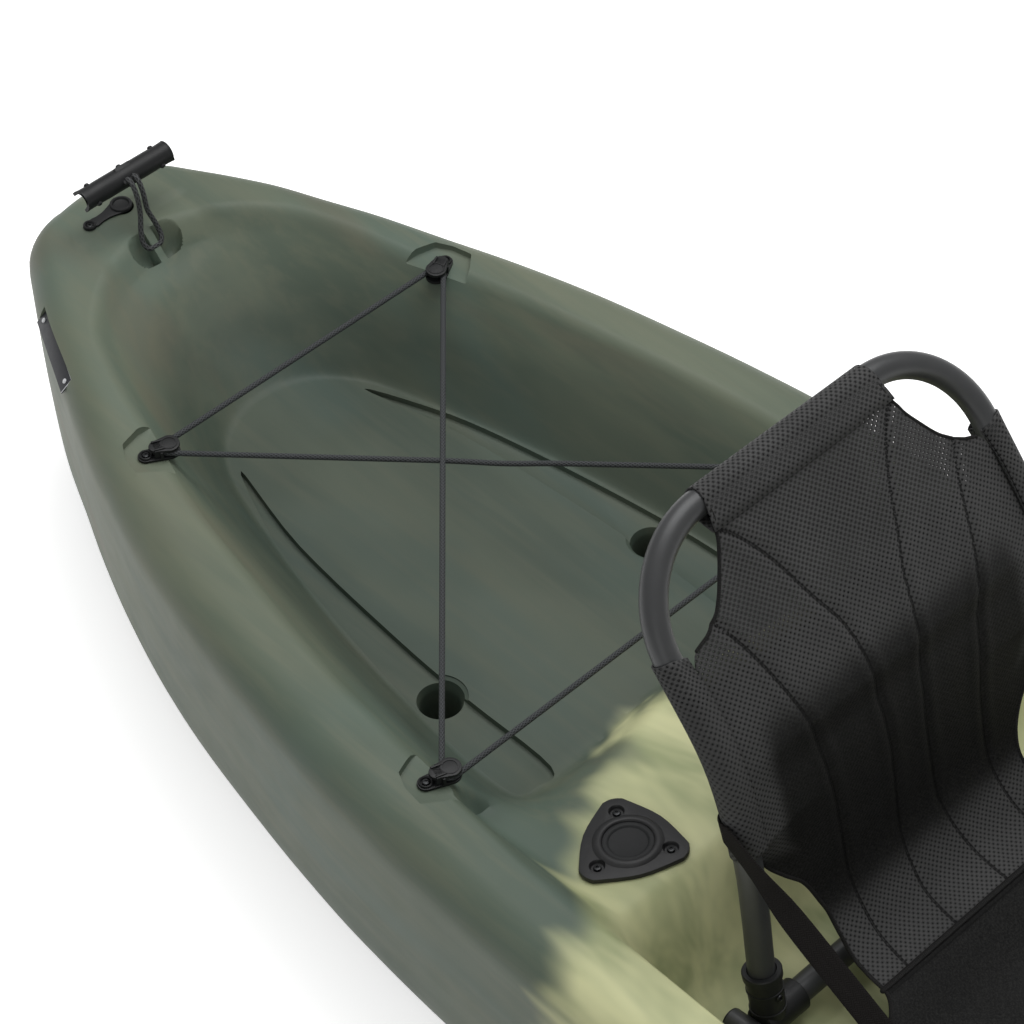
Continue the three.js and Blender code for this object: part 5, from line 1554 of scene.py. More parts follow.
def screw(shape: Shape, place: Matrix, shank: float = 0.008) -> None:
    """Adds a pan-head screw with a cross recess, its head standing on the place's own ground.

    Args:
        shape: The shape that takes it in.
        place: Where it is set down.
        shank: The shank's length.
    """
    head = [(SCREW_RADIUS * out, SCREW_HEIGHT * up) for out, up in SCREW_HEAD]
    shape.lathe([(0, -shank), (SHANK_RADIUS, -shank), (SHANK_RADIUS, 0), (SCREW_RADIUS, 0), *head], 28, place)
    blade = (SCREW_RADIUS * 1.15, SCREW_RADIUS * 0.2, SCREW_HEIGHT * 0.3)
    for turn in (0.0, math.pi / 2):
        shape.box(blade, 0.0, place @ placed(0, 0, SCREW_HEIGHT * 0.42) @ Matrix.Rotation(turn, 4, "Z"))


# Bungee


# The raised ring round a clip's screw and the one on its nose, as profiles over their own ground.
CLIP_BOSS = ((0.0052, -0.001), (0.0078, -0.001), (0.0072, 0.0022), (0.0062, 0.0026), (0.0052, 0.0018))
CLIP_RING = ((0.0072, -0.0012), (0.0096, -0.0012), (0.0092, 0.0006), (0.0077, 0.0006))
CLIP_RIB = (0.012, 0.0022, 0.0022)
CLIP_LUG = (0.0034, 0.0034)


@dataclass
class BungeeRig:
    """The four clips on the rim and the shock cord crossed between them."""

    base: float = 0.0030
    cap: float = 0.0040
    length: float = 0.047
    width: float = 0.024
    tab: float = 0.009
    post: float = 0.0046
    cord: float = 0.0062

    @property
    def nose_x(self) -> float:
        """The post's place along the clip."""
        return -self.length / 2 + self.width / 2

    @property
    def tab_x(self) -> float:
        """The screw's place along the clip."""
        return self.length / 2 - self.tab

    @property
    def base_top(self) -> float:
        """The height of the clip's foot."""
        return CLIP_SEAT + GAP + self.base

    @property
    def cord_z(self) -> float:
        """The height of the cord's middle at the clips."""
        return self.base_top + GAP + self.cord / 2

    def outline(self, nose: float, tab: float, end: float) -> np.ndarray:
        """A pear outline: a round nose, a waist and a rounded tab.

        Args:
            nose: The nose's radius.
            tab: The tab's radius.
            end: The tab's middle.

        Returns:
            Its points, (n, 2).
        """
        points = [ring_point(nose, angle, (self.nose_x, 0.0)) for angle in np.radians(np.arange(90, 271, 15))]
        points += [ring_point(tab, angle, (end, 0.0)) for angle in np.radians(np.arange(-75, 76, 15))]
        return np.asarray(points)

    def clip(self, spot: ClipSpot) -> None:
        """One clip with its grooved cap, side lugs and screw boss.

        Args:
            spot: Where the clip sits.
        """
        shape = Shape()
        place = spot.place(0)
        low = CLIP_SEAT + GAP
        cap_low = self.base_top + self.cord + 2 * GAP
        top = cap_low + self.cap
        middle = (top + low) / 2
        nose, tab = (place @ placed(x, 0, 0) for x in (self.nose_x, self.tab_x))
        nose_radius = self.width / 2
        shape.prism(self.outline(nose_radius, self.tab, self.tab_x), low, self.base_top, 0.0007, place)
        shape.prism(self.outline(nose_radius, self.tab * 0.92, self.tab_x - 0.012), cap_low, top, 0.0011, place)
        shape.lathe([(0, low), (self.post, low), (self.post, top - 0.001), (0, top - 0.001)], 24, nose)
        shape.box((0.009, 2 * self.tab - 0.001, top - low), 0.0008, place @ placed(0.0018, 0, middle))
        shape.lathe(lifted(CLIP_BOSS, self.base_top), 32, tab)
        shape.lathe(lifted(CLIP_RING, top), 32, nose)
        for side in (-1, 1):
            shape.box(CLIP_RIB, 0.0006, place @ placed(0.0005, side * 0.0062, top + 0.0004))
            shape.box((*CLIP_LUG, top - low - 0.002), 0.0008,
                      place @ placed(-0.001, side * (self.tab + 0.0002), middle - 0.001))
        clip = shape.object(f"bungee_clip_{spot.end}_{spot.side.label}_look", BLACK_PLASTIC)
        settle(clip, Body.BOAT, Slot.PLASTIC)

    def clip_screw(self, spot: ClipSpot) -> None:
        """The screw in a clip's tab.

        Args:
            spot: Where the clip sits.
        """
        shape = Shape()
        where = spot.spot(self.tab_x)
        screw(shape, placed(where.x, where.y, self.base_top + GAP, spot.turn))
        name = f"bungee_clip_screw_{spot.end}_{spot.side.label}_look"
        settle(shape.object(name, DARK_STEEL), Body.BOAT, Slot.STEEL)

    def route(self) -> np.ndarray:
        """The cord's centre line round the four posts.

        Returns:
            Its points, (n, 3).
        """
        radius = self.post + GAP + self.cord / 2
        spots = {(clip.end, clip.side): clip.spot(self.nose_x) for clip in CLIPS}
        order = ((("front", Side.PORT), -1), (("front", Side.STARBOARD), -1), (("rear", Side.PORT), 1),
                 (("rear", Side.STARBOARD), 1), (("front", Side.PORT), -1))
        stops = [(spots[name], sense) for name, sense in order]
        headings = []
        for (a, turn_a), (b, turn_b) in zip(stops, stops[1:]):
            reach = (b - a).xy.length
            headings.append(math.atan2(b.y - a.y, b.x - a.x) - math.asin((turn_b - turn_a) * radius / reach))

        def on_post(stop: tuple[Vector, int], heading: float) -> tuple[float, float, float]:
            """A point of the cord where it leaves or meets a post."""
            centre, sense = stop
            out = sense * radius
            return (centre.x + out * math.sin(heading), centre.y - out * math.cos(heading), self.cord_z)

        lift = self.cord / 2 + GAP
        half_turn = math.pi * 0.42
        points = [on_post(stops[0], headings[0] + half_turn * share) for share in np.linspace(1, 0, 8)]
        for i in range(1, len(stops)):
            crossing = stops[i][1] != stops[i - 1][1]
            over = 0 if not crossing else 1 if i == 2 else -1
            start = Vector(points[-1])
            end = Vector(on_post(stops[i], headings[i - 1]))
            for share in np.linspace(0, 1, 60)[1:-1]:
                near = math.exp(-((share - 0.5) / 0.05) ** 2)
                rise = over * lift * (near * 0.6 + 0.4 * (1 - abs(2 * share - 1)))
                points.append(tuple(start.lerp(end, share) + Vector((0, 0, rise))))
            out = headings[i] if i < len(headings) else headings[i - 1] - half_turn
            sense = stops[i][1]
            turned = sense * (((out - headings[i - 1]) * sense) % (2 * math.pi))
            points += [on_post(stops[i], headings[i - 1] + turned * share) for share in np.linspace(0, 1, 14)]
        return np.asarray(points)

    def build(self) -> None:
        """Makes the clips, their screws and the cord."""
        for spot in CLIPS:
            self.clip(spot)
            self.clip_screw(spot)
        cord = tube_object("stern_bungee_look", self.route(), self.cord / 2, SHOCK_CORD, 20, round_ends=True)
        settle(cord, Body.BOAT, Slot.CORD)


# Rod holders


@dataclass
class RodHolder:
    """A flush rod holder: a three-lobed plate, its raised lip, its tube, its cap and three screws."""

    side: Side
    form: HullForm
    y: float = 0.200
    circle: float = 0.043
    corner: float = 0.0182
    waist: float = 0.0460
    thickness: float = 0.0062
    tube: float = 0.026
    wall: float = 0.003
    depth: float = 0.190
    lip: float = 0.0028
    sink: float = 0.0040

    @property
    def lobes(self) -> list[tuple[str, float, float]]:
        """Each lobe's name and its screw's place on the deck.

        Returns:
            A name and two places for each lobe.
        """
        places = []
        for name, degrees in (("inner_fore", -30), ("inner_aft", -150), ("outer", 90)):
            x, y = ring_point(self.circle, math.radians(degrees))
            places.append((name, x, self.side.value * y))
        return places

    def place(self) -> Matrix:
        """The holder's own frame on the tilted seat deck."""
        return placed(self.form.plate_x, self.side.value * self.y, self.form.deck_z) \
            @ Matrix.Rotation(-self.form.deck_tilt, 4, "Y")

    def outline(self) -> np.ndarray:
        """The rounded triangle with bulging sides round the three lobes.

        Returns:
            Its points, (n, 2).
        """
        points = []
        for _, x, y in self.lobes:
            heading = math.atan2(y, x)
            turns = np.radians(np.arange(-50, 51, 25))
            points += [ring_point(self.corner, heading + turn, (x, y)) for turn in turns]
            points.append(ring_point(self.waist, heading + math.pi / 3))
        points.sort(key=lambda p: math.atan2(p[1], p[0]))
        return rounded(points, 4)

    def build(self) -> None:
        """Makes the plate with its lip, the tube, the cap and the screws."""
        place = self.place()
        tube, inner = self.tube, self.tube - self.wall
        top = GAP + self.thickness
        seat = top - self.sink
        lip = lifted(((tube, -0.001), (0.0372, -0.001), (0.0350, 0.0005)), top) + lifted(
            ((0.0325, -0.0008), (0.0298, 0), (0.0278, -0.0002), (tube + 0.0005, -0.0010), (tube, -0.0018)),
            top + self.lip)
        shape = Shape().prism(self.outline(), GAP, top, 0.0020, place).lathe(lip, 72, place)
        name = f"rod_holder_{self.side.label}"
        plate = shape.object(f"{name}_look", HOLDER_PLASTIC)
        sink = [(0, seat), (0.0064, seat), (0.0070, seat + 0.0006), (0.0076, top - 0.0008),
                (0.0086, top + 0.0003)]
        tools = [bore([(0, 0.0), (tube, 0.0)], 0.02, 72, place)]
        tools += [bore(sink, 0.02, 36, place @ placed(x, y, 0)) for _, x, y in self.lobes]
        carve(plate, [tool.object("tool", BLACK_PLASTIC) for tool in tools])
        dress(plate, HOLDER_PLASTIC, 30.0)
        settle(plate, Body.BOAT, Slot.PLASTIC)
        sleeve = Shape().lathe([(inner, -0.004), (tube, -0.004), (tube, -self.depth), (0, -self.depth),
                                (0, self.wall - self.depth), (inner, self.wall - self.depth)], 48,
                               place @ Matrix.Rotation(-ROD_TILT, 4, "Y"))
        settle(sleeve.object(f"{name}_tube_look", BLACK_PLASTIC), Body.BOAT, Slot.PLASTIC, replaces=False)
        self.cap(place, top)
        for lobe, x, y in self.lobes:
            shape = Shape()
            screw(shape, place @ placed(x, y, seat + GAP, 0.6))
            look = shape.object(f"rod_holder_screw_{self.side.label}_{lobe}_look", DARK_STEEL)
            settle(look, Body.BOAT, Slot.STEEL)

    def cap(self, place: Matrix, top: float) -> None:
        """The dished cap that closes the tube.

        Args:
            place: The holder's frame.
            top: The height of the plate's top.
        """
        inner = self.tube - self.wall
        plug = inner - GAP
        edge = self.tube - GAP
        high = top + GAP + 0.0004
        profile = [(0, top - 0.012), (plug - 0.001, top - 0.012), (plug, top - 0.010), (plug, top - 0.0004),
                   (edge, top - 0.0004), (edge, high - 0.0003), (edge - 0.0006, high), (inner - 0.001, high),
                   (inner - 0.0022, high - 0.0004), (inner - 0.0036, top - 0.0012),
                   (inner - 0.0052, top - 0.0016), (0, top - 0.0016)]
        cap = Shape().lathe(profile, 72, place).object(f"rod_holder_cap_{self.side.label}_look", DARK_RUBBER)
        settle(cap, Body.CAP_PORT if self.side is Side.PORT else Body.CAP_STARBOARD, Slot.RUBBER)


# Handles


# One of the small bumps along a grip's edges, as a profile.
GRIP_BUMP = ((0, -0.0012), (0.0034, -0.0012), (0.0034, 0.0004), (0.0029, 0.0016), (0.0017, 0.0024), (0, 0.0027))
HANDLE_LEAN = math.radians(31)


@dataclass
class CarryHandle:
    """A half-pipe grip on a rope loop that runs under the bridge between two scoops."""

    name: str
    x: float
    lean: float
    body: Body
    form: HullForm
    length: float = 0.128
    radius: float = 0.013
    wall: float = 0.0035
    rope: float = 0.006
    roll: float = 0.0045
    strand_gap: float = 0.018
    strand_spread: float = 0.0125
    reach: float = 0.088
    rope_depth: float = 0.021
    bump_shares: tuple[float, ...] = (-0.36, 0.0, 0.36)
    twist: float = math.radians(62)

    def place(self) -> Matrix:
        """The handle's frame at the middle of the bridge, leaning over the end."""
        z = float(self.form.top(self.x)) + self.form.crown - self.rope_depth
        return placed(self.x, 0, z) @ Matrix.Rotation(self.lean, 4, "Y")

    @property
    def inboard(self) -> int:
        """1 where the middle of the boat lies towards the bow, else -1."""
        return 1 if self.lean < 0 else -1

    def grip(self) -> None:
        """The half pipe with its rolled ends, its bumps and the boss for the rope."""
        angles = np.linspace(-0.06, math.pi + 0.06, 33)
        inner = self.radius - self.wall
        rings = []
        for share in np.linspace(-0.5, 0.5, 61):
            y = share * self.length
            end = 0.5 - abs(share)
            flare = 1 + 0.035 * math.exp(-((end / 0.03) ** 2)) - 0.02 * math.exp(-((end - 0.13) / 0.06) ** 2)
            roll = self.roll * (-1 if share > 0 else 1) if end == 0 else 0
            section = [(self.radius * flare, a) for a in angles] + [(inner, a) for a in angles[::-1]]
            rings.append([(radius * math.cos(a), y + roll * math.sin(a), radius * math.sin(a))
                          for radius, a in section])
        pipe = grid_object("grip", np.asarray(rings), BLACK_PLASTIC, wrap=True, caps=True, sharp=35.0)
        shape = Shape()
        shape.mesh.from_mesh(pipe.data)
        bpy.data.objects.remove(pipe)
        core = self.radius - self.wall / 2
        shape.box((2 * inner + self.wall, self.strand_gap + self.wall, core), 0.0012, placed(0, 0, core / 2))
        for end in (-1, 1):
            for share in self.bump_shares:
                place = placed(end * (self.radius - 0.0006), share * self.length, 0.0022)
                shape.lathe(GRIP_BUMP, 20, place @ Matrix.Rotation(end * math.pi / 2, 4, "Y"))
        shape.mesh.transform(self.place() @ placed(0, 0, self.reach)
                             @ Matrix.Rotation(self.inboard * self.twist, 4, "Y"))
        settle(shape.object(f"{self.name}_handle_grip_look", BLACK_PLASTIC), self.body, Slot.PLASTIC)

    def cord(self) -> None:
        """The rope loop, its strands side by side below the grip and spread at the bridge."""
        near, spread, top = self.strand_gap / 4, self.strand_spread, self.reach
        half = [(0.0, near, top), (0.0110, near, top - 0.0010), (0.0166, near, top - 0.0034),
                (0.0188, near, top - 0.0105), (0.0165, near, top - 0.0240), (0.0085, near * 1.15, top * 0.5),
                (0.0030, spread * 0.8, top * 0.3), (0.0, spread, 0.0125), (0.0, spread * 0.95, 0.0062),
                (0.0, spread * 0.75, 0.0016), (0.0, spread * 0.4, 0.0)]
        path = half + [(out, -y, up) for out, y, up in reversed(half)]
        points = catmull(np.asarray([(self.inboard * out, y, up) for out, y, up in path]), 8)
        place = self.place()
        world = np.asarray([place @ Vector(p) for p in points])
        name = f"{self.name}_handle_rope_look"
        settle(tube_object(name, world, self.rope / 2, HANDLE_ROPE, 20, round_ends=True), self.body, Slot.CORD)

    def build(self) -> None:
        """Makes the grip and the rope."""
        self.grip()
        self.cord()


# Drain plug


# The bush's profile under the deck's level pad, and one edge of the strap from the plug outwards.
DRAIN_BUSH = ((0.0083, -0.019), (0.012, -0.019), (0.012, -0.002), (0.015, -0.0017), (0.015, -0.0003),
              (0.0145, 0.0), (0.0083, 0.0))
DRAIN_STRAP = ((0.004, 0.0122), (0.013, 0.0092), (0.022, 0.0066), (0.032, 0.0058))


@dataclass
class DrainPlug:
    """The stern drain: a bush in the deck, a plug with a dished head and the strap that tethers it."""

    form: HullForm
    x: float = -1.494
    y: float = 0.003
    head: float = 0.013
    head_height: float = 0.005
    dimple: float = 0.0094
    reach: float = 0.048
    turn: float = math.radians(-87)
    ring: float = 0.0075
    strap: float = 0.0025

    @property
    def seat(self) -> float:
        """The height of the level pad."""
        return self.form.island_z

    @property
    def anchor(self) -> tuple[float, float]:
        """The tether screw's place."""
        return ring_point(self.reach, self.turn, (self.x, self.y))

    def build(self) -> None:
        """Makes the bush, the plug with its strap, the ring and its screw."""
        seat = self.seat
        place = placed(self.x, self.y, seat)
        bush = Shape().lathe(DRAIN_BUSH, 40, place)
        settle(bush.object("drain_bush_look", BLACK_PLASTIC), Body.BOAT, Slot.PLASTIC)
        low = GAP
        top = low + self.head_height
        wide, dimple = self.head, self.dimple
        head = lifted(((0, -0.014), (0.005, -0.014), (0.008, 0), (wide - 0.0005, 0), (wide, 0.0008)), low)
        head += lifted(((wide, -0.0012), (wide - 0.0005, -0.0004), (wide - 0.0013, 0), (dimple + 0.0006, 0),
                        (dimple, -0.0006), (dimple - 0.0007, -0.0022)), top)
        head += lifted(((dimple - 0.0016, 0.0026), (0, 0.0024)), low)
        end = self.reach - self.ring * 0.6
        edge = [*DRAIN_STRAP, (end, 0.0062)]
        outline = catmull(np.asarray(edge + [(x, -y) for x, y in reversed(edge)]), 4)
        plug = Shape().lathe(head, 48, place)
        plug.prism(outline, low, low + self.strap, 0.0006, placed(self.x, self.y, seat, self.turn))
        settle(plug.object("drain_plug_look", BLACK_PLASTIC), Body.DRAIN, Slot.PLASTIC)
        x, y = self.anchor
        rim = lifted(((0.0042, 0), (self.ring, 0), (self.ring, 0.0034), (self.ring - 0.0008, 0.0042),
                      (0.0056, 0.0042), (0.0044, 0.0030)), low)
        ring = Shape().lathe(rim, 40, placed(x, y, seat))
        settle(ring.object("drain_plug_tether_ring_look", BLACK_PLASTIC), Body.BOAT, Slot.PLASTIC)
        shape = Shape()
        screw(shape, placed(x, y, seat + low + 0.0012, 0.4))
        settle(shape.object("drain_plug_tether_screw_look", DARK_STEEL), Body.BOAT, Slot.STEEL)


# Rating plate


# A rivet's head over the plate, as a profile from its shank outwards and up.
RIVET_HEAD = ((0.0018, 0), (0.003, 0), (0.0028, 0.0008), (0.0018, 0.0014), (0, 0.0016))


@dataclass
class RatingPlate:
    """The bare plate on the starboard quarter with its two rivets."""

    form: HullForm
    x: float = -1.390
    turn: float = math.radians(25)
    tilt: float = math.radians(40)
    length: float = PLATE_LENGTH
    height: float = PLATE_HEIGHT
    thickness: float = 0.0012
    recess: float = 0.0045
    rivet_shank: float = 0.0018
    rivet_inset: float = 0.009

    def place(self) -> Matrix:
        """The plate's frame in a flat recess of the rim's rounding, its -Y facing out and up.

        Returns:
            The frame.
        """
        form, radius = self.form, self.form.rim_radius
        fore, aft = (float(form.breadth(self.x + end * self.length / 2)) for end in (1, -1))
        slope = math.atan2(fore - aft, self.length)
        out = float(form.breadth(self.x)) - radius * (1 - math.cos(self.turn))
        out -= self.recess * math.cos(self.tilt)
        up = float(form.top(self.x)) - radius * (1 - math.sin(self.turn))
        up -= self.recess * math.sin(self.tilt)
        return placed(self.x, -out, up) @ Matrix.Rotation(-slope, 4, "Z") @ Matrix.Rotation(-self.tilt, 4, "X")

    def build(self) -> None:
        """Makes the plate and the rivets."""
        place = self.place() @ Matrix.Rotation(math.pi / 2, 4, "X")
        x, y = self.length / 2, self.height / 2
        top = GAP + self.thickness
        shape = Shape().prism(((-x, -y), (x, -y), (x, y), (-x, y)), GAP, top, 0.0003)
        plate = shape.object("rating_plate_look", PLATE_FACE)
        layer = plate.data.uv_layers.new(name="UVMap")
        spots = [plate.data.vertices[loop.vertex_index].co[:2] for loop in plate.data.loops]
        layer.data.foreach_set("uv", np.asarray(spots, np.float32).ravel())
        plate.data.transform(place)
        settle(plate, Body.BOAT, Slot.PLATE)
        shank = ((0, -0.004), (self.rivet_shank, -0.004))
        head = lifted(RIVET_HEAD, top + GAP)
        for end, name in ((-1, "aft"), (1, "fore")):
            rivet = Shape().lathe([*shank, *head], 28, place @ placed(end * (x - self.rivet_inset), 0, 0))
            settle(rivet.object(f"rating_plate_rivet_{name}_look", WHITE_RIVET), Body.BOAT, Slot.RIVET)


# Seat frame


# The side tube's course: shares of the back's height, and of its setback at each.
BACK_PROFILE = ((0.045, 0.0246), (0.137, 0.075), (0.28, 0.128), (0.421, 0.19), (0.558, 0.285), (0.686, 0.425),
                (0.835, 0.697), (1, 1))


@dataclass
class SeatForm:
    """The seat's sizes and the curves that its frame and its cloth follow."""

    pivot_x: float = -0.278
    pivot_z: float = 0.215
    tube: float = 0.0135
    half_width: float = 0.218
    corner: float = 0.105
    height: float = 0.468
    setback: float = 0.221
    base_tube: float = 0.0125
    base_half: float = 0.2453
    base_rear: float = -0.302
    base_front: float = 0.215
    base_slope: float = 0.149
    base_corner: float = 0.070
    stand_x: float = 0.150
    stand_tube: float = 0.011
    stand_bend: float = 0.034
    shelf_z: float = SHELF_HEIGHT

    def __post_init__(self) -> None:
        """Works out the side profile once."""
        rows = [(self.pivot_x - self.setback * back, self.pivot_z + self.height * up)
                for up, back in BACK_PROFILE]
        self.profile = catmull(np.asarray(rows), 24)
        self.run = lengths_along(self.profile)

    def at_height(self, z: Any) -> tuple[np.ndarray, np.ndarray, np.ndarray]:
        """The side tube's place, direction and forward normal at a height, in x and z."""
        place = np.interp(z, self.profile[:, 1], self.run)
        return self.at_length(place)

    def at_length(self, place: Any) -> tuple[np.ndarray, np.ndarray, np.ndarray]:
        """The same at a length from the tube's foot.

        Args:
            place: Lengths from the foot.

        Returns:
            The place, the direction and the normal.
        """
        x = np.interp(place, self.run, self.profile[:, 0])
        z = np.interp(place, self.run, self.profile[:, 1])
        slope = np.gradient(self.profile, axis=0)
        slope /= np.linalg.norm(slope, axis=1)[:, None]
        tx = np.interp(place, self.run, slope[:, 0])
        tz = np.interp(place, self.run, slope[:, 1])
        return np.stack([x, z], -1), np.stack([tx, tz], -1), np.stack([tz, -tx], -1)

    def hoop(self) -> np.ndarray:
        """The back hoop's centre line.

        Returns:
            Its points, (n, 3).
        """
        total = self.run[-1]
        straight = total - self.corner
        half = []
        for s in np.linspace(0, straight, 40)[:-1]:
            (x, z), _, _ = self.at_length(s)
            half.append((x, self.half_width, z))
        for angle in np.linspace(0, math.pi / 2, 22):
            (x, z), _, _ = self.at_length(straight + self.corner * math.sin(angle))
            half.append((x, self.half_width - self.corner * (1 - math.cos(angle)), z))
        straight_top = np.linspace(half[-1][1], -half[-1][1], 14)[1:-1]
        top = [(half[-1][0], y, half[-1][2]) for y in straight_top]
        return np.asarray(half + top + [(x, -y, z) for x, y, z in reversed(half)])

    def base_z(self, x: Any) -> Any:
        """The base tube's height."""
        return self.pivot_z + (x - self.pivot_x) * self.base_slope

    def base(self) -> np.ndarray:
        """The base hoop's centre line, open to the back.

        Returns:
            Its points, (n, 3).
        """
        straight = np.linspace(self.base_rear, self.base_front - self.base_corner, 16)[:-1]
        half = [(x, self.base_half) for x in straight]
        for angle in np.linspace(0, math.pi / 2, 18):
            half.append((self.base_front - self.base_corner * (1 - math.sin(angle)),
                         self.base_half - self.base_corner * (1 - math.cos(angle))))
        across = np.linspace(half[-1][1], -half[-1][1], 12)[1:-1]
        path = half + [(half[-1][0], y) for y in across] + [(x, -y) for x, y in reversed(half)]
        return np.asarray([(x, y, self.base_z(x)) for x, y in path])

    def stand(self) -> np.ndarray:
        """The front stand's centre line.

        Returns:
            Its points, (n, 3).
        """
        top = self.base_z(self.stand_x) - self.base_tube - self.stand_tube * self.base_slope - GAP
        low = self.shelf_z + GAP + self.stand_tube
        half = [(self.base_half, z) for z in np.linspace(top, low + self.stand_bend, 6)[:-1]]
        for angle in np.linspace(0, math.pi / 2, 14):
            half.append((self.base_half - self.stand_bend * (1 - math.cos(angle)),
                         low + self.stand_bend * (1 - math.sin(angle))))
        across = np.linspace(half[-1][0], -half[-1][0], 12)[1:-1]
        path = half + [(y, low) for y in across] + [(-y, z) for y, z in reversed(half)]
        return np.asarray([(self.stand_x, y, z) for y, z in path])

    @property
    def lean(self) -> float:
        """The lean of the tee's socket."""
        up, back = BACK_PROFILE[1]
        return math.atan2(back * self.setback, up * self.height)


# The end plug of the base hoop, as a profile over the tube's end.
BASE_PLUG = ((0, -0.006), (0.0108, -0.006), (0.0108, 0.0), (0.0119, 0.0004), (0.0119, 0.0018), (0.0100, 0.0030),
             (0, 0.0034))


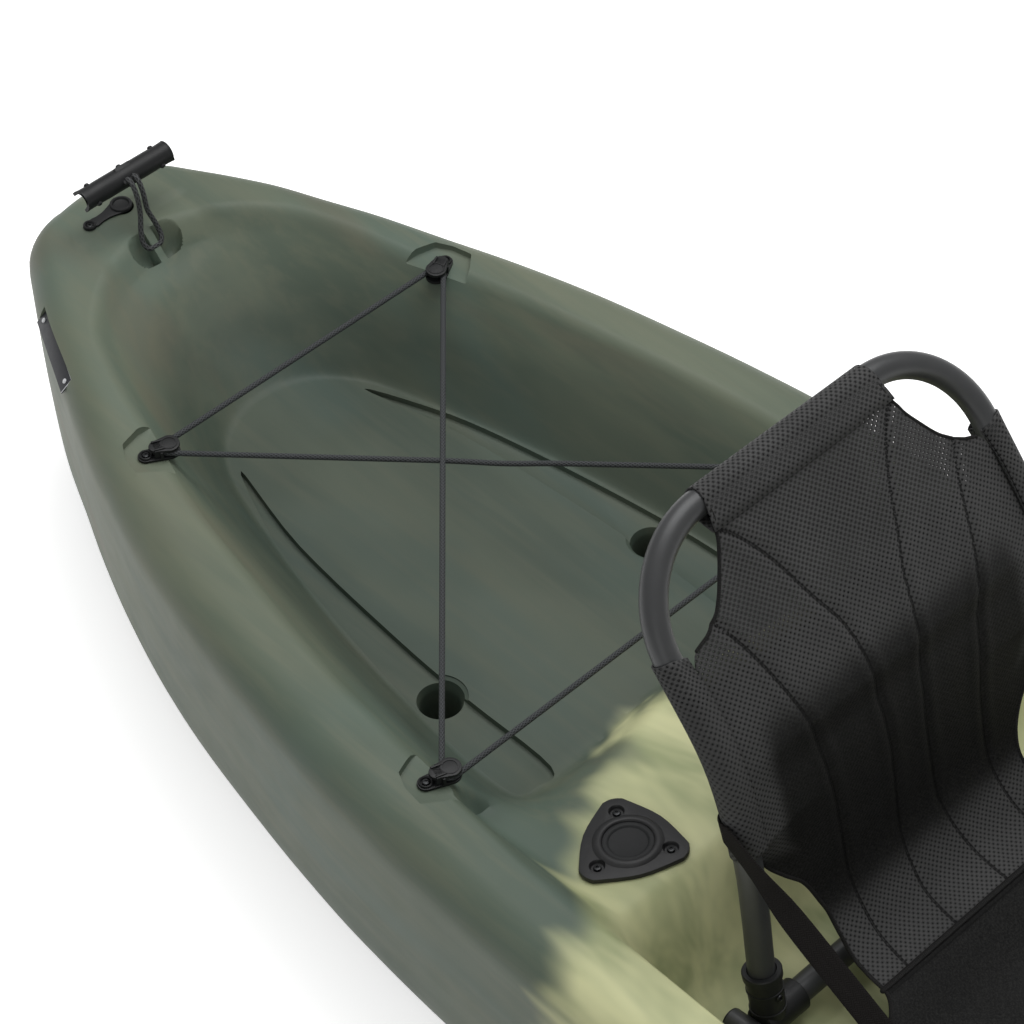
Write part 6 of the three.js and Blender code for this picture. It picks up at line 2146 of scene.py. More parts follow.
@dataclass
class SeatFrame:
    """The back hoop, the base, the stand, the tee fittings and what bolts them together."""

    form: SeatForm
    tee: float = 0.018
    socket: float = 0.063
    tee_outer: float = 0.2325
    tee_inner: float = 0.180
    screw_turn: float = math.radians(150)
    saddle_x: float = -0.160

    def socket_place(self, side: Side) -> Matrix:
        """The leaning socket's frame at the pivot.

        Args:
            side: The side that it is on.

        Returns:
            The frame.
        """
        form = self.form
        return placed(form.pivot_x, side.value * form.half_width, form.pivot_z) \
            @ Matrix.Rotation(-form.lean, 4, "Y")

    def level_place(self, side: Side) -> Matrix:
        """The pivot's own line, from the middle out to a side."""
        form = self.form
        return placed(form.pivot_x, 0, form.pivot_z) @ Matrix.Rotation(-side.value * math.pi / 2, 4, "X")

    def tee_fitting(self, side: Side) -> None:
        """One moulded tee: a leaning socket with a rolled rim and a level sleeve with a domed end.

        Args:
            side: The side that it is on.
        """
        form = self.form
        r, inner, rim = self.tee, form.tube + 0.0006, self.socket
        leaning = self.socket_place(side)
        shape = Shape()
        shape.lathe([(0, -0.004), (r - 0.001, -0.004), (r - 0.0004, 0.03), (r - 0.0002, rim - 0.010),
                     (r + 0.0016, rim - 0.0085), (r + 0.0018, rim - 0.0015), (r + 0.0010, rim - 0.0002),
                     (inner + 0.0006, rim), (inner, rim - 0.0008), (inner, 0.021), (0, 0.021)], 56, leaning)
        near, far = self.tee_inner, self.tee_outer
        shape.lathe([(inner, near), (r - 0.0006, near), (r, near + 0.0008), (r, far - 0.0040),
                     (r - 0.0008, far - 0.0016), (r - 0.0026, far - 0.0004), (0.0105, far), (0.0046, far),
                     (0.0046, far - 0.012), (inner, far - 0.012)], 56, self.level_place(side))
        for share in (0.24, 0.62):
            up = rim * share
            band = [(r - 0.002, up), (r + 0.0006, up), (r + 0.0006, up + 0.0016), (r - 0.002, up + 0.0022)]
            shape.lathe(band, 56, leaning)
        settle(shape.object(f"seat_tee_{side.label}_look", BLACK_PLASTIC), Body.SEAT_BACK, Slot.PLASTIC)

    def tee_screws(self, side: Side) -> None:
        """The two screws that hold the hoop in its socket.

        Args:
            side: The side that it is on.
        """
        for name, up, turn in (("fore", 0.55, 0.0), ("aft", 0.8, -side.value * self.screw_turn)):
            place = self.socket_place(side) @ placed(0, 0, self.socket * up) \
                @ Matrix.Rotation(turn, 4, "Z") @ placed(self.tee + GAP, 0, 0) \
                @ Matrix.Rotation(math.pi / 2, 4, "Y")
            shape = Shape()
            screw(shape, place, shank=0.004)
            look = shape.object(f"seat_tee_screw_{side.label}_{name}_look", DARK_STEEL)
            settle(look, Body.SEAT_BACK, Slot.STEEL)

    def bolt(self, side: Side) -> None:
        """The pivot bolt with its domed head and round recess.

        Args:
            side: The side that it is on.
        """
        form = self.form
        out = form.base_half + form.base_tube + GAP
        bolt = Shape().lathe([(0, form.half_width), (0.004, form.half_width), (0.004, out), (0.008, out),
                              (0.0078, out + 0.0016), (0.0062, out + 0.0032), (0.0042, out + 0.004),
                              (0.0026, out + 0.004), (0.0026, out + 0.0018), (0, out + 0.0015)], 36,
                             self.level_place(side))
        settle(bolt.object(f"seat_hinge_bolt_{side.label}_look", STEEL), Body.BOAT, Slot.STEEL)

    def saddle(self, side: Side) -> None:
        """The rubber saddle that the base tube rests in.

        Args:
            side: The side that it is on.
        """
        form = self.form
        axis = form.base_z(self.saddle_x)
        low = form.shelf_z + GAP
        half = 0.027
        cradle = form.base_tube + 0.0006
        outline = [(-0.017, low), (0.017, low), (0.017, axis), (0.0158, axis)]
        outline += [ring_point(cradle, angle, (0.0, axis)) for angle in np.radians(np.arange(-8, -173, -12))]
        outline += [(-0.0158, axis), (-0.017, axis)]
        turn = Matrix.Rotation(math.pi / 2, 4, "Z") @ Matrix.Rotation(math.pi / 2, 4, "X")
        slope = placed(self.saddle_x, side.value * form.base_half, axis) \
            @ Matrix.Rotation(-math.atan(form.base_slope), 4, "Y") @ placed(0, 0, -axis)
        shape = Shape().prism(outline, -half, half, 0.0012, slope @ turn)
        settle(shape.object(f"seat_saddle_{side.label}_look", DARK_RUBBER), Body.BOAT, Slot.RUBBER)

    def build(self) -> None:
        """Makes every rigid piece of the seat."""
        form = self.form
        hoop = tube_object("seat_back_hoop_look", form.hoop(), form.tube, TUBE_COAT, 40)
        settle(hoop, Body.SEAT_BACK, Slot.TUBE)
        half = form.half_width - 0.0023
        cross = tube_object("seat_cross_tube_look",
                            np.asarray([(form.pivot_x, y, form.pivot_z) for y in np.linspace(-half, half, 24)]),
                            form.tube, TUBE_COAT, 40)
        settle(cross, Body.SEAT_BACK, Slot.TUBE)
        base = tube_object("seat_base_hoop_look", form.base(), form.base_tube, TUBE_COAT, 40)
        settle(base, Body.BOAT, Slot.TUBE)
        rear = placed(form.base_rear, 0, form.base_z(form.base_rear))
        face_aft = Matrix.Rotation(-math.pi / 2 - math.atan(form.base_slope), 4, "Y")
        for side in Side:
            plug = Shape().lathe(BASE_PLUG, 36, rear @ placed(0, side.value * form.base_half, 0) @ face_aft)
            settle(plug.object(f"seat_base_plug_{side.label}_look", BLACK_PLASTIC), Body.BOAT, Slot.PLASTIC,
                   replaces=False)
        stand = tube_object("seat_front_stand_look", form.stand(), form.stand_tube, TUBE_COAT, 36)
        settle(stand, Body.BOAT, Slot.TUBE)
        for side in Side:
            self.tee_fitting(side)
            self.tee_screws(side)
            self.bolt(side)
            self.saddle(side)


# Seat cloth


# The sling: its middle line under the hoop in x and z, then by height its half width, edge lean and seams.
LUMBAR = ((-0.3365, 0.487), (-0.3290, 0.466), (-0.3215, 0.442), (-0.3150, 0.416), (-0.3095, 0.392),
          (-0.3040, 0.369), (-0.2965, 0.337), (-0.2880, 0.315), (-0.2710, 0.292), (-0.2480, 0.273),
          (-0.2250, 0.266))
WAIST = ((0.262, 0.146), (0.285, 0.1405), (0.300, 0.140), (0.322, 0.146), (0.348, 0.158), (0.368, 0.177),
         (0.383, 0.190), (0.402, 0.199))
SHOULDER = ((0.606, 0.196), (0.614, 0.176), (0.628, 0.153), (0.645, 0.137), (0.662, 0.124), (0.683, 0.1145),
            (0.700, 0.112))
EDGE_LEAN = ((0.262, 0.0), (0.285, -0.002), (0.300, -0.004), (0.348, -0.008), (0.383, -0.017), (0.402, -0.013),
             (0.432, 0.0), (0.6, 0.0))
INNER_SEAM = ((0.262, 0.038), (0.272, 0.036), (0.292, 0.032), (0.337, 0.027), (0.416, 0.025), (0.485, 0.030),
              (0.526, 0.034), (0.563, 0.042), (0.592, 0.058), (0.633, 0.080), (0.665, 0.106), (0.672, 0.116))
OUTER_SEAM = ((0.262, 0.109), (0.273, 0.105), (0.315, 0.102), (0.369, 0.102), (0.464, 0.110), (0.513, 0.119),
              (0.553, 0.132), (0.590, 0.147), (0.617, 0.164), (0.628, 0.178))


@dataclass
class SeatSling:
    """The stretched mesh from the top of the hoop down to the crease and forward over the base."""

    form: SeatForm
    cloth: float = 0.0016
    row_step: float = 0.0036
    columns: int = 121
    crease: tuple[float, float] = (-0.203, 0.263)
    crease_half: float = 0.146
    inner_half: float = 0.204
    sleeve_end: float = 0.432
    pan_sag: float = 0.024
    pan_flare: float = -0.110

    @property
    def face(self) -> float:
        """The cloth's middle in front of a tube's centre line."""
        return self.form.tube + 0.0006 + self.cloth / 2

    def spine(self) -> np.ndarray:
        """The middle line of the back from the top tube's front to the crease, in x and z.

        Returns:
            Its points, (n, 2).
        """
        heights = np.linspace(self.form.pivot_z + self.form.height, 0.505, 26)
        place, _, forward = self.form.at_height(heights)
        upper = place + forward * self.face
        lower = np.asarray([*LUMBAR, self.crease])
        path = catmull(np.concatenate([upper, lower]), 4)
        run = lengths_along(path)
        even = np.linspace(0, run[-1], int(run[-1] / self.row_step) + 1)
        return np.stack([np.interp(even, run, path[:, 0]), np.interp(even, run, path[:, 1])], -1)

    def back_half(self, z: np.ndarray) -> np.ndarray:
        """Half the back's width at a height: the corner windows, the sleeves and the free edges."""
        rows = (*WAIST, (self.sleeve_end, self.inner_half), (0.588, self.inner_half), *SHOULDER)
        return smooth_table(rows, z)

    def back(self) -> tuple[np.ndarray, np.ndarray]:
        """The back's grid of points and its flat places across and down.

        Returns:
            The points, (rows, columns, 3), and the flat places.
        """
        spine = self.spine()
        z = spine[:, 1]
        half = self.back_half(z)
        share = np.linspace(-1, 1, self.columns)
        y = half[:, None] * share[None, :]
        place, _, forward = self.form.at_height(z)
        front = place + forward * self.face
        edge_x = np.where(z > self.sleeve_end, front[:, 0], spine[:, 0] + smooth_table(EDGE_LEAN, z))
        out = np.abs(y) / self.inner_half
        weight = np.where((z > 0.262)[:, None], np.clip(out, 0, 1.1) ** 5, 0)
        x = spine[:, :1] + (edge_x - spine[:, 0])[:, None] * weight
        zz = np.broadcast_to(z[:, None], y.shape)
        points = np.stack([x, y, zz], -1)
        run = lengths_along(spine)
        flat = np.stack([y, np.broadcast_to(run[:, None], y.shape)], -1)
        return points, flat

    def pan(self) -> tuple[np.ndarray, np.ndarray]:
        """The pan's grid from the crease forward.

        Returns:
            The points, (rows, columns, 3), and the flat places.
        """
        form = self.form
        start = self.crease[0]
        steps = int((form.base_front - start) / self.row_step)
        down = np.linspace(0, 1, steps + 1)
        x = start + (form.base_front - start) * down
        flare = step(start, self.pan_flare, x)
        corner = np.maximum(x - form.base_front + form.base_corner, 0)
        full = form.base_half - form.base_corner + np.sqrt(np.maximum(form.base_corner ** 2 - corner ** 2, 0))
        half = self.crease_half + (full - self.crease_half) * flare
        rail = form.base_z(x) + form.base_tube + 0.0009 + self.cloth / 2
        edge = self.crease[1] + (rail - self.crease[1]) * flare
        share = np.linspace(-1, 1, self.columns)
        slack = np.sin(math.pi * np.minimum(down * 1.02, 1)) ** 0.8
        sag = self.pan_sag * (1 - share[None, :] ** 2) * slack[:, None]
        y = half[:, None] * share[None, :]
        points = np.stack([np.broadcast_to(x[:, None], y.shape), y, edge[:, None] - sag], -1)
        run = lengths_along(np.stack([x, edge], -1))
        return points, np.stack([y, np.broadcast_to(run[:, None], y.shape)], -1)

    def seams(self, run: np.ndarray, z: np.ndarray) -> list[np.ndarray]:
        """The seams' lines in flat places, from the back's own heights.

        Args:
            run: The length down the cloth at each row.
            z: Each row's height.

        Returns:
            The lines.
        """
        lines = []
        for rows in (INNER_SEAM, OUTER_SEAM):
            heights = np.linspace(rows[0][0], rows[-1][0], 70)
            across = smooth_table(rows, heights)
            down = np.interp(-heights, -z, run)
            for sign in (-1, 1):
                lines.append(np.stack([sign * across, down], -1)[::-1])
        return lines

    def stitched(self, obj: bpy.types.Object, flat: np.ndarray, seams: list[np.ndarray],
                 fine: np.ndarray) -> None:
        """Stores the seam distances and the weave's density on a mesh.

        Args:
            obj: The object.
            flat: The points laid flat, in metres.
            seams: The seams' lines in flat places.
            fine: The close weave's share at each point; its dark tones are partly painted shade.
        """
        places = flat.reshape(-1, 2)
        gaps = np.full(len(places), 1.0)
        along = np.zeros(len(places))
        for seam in seams:
            gap, run = path_distance(seam, places)
            nearer = gap < gaps
            gaps = np.where(nearer, gap, gaps)
            along = np.where(nearer, run, along)
        for name, values in (("seam", gaps), ("stitch", along), ("fine", fine.reshape(-1))):
            attribute = obj.data.attributes.new(name, "FLOAT", "POINT")
            attribute.data.foreach_set("value", np.ascontiguousarray(values, np.float32))

    def puckered(self, points: np.ndarray, flat: np.ndarray, seams: list[np.ndarray]) -> np.ndarray:
        """Pulls the cloth in along its seams and lets it swell between them.

        Args:
            points: The grid of points.
            flat: The points laid flat, in metres.
            seams: The seams' lines in flat places.

        Returns:
            The moved points.
        """
        places = flat.reshape(-1, 2)
        gaps = np.full(len(places), 1.0)
        for seam in seams:
            gaps = np.minimum(gaps, path_distance(seam, places)[0])
        depth = -0.0016 * np.exp(-(gaps / 0.0028) ** 2) + 0.0011 * np.exp(-((gaps - 0.010) / 0.006) ** 2)
        du = np.gradient(points, axis=0)
        dv = np.gradient(points, axis=1)
        normal = np.cross(du, dv)
        normal /= np.maximum(np.linalg.norm(normal, axis=-1, keepdims=True), 1e-12)
        sign = np.sign((normal * np.array([1.0, 0.0, 0.6])).sum(-1, keepdims=True))
        return points + normal * sign * depth.reshape(points.shape[:2])[..., None]

    def sleeve_loop(self, seam_gap: float) -> np.ndarray:
        """The loop of cloth round a tube, seam to seam: places forward of it and out from it.

        Args:
            seam_gap: How far in from the tube the seam lies.

        Returns:
            Its points, (n, 2).
        """
        r = self.face
        loop = [(r, -seam_gap)]
        loop += [(r * math.cos(a), r * math.sin(a)) for a in np.radians(np.arange(0, 226, 9))]
        loop += [(r * 0.2, -seam_gap * 0.72), (r - self.cloth, -seam_gap)]
        return np.asarray(loop)

    def side_sleeve(self, side: Side) -> bpy.types.Object:
        """The sleeve round one side tube, from the window down to the strap.

        Args:
            side: The side that it is on.

        Returns:
            The sleeve.
        """
        heights = np.linspace(0.607, self.sleeve_end - 0.004, 52)
        place, _, forward = self.form.at_height(heights)
        loop = self.sleeve_loop(self.form.half_width - self.inner_half)
        rings = []
        for i in range(len(heights)):
            cut = 0.016 * max(0.0, 1 - (0.607 - heights[i]) / 0.03)
            rings.append([(place[i, 0] + forward[i, 0] * f, side.value * (self.form.half_width + out),
                           place[i, 1] + forward[i, 1] * f - cut * max(0.0, (0.004 - out) / 0.03))
                          for f, out in loop])
        points = np.asarray(rings)
        across = lengths_along(points[0])
        run = lengths_along(place)
        flat = np.stack(np.broadcast_arrays(across[None, :] + 0.204, run[:, None]), -1)
        sleeve = grid_object(f"side_sleeve_{side.label}", points, MESH_CLOTH, flat, sharp=80)
        seam = [np.asarray([(0.204 + 0.0036, -0.1), (0.204 + 0.0036, 0.5)])]
        self.stitched(sleeve, flat, seam, np.zeros(flat.shape[:2]))
        return sleeve

    def top_sleeve(self) -> bpy.types.Object:
        """The sleeve round the top tube, with its ends cut at a slant.

        Returns:
            The sleeve.
        """
        (place, along, forward) = self.form.at_height(np.asarray([self.form.pivot_z + self.form.height]))
        centre, ahead, up = place[0], forward[0], along[0]
        seam_gap = 0.027
        r = self.face
        loop = [(r + 0.0022, -seam_gap), (r + 0.0014, -seam_gap * 0.6)]
        loop += [(r * math.cos(a), r * math.sin(a)) for a in np.radians(np.arange(0, 226, 9))]
        loop += [(r * 0.1, -seam_gap * 0.7), (r - self.cloth, -seam_gap)]
        loop = np.asarray(loop)
        across = np.linspace(-1, 1, 91)
        drop = np.clip((loop[:, 1] + seam_gap) / (seam_gap + r), 0, 1)
        half = 0.1215 - 0.0085 * drop
        points = np.empty((len(loop), len(across), 3))
        for i, (f, u) in enumerate(loop):
            points[i, :, 0] = centre[0] + ahead[0] * f + up[0] * u
            points[i, :, 1] = half[i] * across
            points[i, :, 2] = centre[1] + ahead[1] * f + up[1] * u
        run = lengths_along(points[:, 45])
        flat = np.stack([points[..., 1], np.broadcast_to(run[:, None], points.shape[:2])], -1)
        sleeve = grid_object("top_sleeve", points, MESH_CLOTH, flat, sharp=80)
        seam = [np.asarray([(-0.3, 0.0036), (0.3, 0.0036)])]
        self.stitched(sleeve, flat, seam, np.zeros(flat.shape[:2]))
        return sleeve

    def binding(self, name: str, path: np.ndarray, radius: float = 0.0013) -> bpy.types.Object:
        """A rolled edge along the cloth.

        Args:
            name: The object's name.
            path: Points along the path.
            radius: Its radius.

        Returns:
            The edge.
        """
        edge = tube_object(name, path, radius, EDGE_BINDING, 12, round_ends=True)
        for key, value in (("seam", 0.02), ("stitch", 0.0), ("fine", 1.0)):
            attribute = edge.data.attributes.new(key, "FLOAT", "POINT")
            attribute.data.foreach_set("value", np.full(len(edge.data.vertices), value, np.float32))
        return edge

    def build(self) -> None:
        points, flat = self.back()
        spine = self.spine()
        run = lengths_along(spine)
        seams = self.seams(run, spine[:, 1])
        points = self.puckered(points, flat, seams)
        back = grid_object("back_cloth", points, MESH_CLOTH, flat, sharp=80)
        z = points[..., 2]
        inward = np.abs(points[:, :1, 1]) - np.abs(points[..., 1])
        # The lumbar panel and the band across the lower back take the close weave, whose dark tones are partly
        # painted shade.
        lumbar = step(0.570, 0.500, z) * step(0.272, 0.325, z)
        self.stitched(back, flat, seams, lumbar * np.maximum(step(0.012, 0.050, inward), step(0.42, 0.37, z)))
        pan_points, pan_flat = self.pan()
        pan = grid_object("pan_cloth", pan_points, PAN_CLOTH, pan_flat, sharp=80)
        self.stitched(pan, pan_flat, [np.asarray([(-0.3, 0.006), (0.3, 0.006)])], np.ones(pan_flat.shape[:2]))
        parts = [back, pan, self.top_sleeve(), *(self.side_sleeve(side) for side in Side)]
        rows = int(np.argmin(np.abs(points[:, 0, 2] - self.sleeve_end)))
        window = int(np.argmin(np.abs(points[:, 0, 2] - 0.606)))
        for column in (0, -1):
            parts.append(self.binding("edge", points[rows:, column]))
            parts.append(self.binding("edge", points[2:window, column], 0.0010))
            parts.append(self.binding("edge", pan_points[:, column]))
        fold_x, fold_z = self.crease
        crease = np.stack([np.full(40, fold_x + 0.001), np.linspace(-1, 1, 40) * (self.crease_half + 0.002),
                           np.full(40, fold_z + 0.0012)], -1)
        parts.append(self.binding("piping", crease, 0.0022))
        cloth = joined("seat_sling_look", parts)
        solid = cloth.modifiers.new("cloth", "SOLIDIFY")
        solid.thickness = self.cloth
        solid.offset = 0.0
        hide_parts("seat_back_mesh", "seat_waist_mesh", "seat_pan_mesh")
        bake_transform(cloth)


def joined(name: str, parts: Sequence[bpy.types.Object]) -> bpy.types.Object:
    """Joins objects into the first one, keeping their materials and attributes.

    Args:
        name: The object's name.
        parts: The objects, of which the first takes in the rest.

    Returns:
        The first object.
    """
    bpy.ops.object.select_all(action="DESELECT")
    for part in parts:
        part.select_set(True)
    bpy.context.view_layer.objects.active = parts[0]
    bpy.ops.object.join()
    parts[0].name = name
    return parts[0]


# Straps


# A band's section in shares of half its width and half its thickness.
BAND_SECTION = ((-1, -0.7), (-0.96, -1), (-0.5, -1), (0, -1), (0.5, -1), (0.96, -1), (1, -0.7),
                (1, 0.7), (0.96, 1), (0.5, 1), (0, 1), (-0.5, 1), (-0.96, 1), (-1, 0.7))


@dataclass
class ReclineStrap:
    """One webbing strap from the hoop's side tube forward to its anchor, with its buckle."""

    side: Side
    form: SeatForm
    width: float = 0.025
    thickness: float = 0.002
    top_z: float = 0.4584
    end_x: float = 0.132
    lean: float = math.radians(48)
    anchor: tuple[float, float, float] = (0.025, 0.004, 0.0375)

    def band(self) -> tuple[np.ndarray, np.ndarray, np.ndarray]:
        """The band's middle line, its width direction and its face direction.

        Returns:
            The three at each point of the band, (n, 3).
        """
        form, sign = self.form, self.side.value
        place, along, forward = (part[0] for part in form.at_height(np.asarray([self.top_z])))
        reach = form.tube + 0.0031 + self.thickness / 2
        spots, sides = [], []
        for angle in np.radians(np.arange(-60, -271, -10)):
            f, out = reach * math.cos(angle), reach * math.sin(angle)
            spots.append((place[0] + forward[0] * f, sign * (form.half_width + out), place[1] + forward[1] * f))
            sides.append((along[0], 0.0, along[1]))
        out_y = form.base_half + form.base_tube + GAP + self.anchor[1] + GAP + self.thickness / 2
        end = np.asarray((self.end_x, sign * out_y, form.base_z(self.end_x) + form.base_tube))
        start = np.asarray(spots[-1])
        run = np.asarray((end[0] - start[0], 0.0, end[2] - start[2]))
        run /= np.linalg.norm(run)
        knee = end - run * 2 * self.width
        upright = np.asarray((-run[2], 0.0, run[0]))
        for share in np.linspace(0.03, 1, 46):
            spot = start + (knee - start) * share
            spot[2] -= 0.004 * math.sin(math.pi * share)
            blend = float(step(0.0, 0.3, share))
            turn = self.lean * float(step(0.02, 0.22, share) * step(1.0, 0.72, share))
            tilted = upright * math.cos(turn) + np.asarray((0.0, -sign, 0.0)) * math.sin(turn)
            side = np.asarray(sides[0]) * (1 - blend) + tilted * blend
            spots.append(tuple(spot))
            sides.append(tuple(side))
        spots.append(tuple(end + run * self.width / 2))
        sides.append(tuple(upright))
        path = np.asarray(spots)
        side = np.asarray(sides)
        heading = np.gradient(path, axis=0)
        heading /= np.linalg.norm(heading, axis=1)[:, None]
        side -= heading * (side * heading).sum(1)[:, None]
        side /= np.linalg.norm(side, axis=1)[:, None]
        return path, side, np.cross(heading, side)

    def build(self) -> None:
        """Makes the strap, the buckle and the anchor plate."""
        path, side, face = self.band()
        run = lengths_along(path)
        points = np.stack([path + side * (a * self.width / 2) + face * (b * self.thickness / 2)
                           for a, b in BAND_SECTION], 1)
        across = np.asarray([a * self.width / 2 for a, _ in BAND_SECTION] + [-self.width / 2])
        uv = np.stack(np.broadcast_arrays(across[None, :], run[:, None]), -1)
        node = f"recline_strap_{self.side.label}"
        strap = grid_object(f"{node}_look", points, STRAP_WEB, uv, wrap=True, caps=True, sharp=60)
        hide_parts(node)
        tuple(path[18])
        tuple(path[-6])
        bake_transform(strap)
        self.fittings(path, side, face)

    def fittings(self, path: np.ndarray, side: np.ndarray, face: np.ndarray) -> None:
        """The ladder buckle on the strap and the steel anchor on the base tube.

        Args:
            path: The band's middle line.
            side: Its width direction.
            face: Its face direction.
        """
        form, sign = self.form, self.side.value
        i = len(path) - 10
        heading = path[i + 1] - path[i]
        heading /= np.linalg.norm(heading)
        place = Matrix((
            (heading[0], side[i][0], face[i][0], path[i][0]), (heading[1], side[i][1], face[i][1], path[i][1]),
            (heading[2], side[i][2], face[i][2], path[i][2]), (0, 0, 0, 1)))
        shape = Shape()
        for y in (-0.0155, 0.0155):
            shape.box((0.030, 0.0040, 0.0070), 0.0010, place @ placed(0, y, 0))
        for x, z in ((-0.0128, 0.0), (-0.0002, 0.0034), (0.0128, 0.0)):
            shape.box((0.0044, 0.033, 0.0030), 0.0008, place @ placed(x, 0, z))
        settle(shape.object(f"strap_buckle_{self.side.label}_look", BLACK_PLASTIC), Body.BOAT, Slot.PLASTIC)
        out = form.base_half + form.base_tube + GAP + self.anchor[1] / 2
        middle = placed(self.end_x, sign * out, form.base_z(self.end_x) + form.base_tube / 2)
        plate = Shape().box(self.anchor, 0.0008, middle)
        settle(plate.object(f"strap_anchor_{self.side.label}_look", STEEL), Body.BOAT, Slot.STEEL)


# Hatch


# A moulded screw head on the coaming's flange, as a profile.
FLANGE_SCREW = ((0, 0.0), (0.0042, 0.0), (0.0040, 0.0010), (0.0026, 0.0017), (0, 0.0019))


@dataclass
class Hatch:
    """The round hatch between the legs: coaming, seal and turning lid."""

    form: HullForm
    hole: float = 0.076
    wall: float = 0.004
    flange: float = 0.100
    flange_height: float = 0.005
    rise: float = 0.012
    gasket: float = 0.0022
    lid_height: float = 0.007
    flange_screws: int = 8
    lid_ribs: int = 24

    def build(self) -> None:
        """Makes the three rings."""
        place = placed(self.form.console_x, 0, 0)
        seat = self.form.console_z + GAP
        neck = self.hole + self.wall
        top = seat + self.flange_height + self.rise
        collar, flange = neck + self.wall, self.flange
        rim = [(self.hole, seat - 0.022), (neck - 0.0006, seat - 0.022), (neck, seat - 0.021), (neck, seat),
               (flange, seat), (flange, seat + 0.0022), (flange - 0.0016, seat + 0.0044),
               (flange - 0.003, seat + 0.005), (collar + 0.002, seat + 0.005), (collar, seat + 0.007),
               (collar, top - 0.001), (collar - 0.001, top), (self.hole + 0.001, top), (self.hole, top - 0.001)]
        shape = Shape().lathe(rim, 96, place)
        for i in range(self.flange_screws):
            x, y = ring_point((collar + flange) / 2, math.pi / 4 * i + math.pi / 8)
            shape.lathe(FLANGE_SCREW, 20, place @ placed(x, y, seat + 0.005))
        settle(shape.object("hatch_coaming_look", BLACK_PLASTIC), Body.BOAT, Slot.PLASTIC)
        middle = top + GAP + self.gasket
        centre = (neck - self.wall / 2, middle)
        ring = [ring_point(self.gasket, angle, centre) for angle in np.radians(np.arange(0, 360, 24))]
        seal = Shape().lathe(ring, 96, place).object("hatch_seal_look", DARK_RUBBER)
        settle(seal, Body.HATCH_SEAL, Slot.RUBBER)
        self.lid(place, neck, top)

    def lid(self, place: Matrix, neck: float, top: float) -> None:
        """The lid with its skirt, its finger grips, its dished rings and its turning bar.

        Args:
            place: The hatch's frame.
            neck: The neck's radius.
            top: The height of the coaming's top.
        """
        under = top + 2 * self.gasket + 2 * GAP
        inner = neck + self.wall + 0.0012
        outer = inner + 1.5 * self.wall
        low = top + GAP
        high = under + self.lid_height
        profile = [(0, under), (inner, under), (inner, low), (outer - 0.0006, low), (outer, low + 0.0006),
                   (outer, high - 0.004), (outer - 0.0012, high - 0.0014), (outer - 0.004, high), (0.072, high),
                   (0.069, high - 0.0022), (0.062, high - 0.0026), (0.059, high - 0.0008), (0.0, high - 0.0008)]
        shape = Shape().lathe(profile, 120, place)
        rib = [(0, 0), (0.0028, 0), (0.0028, high - low - 0.006), (0.0016, high - low - 0.004),
               (0, high - low - 0.0036)]
        for i in range(self.lid_ribs):
            x, y = ring_point(outer - 0.0012, math.pi / 12 * i)
            shape.lathe(rib, 14, place @ placed(x, y, low + 0.0008))
        shape.box((0.112, 0.0125, 0.0095), 0.0026, place @ placed(0, 0, high - 0.0013 + 0.003))
        settle(shape.object("hatch_lid_look", BLACK_PLASTIC), Body.HATCH_LID, Slot.PLASTIC)


# Stage


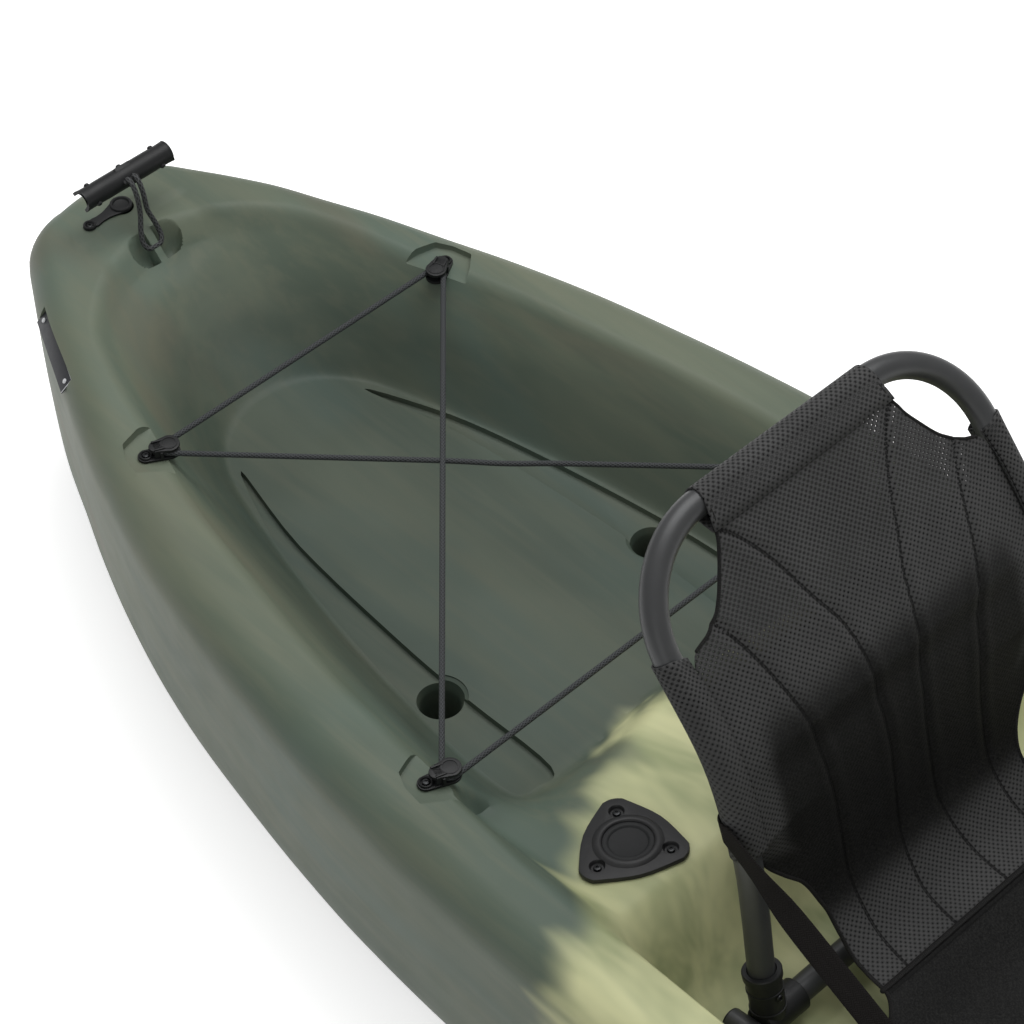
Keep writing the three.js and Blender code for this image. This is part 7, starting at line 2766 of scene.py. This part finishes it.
@dataclass
class Studio:
    """The white ground, the soft lights and the camera."""

    eye: tuple[float, float, float] = (0.83756, -1.65322, 2.82751)
    right: tuple[float, float, float] = (0.69910198, 0.71502197, 0.0)
    up: tuple[float, float, float] = (-0.52040432, 0.5088175, 0.68577262)
    lens: float = 115.5656
    sky: float = 0.42
    key: float = 100.0
    fill: float = 14.0
    ground_reach: float = 40.0

    def camera(self) -> None:
        """Sets the photo's camera."""
        camera = bpy.data.cameras.new("camera")
        camera.lens = self.lens
        camera.sensor_width = 36.0
        camera.clip_end = 100.0
        holder = bpy.data.objects.new("camera", camera)
        bpy.context.scene.collection.objects.link(holder)
        right, up = Vector(self.right), Vector(self.up)
        back = right.cross(up)
        turn = Matrix((right, up, back)).transposed().to_4x4()
        holder.matrix_world = Matrix.Translation(self.eye) @ turn
        bpy.context.scene.camera = holder

    def light(self, name: str, place: Point, target: Point, size: tuple[float, float], power: float) -> None:
        """One soft box that faces a target.

        Args:
            name: The light's name.
            place: Where it hangs.
            target: What it faces.
            size: Its two sides.
            power: Its power in watts.
        """
        data = bpy.data.lights.new(name, "AREA")
        data.shape = "RECTANGLE"
        data.size, data.size_y = size
        data.energy = power
        holder = bpy.data.objects.new(name, data)
        bpy.context.scene.collection.objects.link(holder)
        heading = Vector(target) - Vector(place)
        holder.matrix_world = Matrix.Translation(place) @ heading.to_track_quat("-Z", "Y").to_matrix().to_4x4()

    def build(self) -> None:
        """Makes the ground, the sky, the lights and the camera."""
        reach = self.ground_reach
        corners = [(-reach, -reach, 0), (reach, -reach, 0), (reach, reach, 0), (-reach, reach, 0)]
        ground = mesh_object("ground", np.asarray(corners, float), [(0, 1, 2, 3)], WHITE_GROUND)
        ground.location.z = -0.0005
        world = bpy.data.worlds.new("sky")
        world.use_nodes = True
        shade = world.node_tree.nodes["Background"]
        shade.inputs[0].default_value = grey(1.0)
        shade.inputs[1].default_value = self.sky
        bpy.context.scene.world = world
        self.light("key", (-1.3, 1.1, 4.2), (-0.8, 0.0, 0.2), (3.4, 2.6), self.key)
        self.light("fill", (2.4, -3.4, 2.4), (-0.6, 0.0, 0.3), (2.6, 2.0), self.fill)
        self.camera()
        bpy.context.scene.view_settings.view_transform = "Standard"


def main() -> None:
    """Builds the kayak and its studio, piece by piece."""
    logging.basicConfig(level=logging.INFO, format="%(name)s %(message)s")
    hull_form = HullForm()
    seat_form = SeatForm()
    pieces = {
        "hull": HullShell(hull_form), "bungee": BungeeRig(),
        "rod holder, port": RodHolder(Side.PORT, hull_form),
        "rod holder, starboard": RodHolder(Side.STARBOARD, hull_form),
        "stern handle": CarryHandle("stern", hull_form.pocket_x, -HANDLE_LEAN, Body.STERN_HANDLE, hull_form),
        "bow handle": CarryHandle("bow", hull_form.bow_pocket_x, HANDLE_LEAN, Body.BOW_HANDLE, hull_form),
        "drain plug": DrainPlug(hull_form), "rating plate": RatingPlate(hull_form),
        "seat frame": SeatFrame(seat_form), "seat sling": SeatSling(seat_form),
        "recline strap, port": ReclineStrap(Side.PORT, seat_form),
        "recline strap, starboard": ReclineStrap(Side.STARBOARD, seat_form),
        "hatch": Hatch(hull_form), "studio": Studio()}
    for name, piece in pieces.items():
        piece.build()
        LOG.info("%s built", name)


if __name__ == "__main__":
    main()
